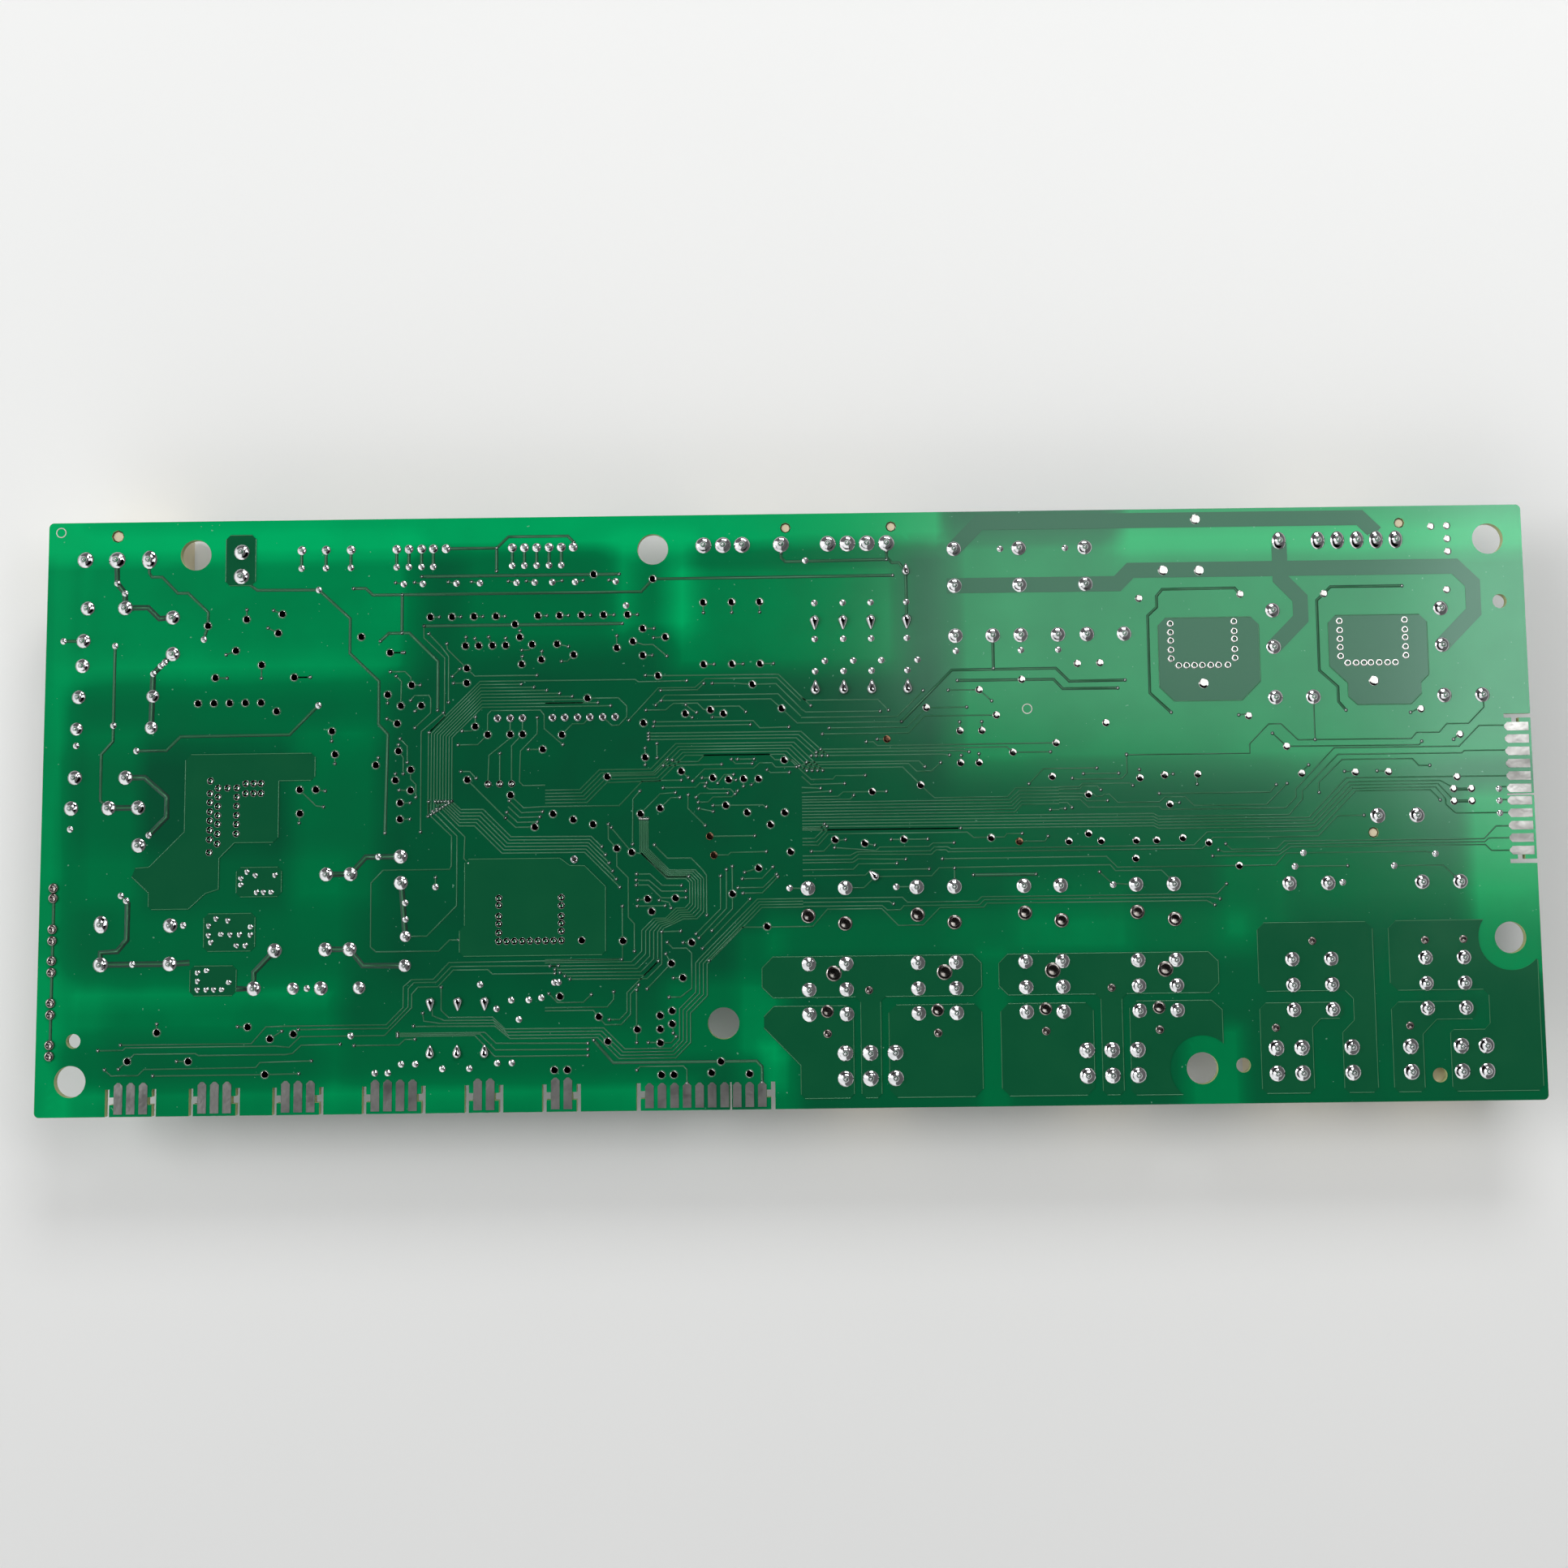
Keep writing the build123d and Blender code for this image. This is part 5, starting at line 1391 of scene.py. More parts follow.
FINE_TRACKS: tuple = (
    # stubs at the left
    ((40.9, 99.6), (40.9, 101.6)), ((48.2, 100.6), (46.4, 101.4)), ((47.4, 96.7), (45.3, 97.8)),
    ((38.8, 93.2), (36.8, 92.4)), ((44.1, 90.2), (44.1, 87.5)), ((34.7, 87.7), (37.1, 87.6)),
    ((50.8, 87.6), (54.1, 87.6)), ((70.3, 92.4), (73.2, 92.4)),
    # lower left
    ((17, 14.15), (43.2, 14.1), (46.1, 17.4), (50, 17.5), (70.2, 17.5), (73.6, 20.9),
     (73.6, 25), (75.2, 26.4), (79.6, 26.4), (82.7, 29.7), (117.4, 29.9)),
    ((12.5, 13.1), (17.5, 13.1), (18, 13.6), (48, 13.6), (50.8, 13.3), (53, 15.4), (69.9, 15.4),
     (75.3, 20.8), (75.3, 23.5), (76.5, 24.9), (80.5, 24.9), (83.6, 28.2), (90.5, 28.2),
     (91.5, 27.3), (104, 27.3)),
    ((52.6, 16.8), (70.5, 16.8), (74.6, 21), (74.6, 24.6), (75.7, 25.8), (80.2, 25.8),
     (83.2, 28.9), (90.3, 28.9), (104.7, 28.8)),
    ((16.7, 9.4), (18.4, 10.9), (19.8, 12.3), (32, 12.3), (32.7, 11.9), (50, 11.9),
     (51.5, 12.1), (53.2, 13.7), (61, 13.8)),
    ((13.9, 9.3), (15.2, 8.1), (20.6, 8.1), (21.8, 9.3), (44.2, 9.4), (45, 10.4), (55.3, 10.6)),
    ((23.6, 8), (46, 8), (52.8, 8.1)), ((24.2, 18.2), (24.2, 16.5)), ((40.4, 17.5), (42.4, 17.4)),
    ((28.3, 10.8), (30.6, 10.8)), ((49.3, 16.5), (46.9, 15)),
    ((63.8, 13.5), (72.8, 13.5), (74, 14.6), (76, 14.6)), ((79.9, 46.7), (79.9, 44.8)),
    ((78.4, 62), (78.4, 59.5), (83.1, 55), (83.1, 49), (82.7, 48.3), (69.3, 48.3), (66.9, 45.8),
     (66.9, 33), (68, 32), (80.6, 32), (82.8, 34.2), (84.7, 34.2)),
    ((79.2, 60), (84.2, 55), (84.2, 41), (78.2, 35), (73.9, 35)),
    ((80, 60.5), (85.8, 54.8), (85.6, 50.5), (86.5, 49.5)),
    # left maze
    *(((c - 1.7, 106.8), (c, 106.5)) for c in (73, 76.9, 83.8, 88.6, 96.1, 99.8)),
    *(((c, 99.6), (c + 1.8, 99.6)) for c in (78.5, 82.9, 87.4, 91.9, 100.5, 104.9, 109.4)),
    ((113.9, 99.6), (116, 99.6)), ((118.8, 99.6), (120.8, 99.6)),
    ((77.2, 97.8), (77.2, 95.4), (81.5, 91.2), (81.5, 79.2), (78.4, 76)),
    ((78.2, 96.2), (80.7, 93.6), (82.3, 91.5), (82.3, 82.1)),
    ((81.9, 94.1), (82, 93), (86, 89), (87.6, 87.4), (100.3, 87.4)), ((84.6, 88.9), (83.1, 87.4)),
    ((83.3, 86), (86, 86)), ((96.8, 96.6), (96.8, 95.25)), ((85.8, 95.4), (85.7, 93.6)),
    ((87.6, 95.1), (88.4, 93.6)), ((90.4, 95.4), (91.2, 93.6)), ((93.9, 95.1), (93.9, 93.6)),
    ((97.2, 92.6), (98.7, 92.6), (99.3, 93.7)), ((97.3, 91.3), (97.2, 89.7)),
    ((101.3, 92.3), (101.2, 90.6)), ((70.3, 92.4), (72.8, 92.4)), ((50.8, 87.6), (54, 87.6)),
    ((70.4, 88.5), (73.4, 88.5), (74.6, 87.3), (74.75, 85.7), (76.5, 85.7)),
    ((71.6, 87.6), (72.7, 86.5), (72.6, 81.5)), ((69.9, 83.8), (69.9, 82.1)),
    ((74.6, 82.6), (75.4, 83.6), (78.3, 83.6), (78.7, 82.9), (78.7, 80), (75.5, 77)),
    ((76.75, 81.5), (75.5, 80.4)), ((71.9, 77.9), (69.8, 78.9)), ((58.6, 76.5), (58.6, 74.5)),
    ((59.3, 71.8), (59.3, 69.9)), ((52.2, 64.7), (55.6, 61.4), (57.1, 61.2)),
    ((55.5, 64.7), (57.4, 64.4)), ((67.6, 69.5), (68.1, 71)), ((72.5, 74.8), (74, 73.3), (74, 70)),
    ((72.2, 73.6), (72.2, 72.3), (73.2, 71), (73.2, 67.7)),
    ((74.7, 68.5), (74.7, 66.6), (75.8, 65.5), (75.8, 62.9)), ((71.6, 66.4), (71.6, 67.7)),
    ((72.4, 64.4), (74.7, 64.3)), ((72.6, 61.8), (74.6, 61.8)), ((72.6, 58.5), (74.6, 58.5)),
    ((52.3, 59.9), (52.2, 58)), ((81.3, 80), (76.8, 76.2), (76.8, 55.9)),
    ((94.9, 78), (94.9, 74.6), (90.6, 71.2), (90.4, 65.4)),
    ((97.4, 78), (97.4, 75.4), (95.2, 73.1), (95.2, 65.4)),
    ((100.4, 78.8), (100.4, 75.5), (97, 72), (96.8, 65.8), (97.5, 65), (102, 65)),
    ((92.8, 71.6), (92.8, 65.4)), ((98.6, 72.3), (101.5, 72.3)),
    ((85.1, 76.2), (87, 76.2), (87.75, 77.1), (87.8, 79)),
    ((84.3, 73.4), (88.3, 73.4), (90.3, 75.4), (90.3, 79.5), (91, 80.3), (101, 80.3),
     (101.8, 79.3), (101.8, 76.5), (105.6, 73.2)),
    ((84.9, 68), (86.7, 68), (88, 66.6)), ((86.2, 66.3), (94, 58.5)),
    # middle, upper part
    ((103.4, 106.5), (105.4, 106.8)), ((108.1, 106.5), (109.7, 106.8)),
    ((116.4, 106.5), (115, 106.8)),
    *(((c, 101.9), (c, 99.8)) for c in MEASURE_COLUMNS),
    ((134.3, 89.2), (136.4, 89.2)), ((140.1, 89.2), (142.3, 89.2)), ((145.8, 89.2), (148.5, 89.2)),
    ((121.9, 96.7), (124.2, 96.7)), ((124.1, 94.8), (126.5, 94.9)), ((116.6, 95.3), (116.6, 92.8)),
    ((104.4, 93.75), (106.7, 93.2)), ((107.8, 91.5), (106.5, 90.2), (105.3, 90.2)),
    ((119.9, 94.1), (122, 93.4), (124, 93.4), (126.8, 91)), ((121.9, 91.2), (123.8, 91.2)),
    ((122.4, 87.1), (125, 87), (149.5, 87), (156, 80.5)),
    ((94.5, 86.3), (120.3, 86.3), (121, 85.8), (130.8, 85.9)),
    ((102, 81.7), (109.5, 81.7), (110.6, 82.6), (116.9, 82.6), (118.6, 80.9), (118.6, 78.7),
     (117, 77), (115.5, 77), (113.9, 78.6)),
    ((105.4, 75.2), (107.5, 77.4), (109.8, 77.4), (111.1, 78.7)),
    ((119, 78), (125, 84.5), (132.5, 84.5), (134.6, 86.3), (149.2, 86.3), (154, 81.5)),
    ((125.5, 84), (133, 84), (134.3, 85.3)), ((136, 85.3), (140, 85.3), (144.2, 85), (149, 85.1),
     (154, 80)), ((124.5, 81), (126.4, 83), (149.4, 83), (154, 78.4)),
    ((125.6, 81.9), (147.9, 82), (150.1, 80), (153.2, 77), (154, 77)),
    ((122.5, 80), (126.5, 80), (128.1, 81.3), (133, 81.3), (134.2, 80), (135.6, 79.9)),
    ((135, 80.6), (141.5, 80.6), (142.8, 79.4)), ((130.6, 81), (132, 79.8), (132.8, 79.4)),
    ((130.5, 79.2), (131.9, 78.4)), ((136, 78.4), (138.25, 78.4)),
    ((124.2, 77.6), (144.3, 77.6), (145.6, 76.1), (151.5, 76.2)), ((124, 76.7), (143.7, 76.8)),
    ((124.7, 73.2), (124.7, 70.3)), ((122.3, 72.3), (122.3, 68.9)),
    ((127.8, 69.8), (128.3, 69.4), (133, 69.4), (134.3, 70.7), (147.5, 70.7), (148.6, 69.6),
     (152.2, 69.5), (153.5, 68.3)), ((139.8, 69.8), (140.6, 68.9), (144, 68.9)),
    ((141, 69.8), (144.4, 69.8)), ((126, 68.7), (137.8, 68.8)),
    ((131.9, 65.5), (134.3, 67.9), (144.3, 67.9), (145.5, 69), (148, 69), (148.7, 68.1),
     (153, 68.1)), ((147, 67.6), (147.7, 67), (151.5, 67)), ((129.6, 67.5), (131, 66.2)),
    ((133.8, 66.1), (136, 66.1)), ((137, 65), (138.3, 66.7), (140.2, 66.7)),
    ((139.2, 65.7), (140.7, 65.6)), ((142.25, 65.8), (142.2, 64.3)),
    ((145.25, 65.8), (143.8, 64.6)), ((114.6, 66.6), (115.3, 67), (123.9, 67), (126.8, 69.9)),
    ((125.9, 64.2), (132.5, 64.2), (133.4, 65.1), (134.7, 65.1)),
    ((134.4, 64.4), (135.2, 63.8), (139.5, 63.8), (140.5, 62.8)),
    ((102, 60.7), (117, 60.7), (121.8, 65.7), (129.6, 65.7)),
    ((121.2, 63.6), (119.8, 62), (119.7, 52.9)), ((121.3, 59), (125.3, 63), (128.4, 63.2)),
    ((125.3, 60.1), (127.5, 62.2), (129.3, 62.2)), ((131, 62.7), (130.9, 60), (134.4, 56.5)),
    ((132.6, 62.2), (133.4, 63), (139, 63)),
    ((133, 61.2), (135, 61.2), (136, 62.2), (139.8, 62.2), (141, 63.4)),
    ((133.1, 59.9), (136, 59.3)), ((136, 60.5), (138.6, 60.5), (146, 60.5), (146.8, 60.1)),
    # middle, lower part
    ((114.8, 57), (114.8, 54), (116.5, 52.1), (116.5, 48.5), (118.8, 46.2), (118.8, 38.3),
     (120, 37), (120, 31.5)), ((117.6, 40.5), (117.6, 30), (102, 30)),
    ((115.4, 56.3), (119.5, 51.3), (121.5, 51), (126.5, 46.3), (131, 46.3)),
    ((124.1, 52.7), (126.7, 50), (131.5, 50), (133.8, 47.6), (134.6, 46.5), (134.6, 38.5)),
    ((120.5, 46.9), (123.2, 46.9), (125.6, 44.6), (129.5, 44.5)),
    ((120.4, 45.7), (123, 45.6), (125.5, 43.4), (130.4, 43.4)),
    ((120.4, 44.7), (122.8, 44.7), (125.4, 42.1), (128.3, 42), (130.4, 42.1)),
    ((120.7, 41.7), (122.7, 41.9)), ((120.6, 40.5), (126.2, 40.5)),
    ((127.4, 40), (127, 41.2), (125, 41.6)), ((125.5, 35.3), (129.3, 35.4)),
    ((126.6, 33.2), (127.7, 32), (130.5, 32), (131.5, 31), (131.5, 24), (129.2, 22.3),
     (126.9, 22.3)), ((129.8, 33.1), (131.5, 33.1)), ((126.3, 30.9), (127.4, 29), (122.5, 24)),
    ((127.8, 26.1), (129.7, 26.1)), ((137.4, 46.3), (137.4, 39.7), (132.4, 34.8)),
    ((138.6, 47.6), (138.6, 39.8), (133, 34)), ((139.8, 48.2), (139.8, 39.7), (135.6, 35.4)),
    ((143.3, 41.6), (133.7, 31.9)), ((154, 36), (141.5, 36), (135, 29.5)),
    ((112.8, 18.6), (114.1, 17), (117.3, 17), (119.2, 19), (119.2, 23), (120.8, 24.8)),
    ((114.9, 18), (117, 18), (118.5, 19.5), (118.5, 23.3), (124.8, 29.5)),
    ((120.4, 23.8), (120.4, 13.4)), ((112.8, 18.6), (111.7, 19.9), (102, 19.9)),
    ((115.8, 23.5), (115.8, 22), (114.5, 20.5), (102, 20.5)),
    ((111.3, 23), (109.7, 21.5), (104.5, 21.5), (102.8, 23.3)),
    ((122.7, 13.4), (127.3, 13.3), (128.3, 14.5)), ((127.7, 15.2), (127.7, 17)),
    ((120.4, 8), (121, 8.7), (129.7, 8.7), (130.4, 8), (130.4, 5.3)),
    ((140.9, 43.9), (146, 43.9), (148.7, 46.5)), ((141.9, 42.8), (145.8, 42.8), (149, 46)),
    ((141.8, 45.7), (145.8, 45.7), (148, 48)), ((142.3, 47), (145.1, 47.8)),
    ((135.3, 54.3), (144.4, 54.3)), ((136.1, 50.5), (139, 50.5), (139.5, 51), (146.7, 51.1)),
    # right, upper part
    ((154, 82.2), (155, 81.6), (169.7, 81.6), (171.8, 79.4)),
    ((154, 79.9), (155, 79.2), (170.1, 79.2)), ((154, 78.1), (173.6, 78.1), (178.9, 83.3)),
    ((154, 77), (174.4, 77)), ((159.7, 75.9), (175.5, 75.9), (179.5, 79.8), (187.7, 79.8)),
    ((158.3, 74.7), (175.8, 74.7), (179.1, 78.1), (193.7, 78.1)),
    ((184, 83.3), (190.3, 83.3), (192.8, 81)), ((186.2, 76.8), (186.25, 75)),
    ((190.7, 76.8), (190.7, 75)), ((167.2, 73), (168.6, 73), (169.4, 72.2), (205.7, 72.3)),
    ((169.4, 73.5), (171.4, 73.5)), ((157.9, 71.6), (195.7, 71.6), (196.9, 70.5), (204.5, 70.5)),
    ((157, 71), (186.3, 71), (188, 70.7)), ((156, 70.3), (182.5, 70.3), (184, 70.1)),
    ((155, 69), (177.8, 69), (179, 67.8)),
    ((154, 68.5), (175.7, 68.5), (177.3, 66.9), (180.3, 66.9), (182.2, 68.6)),
    ((154, 67.8), (174.5, 67.8), (178.1, 64.1), (180.8, 61.5), (195.6, 61.5), (197.3, 63.3),
     (206, 63.3)), ((154, 67.3), (155.9, 65.5), (160.3, 65.5), (160.9, 66.2), (166.9, 66.2)),
    ((154, 66.2), (155.8, 64.5), (162.7, 64.6)), ((154, 63.9), (157.8, 63.7)),
    ((154, 62.8), (159.8, 63.1)), ((154, 62), (161.3, 62), (162.4, 62.9), (168.25, 62.9),
     (171.1, 62.9)), ((154, 61.4), (163.8, 61.4), (164.5, 62.2)), ((186.4, 70), (186.25, 68.5)),
    ((190, 70.3), (190, 68.5)), ((200, 64.1), (203, 67.1), (206, 67.1)),
    ((204.2, 58.8), (206, 58.8)),
    # right, middle part
    ((154, 52.3), (157.2, 52.2), (159.3, 54.5), (187.3, 54.5), (188.6, 53.4), (194.8, 53.4),
     (195.3, 54.1), (198.4, 54.1)), ((154, 53.6), (156.5, 53.6), (159, 56)),
    ((154, 52.9), (156.9, 52.9), (159.2, 55.3), (186, 55.3)),
    ((154, 55.6), (157.6, 55.6), (158.5, 56.5)),
    ((155.8, 51), (158.3, 51), (160.3, 53.1), (162.7, 53.3)),
    ((160.5, 51.7), (168.8, 51), (169.6, 51.7), (179.5, 51.7), (180.4, 52.4), (184.6, 52.4)),
    ((166.6, 52.5), (168.6, 52.1)), ((171.9, 53.2), (179.3, 53.2)),
    ((197.8, 52.5), (203, 52.5), (203.6, 53.5)),
    ((154, 50.1), (163.6, 50.1), (165, 50.8), (179.8, 50.8), (180.6, 51.6), (183.3, 51.6),
     (183.9, 51.2), (233, 51.3), (235.7, 53.9), (257, 53.9)),
    ((154, 49.3), (164, 49.3), (165.3, 50.3), (180, 50.1), (181, 51), (182.9, 51), (183.4, 50.6),
     (234.7, 50.6), (236.9, 52.8), (248.2, 52.8)),
    ((154, 48.7), (164.2, 48.7), (165.2, 49.4), (174.8, 49.2)),
    ((154, 47.3), (164.2, 47.3), (165.3, 48.4), (173, 48.4)),
    ((154, 46.1), (166.6, 46.1), (167.8, 47.2), (179.5, 47.2)),
    ((162.5, 43.6), (166.3, 43.6), (168.6, 45.8), (180, 45.8), (181.5, 47.4), (195.9, 47.5),
     (216, 47.6), (217, 46.4), (226.3, 46.4), (228, 44.7)),
    ((182.2, 49.2), (215.3, 49.3), (217.4, 47.1), (249.3, 47.1), (251.5, 49.5), (279.5, 49.5),
     (281.6, 49)), ((184.6, 47.3), (184.6, 45)), ((172.8, 43.7), (176, 43.7)),
    ((151.3, 43.7), (155, 43.6)),
    ((154, 41.6), (174, 41.6), (175, 40.6), (189, 40.6), (190, 41.5), (237.3, 41.5),
     (239.3, 43.5)), ((154, 40.8), (171.3, 40.8), (172.2, 40.3)),
    ((154, 40), (169.9, 40), (170.9, 39.1), (173.6, 39.1), (174.3, 39.9), (189.5, 39.9),
     (190.5, 40.9), (235.8, 40.9), (237.9, 40.5)),
    ((154, 36), (155.9, 36), (158.9, 39.4), (169.8, 39.4), (173.1, 36), (178.1, 36),
     (181.5, 39.4), (190.3, 39.4), (191, 40.2), (235.2, 40.2), (236.8, 39.3)),
    ((239.4, 51.5), (240.5, 50.4), (249.7, 50.4), (251.2, 51.9), (291.5, 51.9), (294, 54.4),
     (296.5, 54.4)),
    ((237.9, 50.3), (239, 49.9), (250.3, 49.9), (252, 51.3), (291.6, 51.3), (292.4, 52),
     (296.5, 52)), ((236.7, 49.1), (250, 49.1), (252.5, 50.7), (291.7, 50.7), (292.9, 49.5),
     (296.5, 49.5)), ((273.9, 46.7), (283, 46.7), (285.4, 44.3)),
    ((213.8, 46.2), (216.2, 43.9), (220, 43.6)), ((253.8, 46.8), (263.8, 46.8)),
    # right, between the bundles and the edge
    ((206, 67.1), (213.8, 67.1)), ((211.05, 66), (218.2, 66)),
    ((208.8, 65.1), (210, 64.9), (218.8, 64.9), (219.9, 66), (219.9, 69.8)),
    ((206, 63.4), (210.2, 63.4), (210.8, 64), (220.4, 64), (221, 63.5)),
    ((206, 62.9), (210.3, 62.9), (210.8, 63.5), (213.8, 63.5), (214.5, 62.7)),
    ((206, 62.1), (212.9, 62), (213.5, 61.4), (214.7, 61.4), (215.2, 61.8), (216.2, 61.8),
     (217.9, 60.1), (226.3, 60.1), (227.4, 61.1), (231.5, 61.1), (233.3, 59.3), (247.9, 59.3),
     (252.2, 63.5)),
    ((206, 61.4), (210.7, 61.4), (211.6, 60.5), (215.8, 60.5)),
    ((206, 60.8), (210.3, 60.8), (211.9, 59.2), (226.2, 59.2), (226.8, 58.6), (251.8, 58.6),
     (253.9, 60.7), (253.9, 62.3), (262, 70.6), (287.3, 70.6), (291.5, 74.75), (296.5, 74.75)),
    ((206, 60.2), (207.7, 60.2), (208.6, 59.2)), ((206, 59), (207.2, 59)),
    ((226, 57.2), (252.4, 57.2), (255.2, 60.3), (255.2, 61.9),
     (262.7, 69.25), (287.8, 69.25), (288.3, 69.7), (296.5, 69.7)),
    ((226, 56.6), (256.4, 56.6), (264.2, 64.5), (296.5, 64.5)),
    ((226, 56), (256.9, 56), (264.6, 63.7), (283.2, 63.7), (285.6, 62.3)),
    ((226, 55.4), (257.3, 55.4), (265.1, 63.05), (282.7, 63.05), (285.5, 59.9)),
    ((226, 54.75), (257.6, 54.75), (265.4, 62.4), (282.2, 62.4), (284.1, 59.9), (284.1, 58.9),
     (286, 57.1), (296.5, 57.1)),
    ((257, 53.9), (258.1, 53.9), (266, 61.85), (281.1, 61.85), (283, 59.8)),
    ((248.2, 52.8), (258.1, 52.8), (262.2, 56.9), (267.5, 56.9)),
    ((281.2, 66.8), (279, 66.8), (277.7, 68.2), (263.5, 68.2), (258.6, 63.6), (258.6, 61.6)),
    ((226.3, 61.8), (248.7, 61.8), (250, 63.3)), ((294.8, 62.3), (296.5, 62.3)),
    ((294.8, 59.7), (296.5, 59.7)), ((222.4, 65.3), (222.4, 66.7)), ((227.3, 65.7), (229.2, 65.7)),
    ((234, 65.8), (234, 63.6)), ((228.3, 59.9), (230.3, 59.9)), ((255.1, 65.7), (256.7, 67.2)),
    ((266, 65.8), (263.9, 65.8)), ((272.6, 65.8), (270.5, 65.8)), ((244.75, 77.7), (242.9, 77.5)),
    ((279.75, 78.5), (277.75, 77.6)), ((287.5, 73.25), (286.25, 72)),
    ((219.9, 69.7), (244.9, 69.7), (244.9, 71.6), (248.9, 75.6), (251.4, 75.6), (254.75, 72.3),
     (277.75, 72.3), (278.8, 73.5), (283.4, 73.5), (285, 75.2), (289.4, 75.2), (292.7, 78.5),
     (292.5, 81)),
    ((249.6, 73.7), (252.4, 71), (279.2, 71), (279.8, 71.7)), ((258.2, 81), (258.2, 72.3)),
)
BUNDLES: tuple = (
    Bundle(((78.3, 59), (78.3, 75.9), (88.7, 86.3), (94.5, 86.3)),
           ((83.1, 62), (83.1, 74.9), (89.2, 81), (115.3, 81)), 9),
    Bundle(((79.7, 62), (84.6, 57), (87.7, 57), (93.3, 51.4), (110, 51.4), (117.1, 44.3)),
           ((83.1, 62), (84.9, 60.3), (89.5, 60.3), (95.1, 54.7), (111.3, 54.6), (113.5, 52.5)),
           6),
    Bundle(((94, 58.5), (96, 56.6), (99.9, 56.6)), ((95, 63.1), (97.6, 60.5), (102, 60.7)), 5),
    Bundle(((102, 64), (109, 64), (113, 68), (123.4, 68), (128.5, 73.1), (152.5, 73.1),
            (158.3, 67.3)),
           ((102, 61.4), (110.5, 61.4), (114.5, 65.4), (125.2, 65.6), (130.4, 70.7),
            (150.5, 70.7), (154, 67.3)), 5),
    Bundle(((123, 75.3), (154, 75.3), (159.3, 70.3)), ((123, 74), (153, 74), (157, 70.3)), 3),
    Bundle(((121.2, 58), (121.2, 51.3), (126.6, 45.9), (130.4, 45.9), (131.2, 45.1),
            (131.2, 41), (130.2, 40), (128.4, 40), (126.3, 38), (123.9, 38), (121.5, 35.6),
            (121.5, 31.5), (119.4, 29.4), (102, 29.4)),
           ((122.8, 58), (122.8, 52), (127.1, 47.6), (132.3, 47.6), (134, 45.9), (134, 39.2),
            (132.6, 37.8), (129.8, 37.8), (128.2, 37), (125.9, 36), (125.5, 35.2),
            (125.5, 28.9), (122.5, 26), (107, 26.1)), 6),
    Bundle(((154, 41.6), (144.8, 41.6), (133, 29.8), (132.3, 29), (132.3, 23.2), (129, 20),
            (129, 13.9), (127.3, 12.2), (118, 12.2), (113.8, 16.4), (94, 16.4), (91.5, 18.8),
            (82.7, 18.8), (81.2, 20.3), (81.2, 24.8)),
           ((154, 39.9), (145.7, 39.9), (135.7, 29.9), (134.6, 28.8), (134.6, 22.5),
            (131.2, 19.1), (131.2, 13.3), (128.2, 10.3), (116.8, 10.3), (112.6, 14.5),
            (95, 14.5), (92, 17), (80, 17.1), (76, 17.1), (75.7, 17.2)), 4),
    Bundle(((72.5, 15.8), (90, 15.8), (92.2, 13.6), (110.6, 13.4)),
           ((72.5, 15.2), (88, 15.2), (92, 11), (110.6, 11)), 3),
    Bundle(((154, 60.9), (196, 60.9), (198, 62.7), (206, 62.7)),
           ((154, 58.4), (197, 58.4), (198.5, 60), (206, 60)), 5),
    Bundle(((154, 57.8), (225, 57.8), (226, 57.2)), ((154, 55.3), (225, 55.3), (226, 54.75)), 5),
)
@dataclass
class Tracks:
    """The tracks between the pads, with a small via at each end that meets no pad."""

    broad: float = 1.15
    middle: float = 0.6
    fine: float = 0.28
    height: float = 0.07
    sink: float = 0.02
    joins: tuple = (94.5, 102, 154, 206, 225, 226, 248.2, 257, 296.5)  # where paths run on
    via_radius: float = 0.4
    via_height: float = 0.08
    dot_radius: float = 0.17
    dot_height: float = 0.1
    pad_reach: float = 1.0

    def lay(
        self, name: str, layout: Layout, paths: Iterable[Sequence[Point]], width: float
    ) -> None:
        """Lays the tracks of one width as one piece."""
        lift = self.height / 2 - self.sink
        lines = [[layout.above(column, row, lift) for column, row in path] for path in paths]
        laid(name, lines, width, self.height, TrackCopper())

    def ends(self, paths: Sequence[Sequence[Point]], pads: Sequence[Point]) -> list[Point]:
        """The ends of paths that run on to no other path and meet no pad."""
        found = []
        for path in paths:
            for column, row in (path[0], path[-1]):
                runs_on = any(abs(column - line) < 0.01 for line in self.joins)
                near = (math.hypot(column - c, row - r) < self.pad_reach for c, r in pads)
                if not runs_on and not any(near):
                    found.append((column, row))
        return found

    def build(self, layout: Layout, pads: Sequence[Point]) -> None:
        """Lays every track and sets the small vias."""
        bundled = [path for bundle in BUNDLES for path in bundle.paths()]
        fine = list(FINE_TRACKS) + bundled
        self.lay("broad_tracks", layout, BROAD_TRACKS, self.broad)
        self.lay("middle_tracks", layout, MIDDLE_TRACKS, self.middle)
        self.lay("fine_tracks", layout, fine, self.fine)
        ends = self.ends(fine, pads) + self.ends(MIDDLE_TRACKS, pads)
        rings = [Spot(*end, self.via_radius, self.via_radius, self.via_height) for end in ends]
        ring = turned([(0, 0), (1, 0), (0.9, 0.9), (0.6, 1), (0, 0.9)], 10)
        set_on_spots("via_rings", layout, rings, ring, ViaMask())
        dots = [Spot(*end, self.dot_radius, self.dot_radius, self.dot_height) for end in ends]
        dot = turned([(0, 0), (1, 0), (0.9, 1), (0, 1.05)], 8)
        set_on_spots("via_dots", layout, dots, dot, FLAT_TIN)


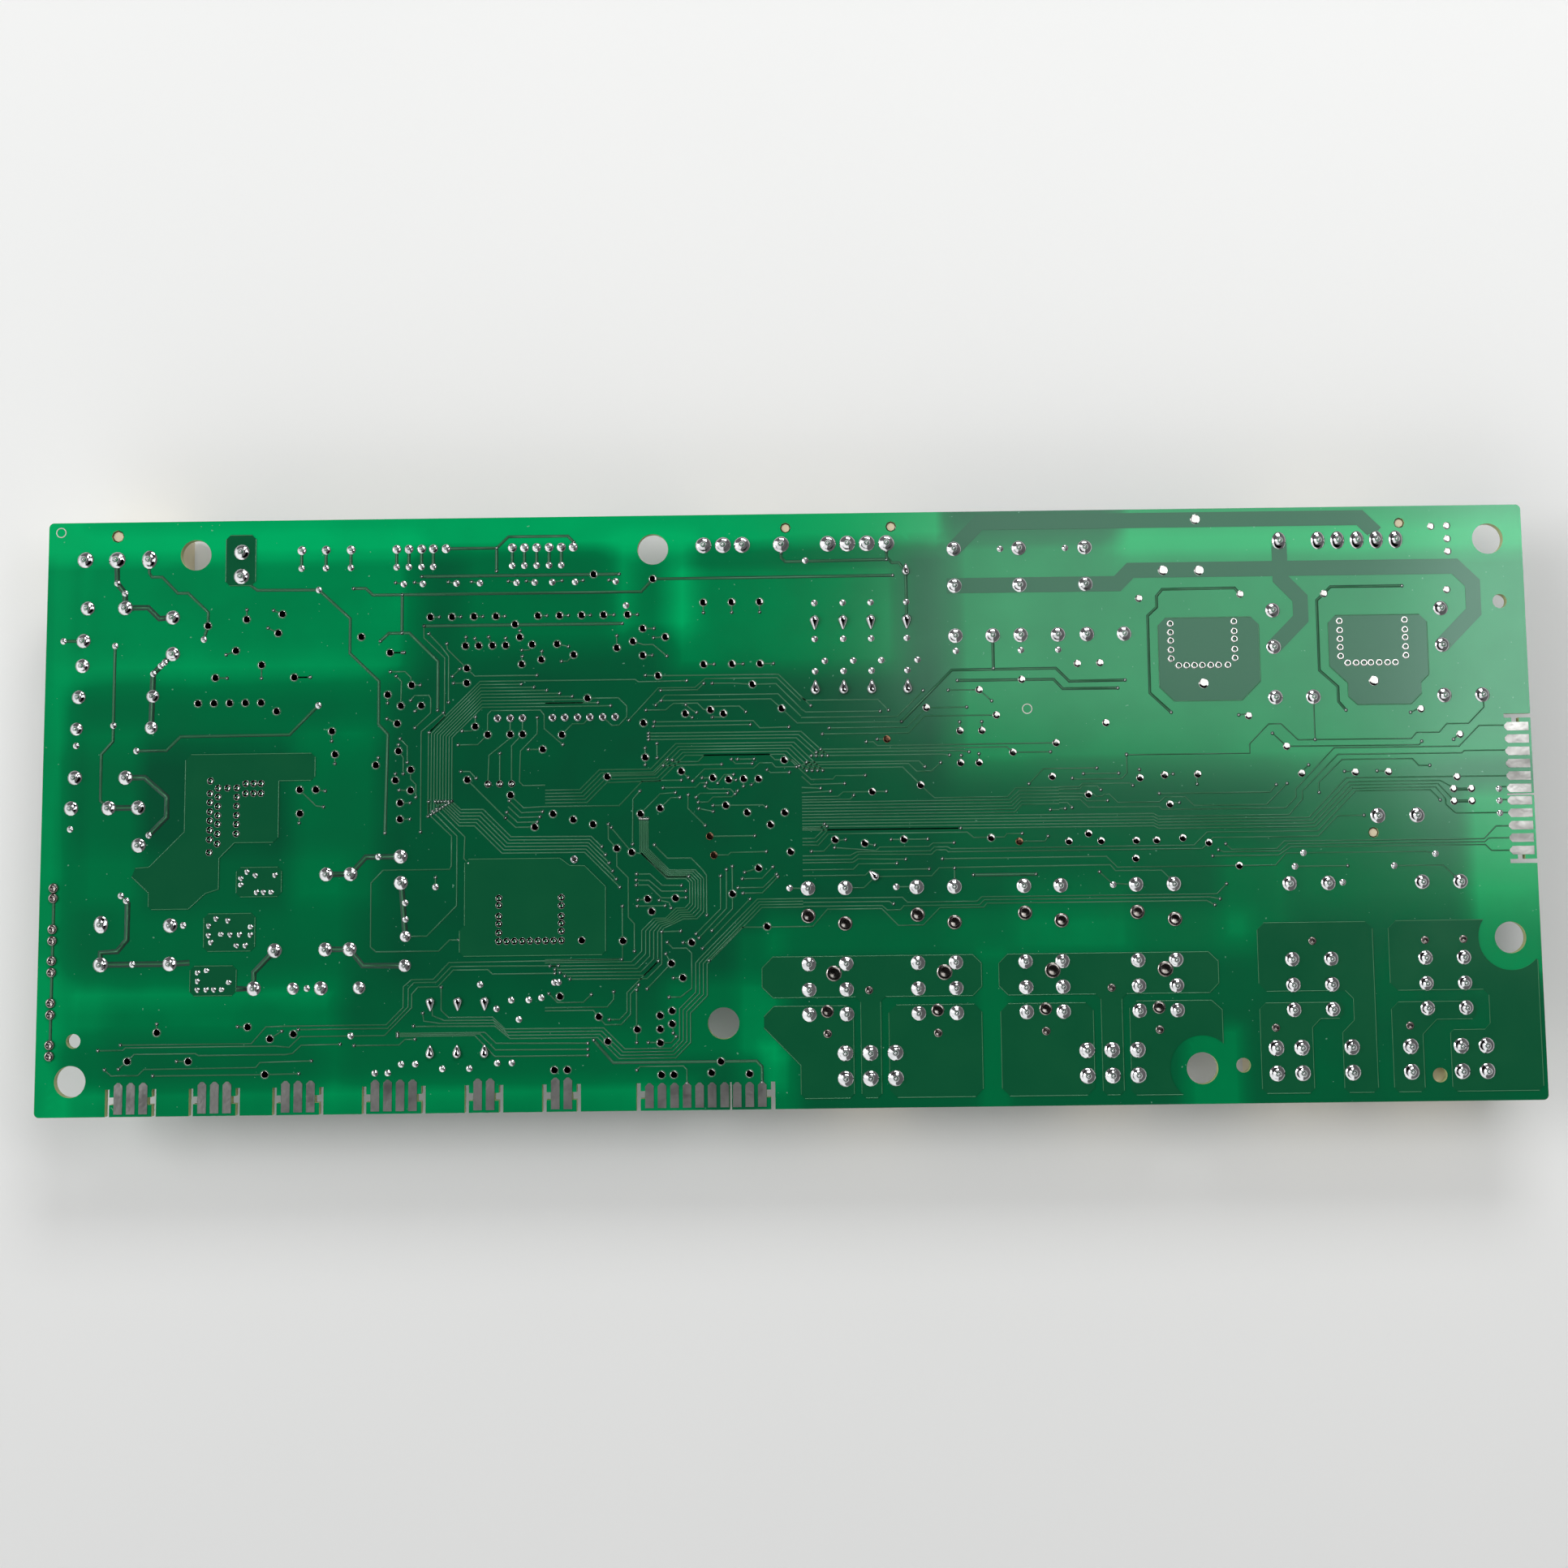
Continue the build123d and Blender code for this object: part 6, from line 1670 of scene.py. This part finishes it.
@dataclass
class PourEdges:
    """The pale line of painted highlight where the mask steps down at the rim of each wide copper
    area.
    """

    width: float = 0.16
    height: float = 0.05
    shortest: float = 2.2
    node: str = "copper_areas"

    def build(self, frame: dict) -> None:
        """Lays a thin line along the upper rim of every area."""
        form = bmesh.new()
        form.from_mesh(frame["nodes"][self.node].data)
        bmesh.ops.remove_doubles(form, verts=form.verts, dist=TOUCH)
        form.normal_update()
        lines = []
        for edge in form.edges:
            tops = [face for face in edge.link_faces if face.normal.z > 0.9]
            if len(tops) == 1 and edge.calc_length() > self.shortest * MM:
                lines.append([vert.co.copy() for vert in edge.verts])
        form.free()
        laid("pour_edges", lines, self.width, self.height, EdgeMask())


def pad_places() -> list[Point]:
    """Every place that a track may end on."""
    joints, pads = SolderJoints(), TestPads()
    tables = (
        joints.supply, joints.load_headers, joints.contact_relays, joints.power_relays,
        joints.headers, joints.small, joints.drops, joints.filled, joints.hollow,
        pads.left, pads.middle, pads.right, pads.brown_reflecting,
    )
    return [(entry[0], entry[1]) for table in tables for entry in table]


# ---------------------------------------------------------------- component side


PART_FINISHES: dict[str, Finish] = {
    "cream_nylon": NYLON,
    "tinned_brass": TINNED_BRASS,
    "blue_epoxy": BLUE_EPOXY,
    "dark_epoxy": DARK_EPOXY,
    "black_plastic": BLACK_PLASTIC,
    "grey_film": GREY_FILM,
    "red_film": RED_FILM,
    "ferrite": FERRITE,
    "enamelled_wire": ENAMEL,
    "yellow_tape": TAPE,
    "can_sleeve": SLEEVE,
    "resistor_coat": LACQUER,
    "pale_plastic": PALE_PLASTIC,
    "relay_case": RELAY_PLASTIC,
    "tinned_contact": FLAT_TIN,
    "solder": SOLDER,
}


def dress_packed_parts(frame: dict) -> None:
    """Gives every packed component the finish of its material slot."""
    for entry in frame["record"]["subparts"]:
        finish = PART_FINISHES.get(entry["material_slot"])
        if finish is not None:
            coat(frame, entry["node"], finish)


def relay_nodes(frame: dict) -> list[str]:
    """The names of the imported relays, in order."""
    return [name for name in sorted(frame["nodes"]) if "_relay_" in name and "driver" not in name]


def foot_of(low: Vector, high: Vector) -> Matrix:
    """A frame in the middle of a box's lower face."""
    return Matrix.Translation(((low.x + high.x) / 2, (low.y + high.y) / 2, low.z))


@dataclass
class Relays:
    """The sealed relays, with softened edges, a seam over the base and a sealing nib."""

    base_height: float = 1.4
    base_inset: float = 0.25
    seam: float = 0.12
    edge: float = 0.5
    nib_radius: float = 0.9
    nib_height: float = 0.35
    nib_inset: float = 2.2

    def case(self, low: Vector, high: Vector) -> Form:
        """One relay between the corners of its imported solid."""
        form = bmesh.new()
        split = high.z - self.base_height * MM
        inset = Vector((self.base_inset, self.base_inset, 0)) * MM
        add_box(form, Vector((*low.xy, split)) + inset, high - inset, 0.1 * MM)
        body_low = low + Vector((0, 0, self.nib_height * MM))
        add_box(form, body_low, Vector((*high.xy, split - self.seam * MM)), self.edge * MM)
        groove = Vector((self.seam, self.seam, 0)) * MM
        upper = Vector((*high.xy, split)) - groove
        add_box(form, Vector((*low.xy, split - self.seam * MM)) + groove, upper)
        inset = self.nib_inset * MM
        corner = Matrix.Translation((high.x - inset, low.y + inset, low.z))
        profile = [(0, 0), (self.nib_radius * 0.8, 0), (self.nib_radius, 0.2), (1, 0.6), (0, 0.6)]
        return joined([form, turned_mm(profile, 16, corner)])

    def build(self, frame: dict) -> None:
        """Builds every relay and shows it instead of its plain solid."""
        for node in relay_nodes(frame):
            mesh = mesh_of(self.case(*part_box(node)), node)
            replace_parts(dressed(f"{node}_case", mesh, RELAY_PLASTIC), node)


@dataclass
class Cans:
    """The electrolytic capacitors: a shrunk sleeve, a beaded neck and a scored metal end."""

    nodes: tuple = (
        "bulk_capacitor_1", "bulk_capacitor_2",
        "output_capacitor_1", "output_capacitor_2", "output_capacitor_3",
    )
    sides: int = 40
    lip: float = 0.55
    bead: float = 0.35
    score_width: float = 0.3
    score_depth: float = 0.04
    score_reach: float = 0.42  # half a score's length over the end's radius
    neck_drop: float = 2.2

    def sleeve(self, low: Vector, high: Vector) -> Form:
        """The sleeve of one can, drawn over its end's rim and into the neck's bead."""
        radius, height = (high.x - low.x) / 2 / MM, (high.z - low.z) / MM
        neck = height - self.neck_drop
        profile = [(0, 0.35), (radius - self.lip - 0.5, 0.35), (radius - self.lip, 0.05)]
        profile += [(radius - 0.25, 0), (radius - 0.05, 0.15), (radius, 0.4), (radius, neck - 0.6)]
        profile += [(radius - self.bead, neck), (radius, neck + 0.6), (radius, height - 0.3)]
        profile += [(radius - 0.3, height), (radius - self.lip - 0.6, height), (0, height - 0.1)]
        return turned_mm(profile, self.sides, foot_of(low, high))

    def end(self, low: Vector, high: Vector) -> Form:
        """The bare metal end inside the sleeve's lip, with three scored vents."""
        radius = (high.x - low.x) / 2 / MM - self.lip - 0.1
        foot = foot_of(low, high)
        profile = [(0, 0.15), (radius * 0.9, 0.12), (radius, 0.2), (radius, 0.5), (0, 0.5)]
        forms = [turned_mm(profile, 32, foot)]
        reach = radius * self.score_reach
        half = Vector((reach, self.score_width / 2, self.score_depth)) * MM
        shift = Vector((reach, 0, 0.13)) * MM
        for turn in (90, 210, 330):
            arm = bmesh.new()
            add_box(arm, shift - half, shift + half, 0.02 * MM)
            spin = foot @ Matrix.Rotation(math.radians(turn), 4, "Z")
            bmesh.ops.transform(arm, matrix=spin, verts=arm.verts)
            forms.append(arm)
        return joined(forms)

    def build(self) -> None:
        """Builds every can and shows it instead of its plain solid."""
        for node in self.nodes:
            low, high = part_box(node)
            sleeve = mesh_of(self.sleeve(low, high), node, smooth=True)
            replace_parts(dressed(f"{node}_sleeve", sleeve, SLEEVE), node)
            dressed(f"{node}_end", mesh_of(self.end(low, high), node), CAN_TOP)


@dataclass
class Windings:
    """The turns of wire on the choke's two legs."""

    wire: float = 0.85
    facets: int = 6
    sides: int = 20

    def turns(self, island: Island) -> Form:
        """Round turns of wire side by side that fill one winding."""
        length, radius = island.size.x, island.size.y / 2
        count = int(length / (self.wire * MM))
        thread = length / count / 2
        angles = [2 * math.pi * step / self.facets for step in range(self.facets + 1)]
        ring = [(radius - thread + thread * math.cos(a), thread * math.sin(a)) for a in angles]
        forms = []
        for number in range(count):
            x = island.low.x + (2 * number + 1) * thread
            spot = Matrix.Translation((x, island.middle.y, island.middle.z))
            lie = spot @ Matrix.Rotation(math.pi / 2, 4, "Y")
            forms.append(hoop(turned(ring, self.sides, lie)))
        return joined(forms)

    def build(self, frame: dict) -> None:
        """Winds the choke and shows the turns instead of the plain windings."""
        forms = [self.turns(island) for island in islands("choke_windings", frame)]
        mesh = mesh_of(joined(forms), "turns", smooth=True)
        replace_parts(dressed("choke_turns", mesh, ENAMEL), "choke_windings")


@dataclass
class Discs:
    """The dipped varistor and inrush thermistor, with rounded coats and round leads."""

    lead: float = 0.35
    pitch: float = 7.6
    lead_overlap: float = 1.2

    def disc(self, node: str, faces_x: bool) -> tuple[Form, Form]:
        """The coat and the leads of one disc.

        Args:
            node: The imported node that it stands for.
            faces_x: True where the disc's flat sides face along X.

        Returns:
            The coat and the leads.
        """
        low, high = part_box(node)
        middle, size = (low + high) / 2, high - low
        radius, half = (size.y / 2, size.x / 2) if faces_x else (size.x / 2, size.y / 2)
        centre = Vector((middle.x, middle.y, low.z + radius))
        profile = [(0, -half), (radius * 0.62, -half), (radius * 0.84, -half * 0.86)]
        profile += [(radius * 0.96, -half * 0.5), (radius, 0), (radius * 0.96, half * 0.5)]
        profile += [(radius * 0.84, half * 0.86), (radius * 0.62, half), (0, half)]
        tip = Matrix.Rotation(math.pi / 2, 4, "Y" if faces_x else "X")
        coat_form = turned(profile, 32, Matrix.Translation(centre) @ tip)
        legs = []
        for side in (-1, 1):
            shift = side * self.pitch / 2 * MM
            apart = Vector((0, shift, 0)) if faces_x else Vector((shift, 0, 0))
            foot = Vector((middle.x, middle.y, 0)) + apart
            deep = math.sqrt(max(0.0, radius**2 - shift**2))
            start, end = centre.z + deep - self.lead_overlap * MM, high.z
            flare = [(0, start), (self.lead * 2.2 * MM, start), (self.lead * 1.2 * MM, start + MM)]
            flare += [(self.lead * MM, start + 1.6 * MM), (self.lead * MM, end), (0, end)]
            legs.append(turned(flare, 12, Matrix.Translation(foot)))
        return coat_form, joined(legs)

    def build(self) -> None:
        """Builds both discs and shows them instead of their plain solids."""
        for node, faces_x, finish, slot in (
            ("varistor", False, BLUE_EPOXY, "blue_epoxy"),
            ("inrush_thermistor", True, DARK_EPOXY, "dark_epoxy"),
        ):
            coat_form, legs = self.disc(node, faces_x)
            piece = dressed(f"{node}_coat", mesh_of(coat_form, node, smooth=True), finish)
            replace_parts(piece, node)
            leads = mesh_of(legs, node, smooth=True)
            dressed(f"{node}_leads", leads, TINNED_BRASS)


@dataclass
class Resistors:
    """The load resistors: waisted lacquered bodies with bands, on bent round leads."""

    lead: float = 0.35
    body: float = 10.6
    radius: float = 2.1
    waist: float = 0.86  # the waist's radius over the ends'
    bend: float = 0.9
    bands: tuple = (-2.9, -1.6, -0.3, 2.6)

    def form(self, lie: Matrix) -> Form:
        """One waisted body, with its axis laid by a matrix."""
        half, full, neck = self.body / 2, self.radius, self.radius * self.waist
        profile = [(0, -half), (1.2, -half), (full * 0.97, -half + 0.7), (full, -half + 1.3)]
        profile += [(neck, -half + 2.6), (neck, half - 2.6)]
        profile += [(full, half - 1.3), (full * 0.97, half - 0.7), (1.2, half), (0, half)]
        return turned_mm(profile, 20, lie)

    def band(self, place: float, lie: Matrix) -> Form:
        """One painted band round a body's waist."""
        rim = self.radius * self.waist + 0.03
        ring = [(rim - 0.1, place), (rim, place + 0.05), (rim, place + 0.6)]
        ring += [(rim - 0.1, place + 0.65), (rim - 0.1, place)]
        return hoop(turned_mm(ring, 20, lie))

    def build(self, frame: dict) -> None:
        """Builds every resistor and shows them instead of the plain ones."""
        bodies, leads, bands = [], [], []
        for island in islands("load_resistors", frame):
            axis = island.low.z + self.radius * MM
            lie = Matrix.Translation((island.middle.x, island.middle.y, axis))
            lie = lie @ Matrix.Rotation(math.pi / 2, 4, "X")
            bodies.append(self.form(lie))
            bands += [self.band(place, lie) for place in self.bands]
            leads.append(self.wire(island, axis))
        mesh = mesh_of(joined(bodies), "bodies", smooth=True)
        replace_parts(dressed("resistor_bodies", mesh, LACQUER), "load_resistors")
        dressed("resistor_bands", mesh_of(joined(bands), "bands", smooth=True), BAND_PAINT)
        mesh = mesh_of(joined(leads), "leads", smooth=True)
        dressed("resistor_leads", mesh, TINNED_BRASS)

    def wire(self, island: Island, axis: float) -> Form:
        """The lead of one resistor, bent up to the board at both ends."""
        x, low, high, top = island.middle.x, island.low.y, island.high.y, island.high.z
        first, last = low + self.lead * MM, high - self.lead * MM
        bend, part = self.bend * MM, self.bend * 0.3 * MM
        path = [(first, top), (first, axis + bend), (first + part, axis + part)]
        path += [(first + bend, axis), (last - bend, axis), (last - part, axis + part)]
        path += [(last, axis + bend), (last, top)]
        curve = paths_curve([[(x, y, z) for y, z in path]])
        curve.bevel_depth, curve.bevel_resolution = self.lead * MM, 1
        curve.use_fill_caps = True
        holder = bpy.data.objects.new("lead", curve)
        mesh = bpy.data.meshes.new_from_object(holder)
        form = bmesh.new()
        form.from_mesh(mesh)
        bpy.data.objects.remove(holder)
        return form


class LeadRow(NamedTuple):
    """How many leads a chip has along X and along Y on a side, their pitch and width in mm."""

    node: str
    along_x: int
    along_y: int
    pitch: float
    width: float


@dataclass
class ChipLeads:
    """The bent leads of the chips, set along their sides."""

    reach: float = 1.1
    rise: float = 0.8
    lift: float = -1.63  # from the solder side to just under the component side
    rows: tuple = (
        LeadRow("controller_chip", 16, 16, 0.8, 0.35),
        LeadRow("relay_driver_chips", 8, 0, 1.27, 0.42),
        LeadRow("supply_chip", 0, 4, 2.54, 0.5),
        LeadRow("optocouplers", 0, 2, 2.54, 0.5),
    )

    def lead(self) -> Form:
        """One lead of unit size that leaves a chip along X and steps to the board."""
        form = bmesh.new()
        profile = [(0, -1), (0.42, -1), (0.62, -0.12), (1, -0.12), (1, 0), (0.5, 0), (0.34, -0.86)]
        profile += [(0, -0.86)]
        near = [form.verts.new((x, -0.5, z)) for x, z in profile]
        far = [form.verts.new((x, 0.5, z)) for x, z in profile]
        form.faces.new(near)
        form.faces.new(reversed(far))
        for step in range(len(profile)):
            after = (step + 1) % len(profile)
            form.faces.new((near[after], near[step], far[step], far[after]))
        return form

    def side(self, row: LeadRow, count: int, middle: Point, half: float, turn: int) -> list[Spot]:
        """The spots of the leads on one side of a chip.

        Args:
            row: The chip's leads.
            count: How many stand on this side.
            middle: The chip's column and row.
            half: Half the chip's size towards this side, in millimetres.
            turn: The way the side faces, in degrees from X.

        Returns:
            One spot for each lead.
        """
        angle, spots = math.radians(turn), []
        for number in range(count):
            shift = (number - (count - 1) / 2) * row.pitch
            column = middle[0] + math.cos(angle) * half - math.sin(angle) * shift
            place = middle[1] + math.sin(angle) * half + math.cos(angle) * shift
            spots.append(Spot(column, place, self.reach, row.width, self.rise, turn, self.lift))
        return spots

    def build(self, layout: Layout, frame: dict) -> None:
        """Sets the leads of every chip."""
        for row in self.rows:
            spots = []
            for island in islands(row.node, frame):
                middle = (
                    (island.middle.x - layout.low.x) / MM, (island.middle.y - layout.low.y) / MM
                )
                half_x, half_y = island.size.x / 2 / MM, island.size.y / 2 / MM
                for turn in (0, 180):
                    spots += self.side(row, row.along_y, middle, half_x, turn)
                for turn in (90, 270):
                    spots += self.side(row, row.along_x, middle, half_y, turn)
            name = f"{row.node}_leads"
            set_on_spots(name, layout, spots, self.lead(), FLAT_TIN)


# ---------------------------------------------------------------- tracks and print below


@dataclass
class UndersideTracks:
    """Tracks on the component side: wide mains runs and lanes from the headers and relays."""

    broad_width: float = 2.4
    fine_width: float = 0.4
    height: float = 0.07
    sink: float = 0.02
    mask: float = 0.025
    pitch: float = 0.9
    broad: tuple = (
        ((7.6, 112.3), (3, 108), (3, 99), (7.6, 95.6)), ((20.7, 112.2), (20.7, 106), (16, 102.3)),
        ((16, 102.3), (28, 101.5), (36, 103), (39.7, 108.5)), ((6.9, 84.1), (3, 80), (3, 65),
        (5.9, 61.5)), ((22, 84.1), (27.5, 80), (27.5, 66), (19.5, 61.5)),
        ((26.5, 37.75), (33, 43), (48, 43), (57.8, 47.6)), ((12.5, 38.1), (12.5, 48),
        (19.75, 53.9)), ((43.5, 25), (49, 20.5), (64, 20.5), (73.8, 29.2)),
        ((62.7, 32.6), (66, 36), (66, 42), (62.7, 47.6)), ((26.5, 30.1), (34, 22), (43.5, 25)),
    )
    header_columns: tuple = (*POWER_COLUMNS[3:], 81.6, *SIGNAL_COLUMNS, 107.7)
    turn: float = 3.0  # length of each corner cut, along both ways

    def lanes(self) -> list[list[Point]]:
        """The side-by-side runs from the relays and the headers to the chips between them."""
        paths = []
        runs = (
            (RELAY_COLUMNS, 43.6, 54, 112, -1, 44),
            (self.header_columns, 113.7, 95, 140, 1, 72),
        )
        for columns, start, first_row, first_end, way, stop in runs:
            for number, column in enumerate(columns):
                row = first_row + number * self.pitch
                end = first_end + way * number * self.pitch
                bend = [(end - way * self.turn, row), (end, row - self.turn)]
                paths.append([(column, start), (column, row), *bend, (end, stop)])
        return paths

    def lay(
        self, name: str, layout: Layout, paths: Iterable[Sequence[Point]], width: float
    ) -> None:
        """Lays the underside's tracks of one width."""
        drop = self.mask + self.height / 2 - self.sink
        lines = [[layout.below(column, row, drop) for column, row in path] for path in paths]
        laid(name, lines, width, self.height, CoveredCopper(), crown=0.8)

    def build(self, layout: Layout) -> None:
        """Lays both widths."""
        self.lay("underside_broad_tracks", layout, self.broad, self.broad_width)
        self.lay("underside_lanes", layout, self.lanes(), self.fine_width)


@dataclass
class PartOutlines:
    """White printed outlines on the component side round the larger parts."""

    gap: float = 0.6
    width: float = 0.22
    height: float = 0.04
    drop: float = 0.035
    facets: int = 24
    round_parts: tuple = Cans.nodes
    plain: tuple = (
        "mains_connector", "fuse", "film_capacitor_1", "film_capacitor_2", "pulse_capacitor",
        "choke_bobbin", "transformer_bobbin", "controller_chip", "supply_chip",
    )

    def outline(self, node: str, z: float) -> list[Vector]:
        """The closed outline of one part at a height: a circle or a rectangle."""
        low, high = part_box(node)
        middle, half = (low + high) / 2, (high - low) / 2
        if node in self.round_parts:
            radius = half.x + self.gap * MM
            turns = [2 * math.pi * step / self.facets for step in range(self.facets + 1)]
            return [
                Vector((middle.x + radius * math.cos(t), middle.y + radius * math.sin(t), z))
                for t in turns
            ]
        reach = half + Vector((self.gap, self.gap, 0)) * MM
        signs = ((-1, -1), (1, -1), (1, 1), (-1, 1), (-1, -1), (0, -1))
        return [Vector((middle.x + a * reach.x, middle.y + b * reach.y, z)) for a, b in signs]

    def build(self, layout: Layout, frame: dict) -> None:
        """Prints the outlines."""
        z = layout.below(0, 0, self.drop).z
        headers = [n for n in sorted(frame["nodes"]) if "header_" in n and "pins" not in n]
        nodes = [*self.plain, *self.round_parts, *relay_nodes(frame), *headers]
        lines = [self.outline(node, z) for node in nodes if node in frame["nodes"]]
        laid("part_outlines", lines, self.width, self.height, INK, crown=0.8)


# ---------------------------------------------------------------- camera and studio


@dataclass
class Camera:
    """The camera that looks down on the board."""

    stand: tuple = (7.10, -7.47, 412.89)  # millimetres
    turn: tuple = (5.666, 0.194, -0.724)  # an axis as long as the turn's degrees
    lens: float = 44.72
    sensor: float = 36.0
    shift: Point = (-0.01972, -0.08516)
    clip: Point = (0.01, 10.0)

    def build(self) -> None:
        """Puts the camera in place and makes it the scene's own."""
        data = bpy.data.cameras.new("camera")
        data.lens, data.sensor_width = self.lens, self.sensor
        data.shift_x, data.shift_y = self.shift
        data.clip_start, data.clip_end = self.clip
        turn = Vector(self.turn)
        tilt = Matrix.Rotation(math.radians(turn.length), 4, turn.normalized())
        camera = linked("camera", data)
        camera.matrix_world = Matrix.Translation(Vector(self.stand) * MM) @ tilt
        bpy.context.scene.camera = camera


class Point3(NamedTuple):
    """A place in the studio, in metres."""

    x: float
    y: float
    z: float


@dataclass(frozen=True)
class Lamp:
    """A soft rectangular lamp that faces its aim, turned about the upright in degrees."""

    name: str
    stand: Point3
    width: float
    depth: float
    radiance: float
    aim: Point3 = Point3(0.0, 0.0, 0.0)
    turn: float = 0.0

    def build(self) -> None:
        """Hangs the lamp and points it."""
        data = bpy.data.lights.new(self.name, "AREA")
        data.shape, data.size, data.size_y = "RECTANGLE", self.width, self.depth
        data.energy = self.radiance * math.pi * self.width * self.depth
        way = Vector(self.aim) - Vector(self.stand)
        look = way.to_track_quat("-Z", "Y").to_matrix().to_4x4()
        spin = Matrix.Rotation(math.radians(self.turn), 4, "Z")
        linked(self.name, data).matrix_world = Matrix.Translation(self.stand) @ spin @ look


@dataclass
class Studio:
    """The pale floor, the soft lamps and the surrounding light."""

    floor_side: float = 4.0
    floor_depth: float = 0.02
    floor_bevel: float = 0.001
    strength: float = 1.5
    lamps: tuple = (
        Lamp("softbox", Point3(0.25, 0.185, 0.62), 0.38, 0.31, 1.9, Point3(0.25, 0.185, 0), -9.0),
        Lamp("hot_spot", Point3(0.40, 0.16, 0.60), 0.16, 0.36, 2.6, Point3(0.40, 0.16, 0), -5.0),
        Lamp("fill", Point3(-0.85, 0.2, 0.62), 0.5, 0.3, 8.2),
        Lamp("back", Point3(0.15, 0.9, 0.62), 0.5, 0.3, 9.4),
    )

    def build(self) -> None:
        """Lays the floor, hangs the lamps and sets the world."""
        form = bmesh.new()
        half = self.floor_side / 2
        low, high = Vector((-half, -half, -self.floor_depth)), Vector((half, half, 0))
        add_box(form, low, high, self.floor_bevel)
        mesh = mesh_of(form, "floor")
        mesh.materials.append(FloorFinish().material())
        floor = linked("floor", mesh)
        for lamp in self.lamps:
            lamp.build()
        self.surround()

    def surround(self) -> None:
        """Sets the world: dark overhead, brighter on one side and pale at the horizon."""
        world = bpy.data.worlds.new("studio")
        bpy.context.scene.world = world
        world.use_nodes = True
        world.node_tree.nodes.clear()
        shading = Shading(world.node_tree)
        split = shading.node("ShaderNodeSeparateXYZ")
        shading.feed(split.inputs[0], shading.node("ShaderNodeTexCoord").outputs["Generated"])
        stops = [(0.0, grey(0.95)), (0.66, grey(1.0)), (0.76, grey(0.15)), (0.8, grey(0.0))]
        height = shading.ramp(split.outputs["Z"], stops)
        left = shading.maths("MULTIPLY", split.outputs["X"], -0.75)
        near = shading.maths("MULTIPLY", split.outputs["Y"], -0.5)
        side = shading.maths("MULTIPLY", shading.maths("ADD", left, near), 0.5)
        stops = [(0.0, grey(0.3)), (0.12, grey(0.12)), (0.64, grey(0.13)), (0.71, grey(1.0))]
        sides = shading.ramp(shading.maths("ADD", side, 0.5), stops)
        background = shading.node("ShaderNodeBackground")
        background.inputs["Strength"].default_value = self.strength
        room = shading.mixed(height, (0.0, 0.0, 0.0), sides)
        low = shading.ramp(split.outputs["Z"], [(0.14, grey(1.0)), (0.2, grey(0.0))])
        shading.feed(background.inputs["Color"], shading.mixed(low, room, grey(0.55)))
        output = shading.node("ShaderNodeOutputWorld")
        shading.feed(output.inputs["Surface"], background.outputs[0])
        bpy.context.scene.view_settings.view_transform = "Standard"


@dataclass(frozen=True)
class FloorFinish:
    """A pale matt floor with a very faint cloud in its tone."""

    pale: Colour = srgb(246, 246, 245)
    dim: Colour = srgb(241, 242, 241)

    def material(self) -> bpy.types.Material:
        """The floor's material."""
        made = bpy.data.materials.new("floor")
        made.use_nodes = True
        shading = Shading(made.node_tree)
        shader = made.node_tree.nodes["Principled BSDF"]
        cloud = shading.noise(shading.place(), 6.0, 3.0)
        shading.feed(shader.inputs["Base Color"], shading.mixed(cloud, self.pale, self.dim))
        shader.inputs["Roughness"].default_value = 0.9
        shader.inputs["Specular IOR Level"].default_value = 0.0
        return made


def main() -> None:
    """Builds the dressed board piece by piece."""
    logging.basicConfig(level=logging.INFO, format="%(message)s")
    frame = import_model()
    low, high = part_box("circuit_board")
    layout = Layout(low, high)
    Camera().build()
    Studio().build()
    dress_packed_parts(frame)
    BoardDressing().build(layout, frame)
    MaskFilm().build(layout, frame)
    SolderJoints().build(layout)
    TestPads().build(layout)
    Tracks().build(layout, pad_places())
    PourEdges().build(frame)
    UndersideTracks().build(layout)
    PartOutlines().build(layout, frame)
    Relays().build(frame)
    Cans().build()
    Windings().build(frame)
    Discs().build()
    Resistors().build(frame)
    ChipLeads().build(layout, frame)


if __name__ == "__main__":
    main()
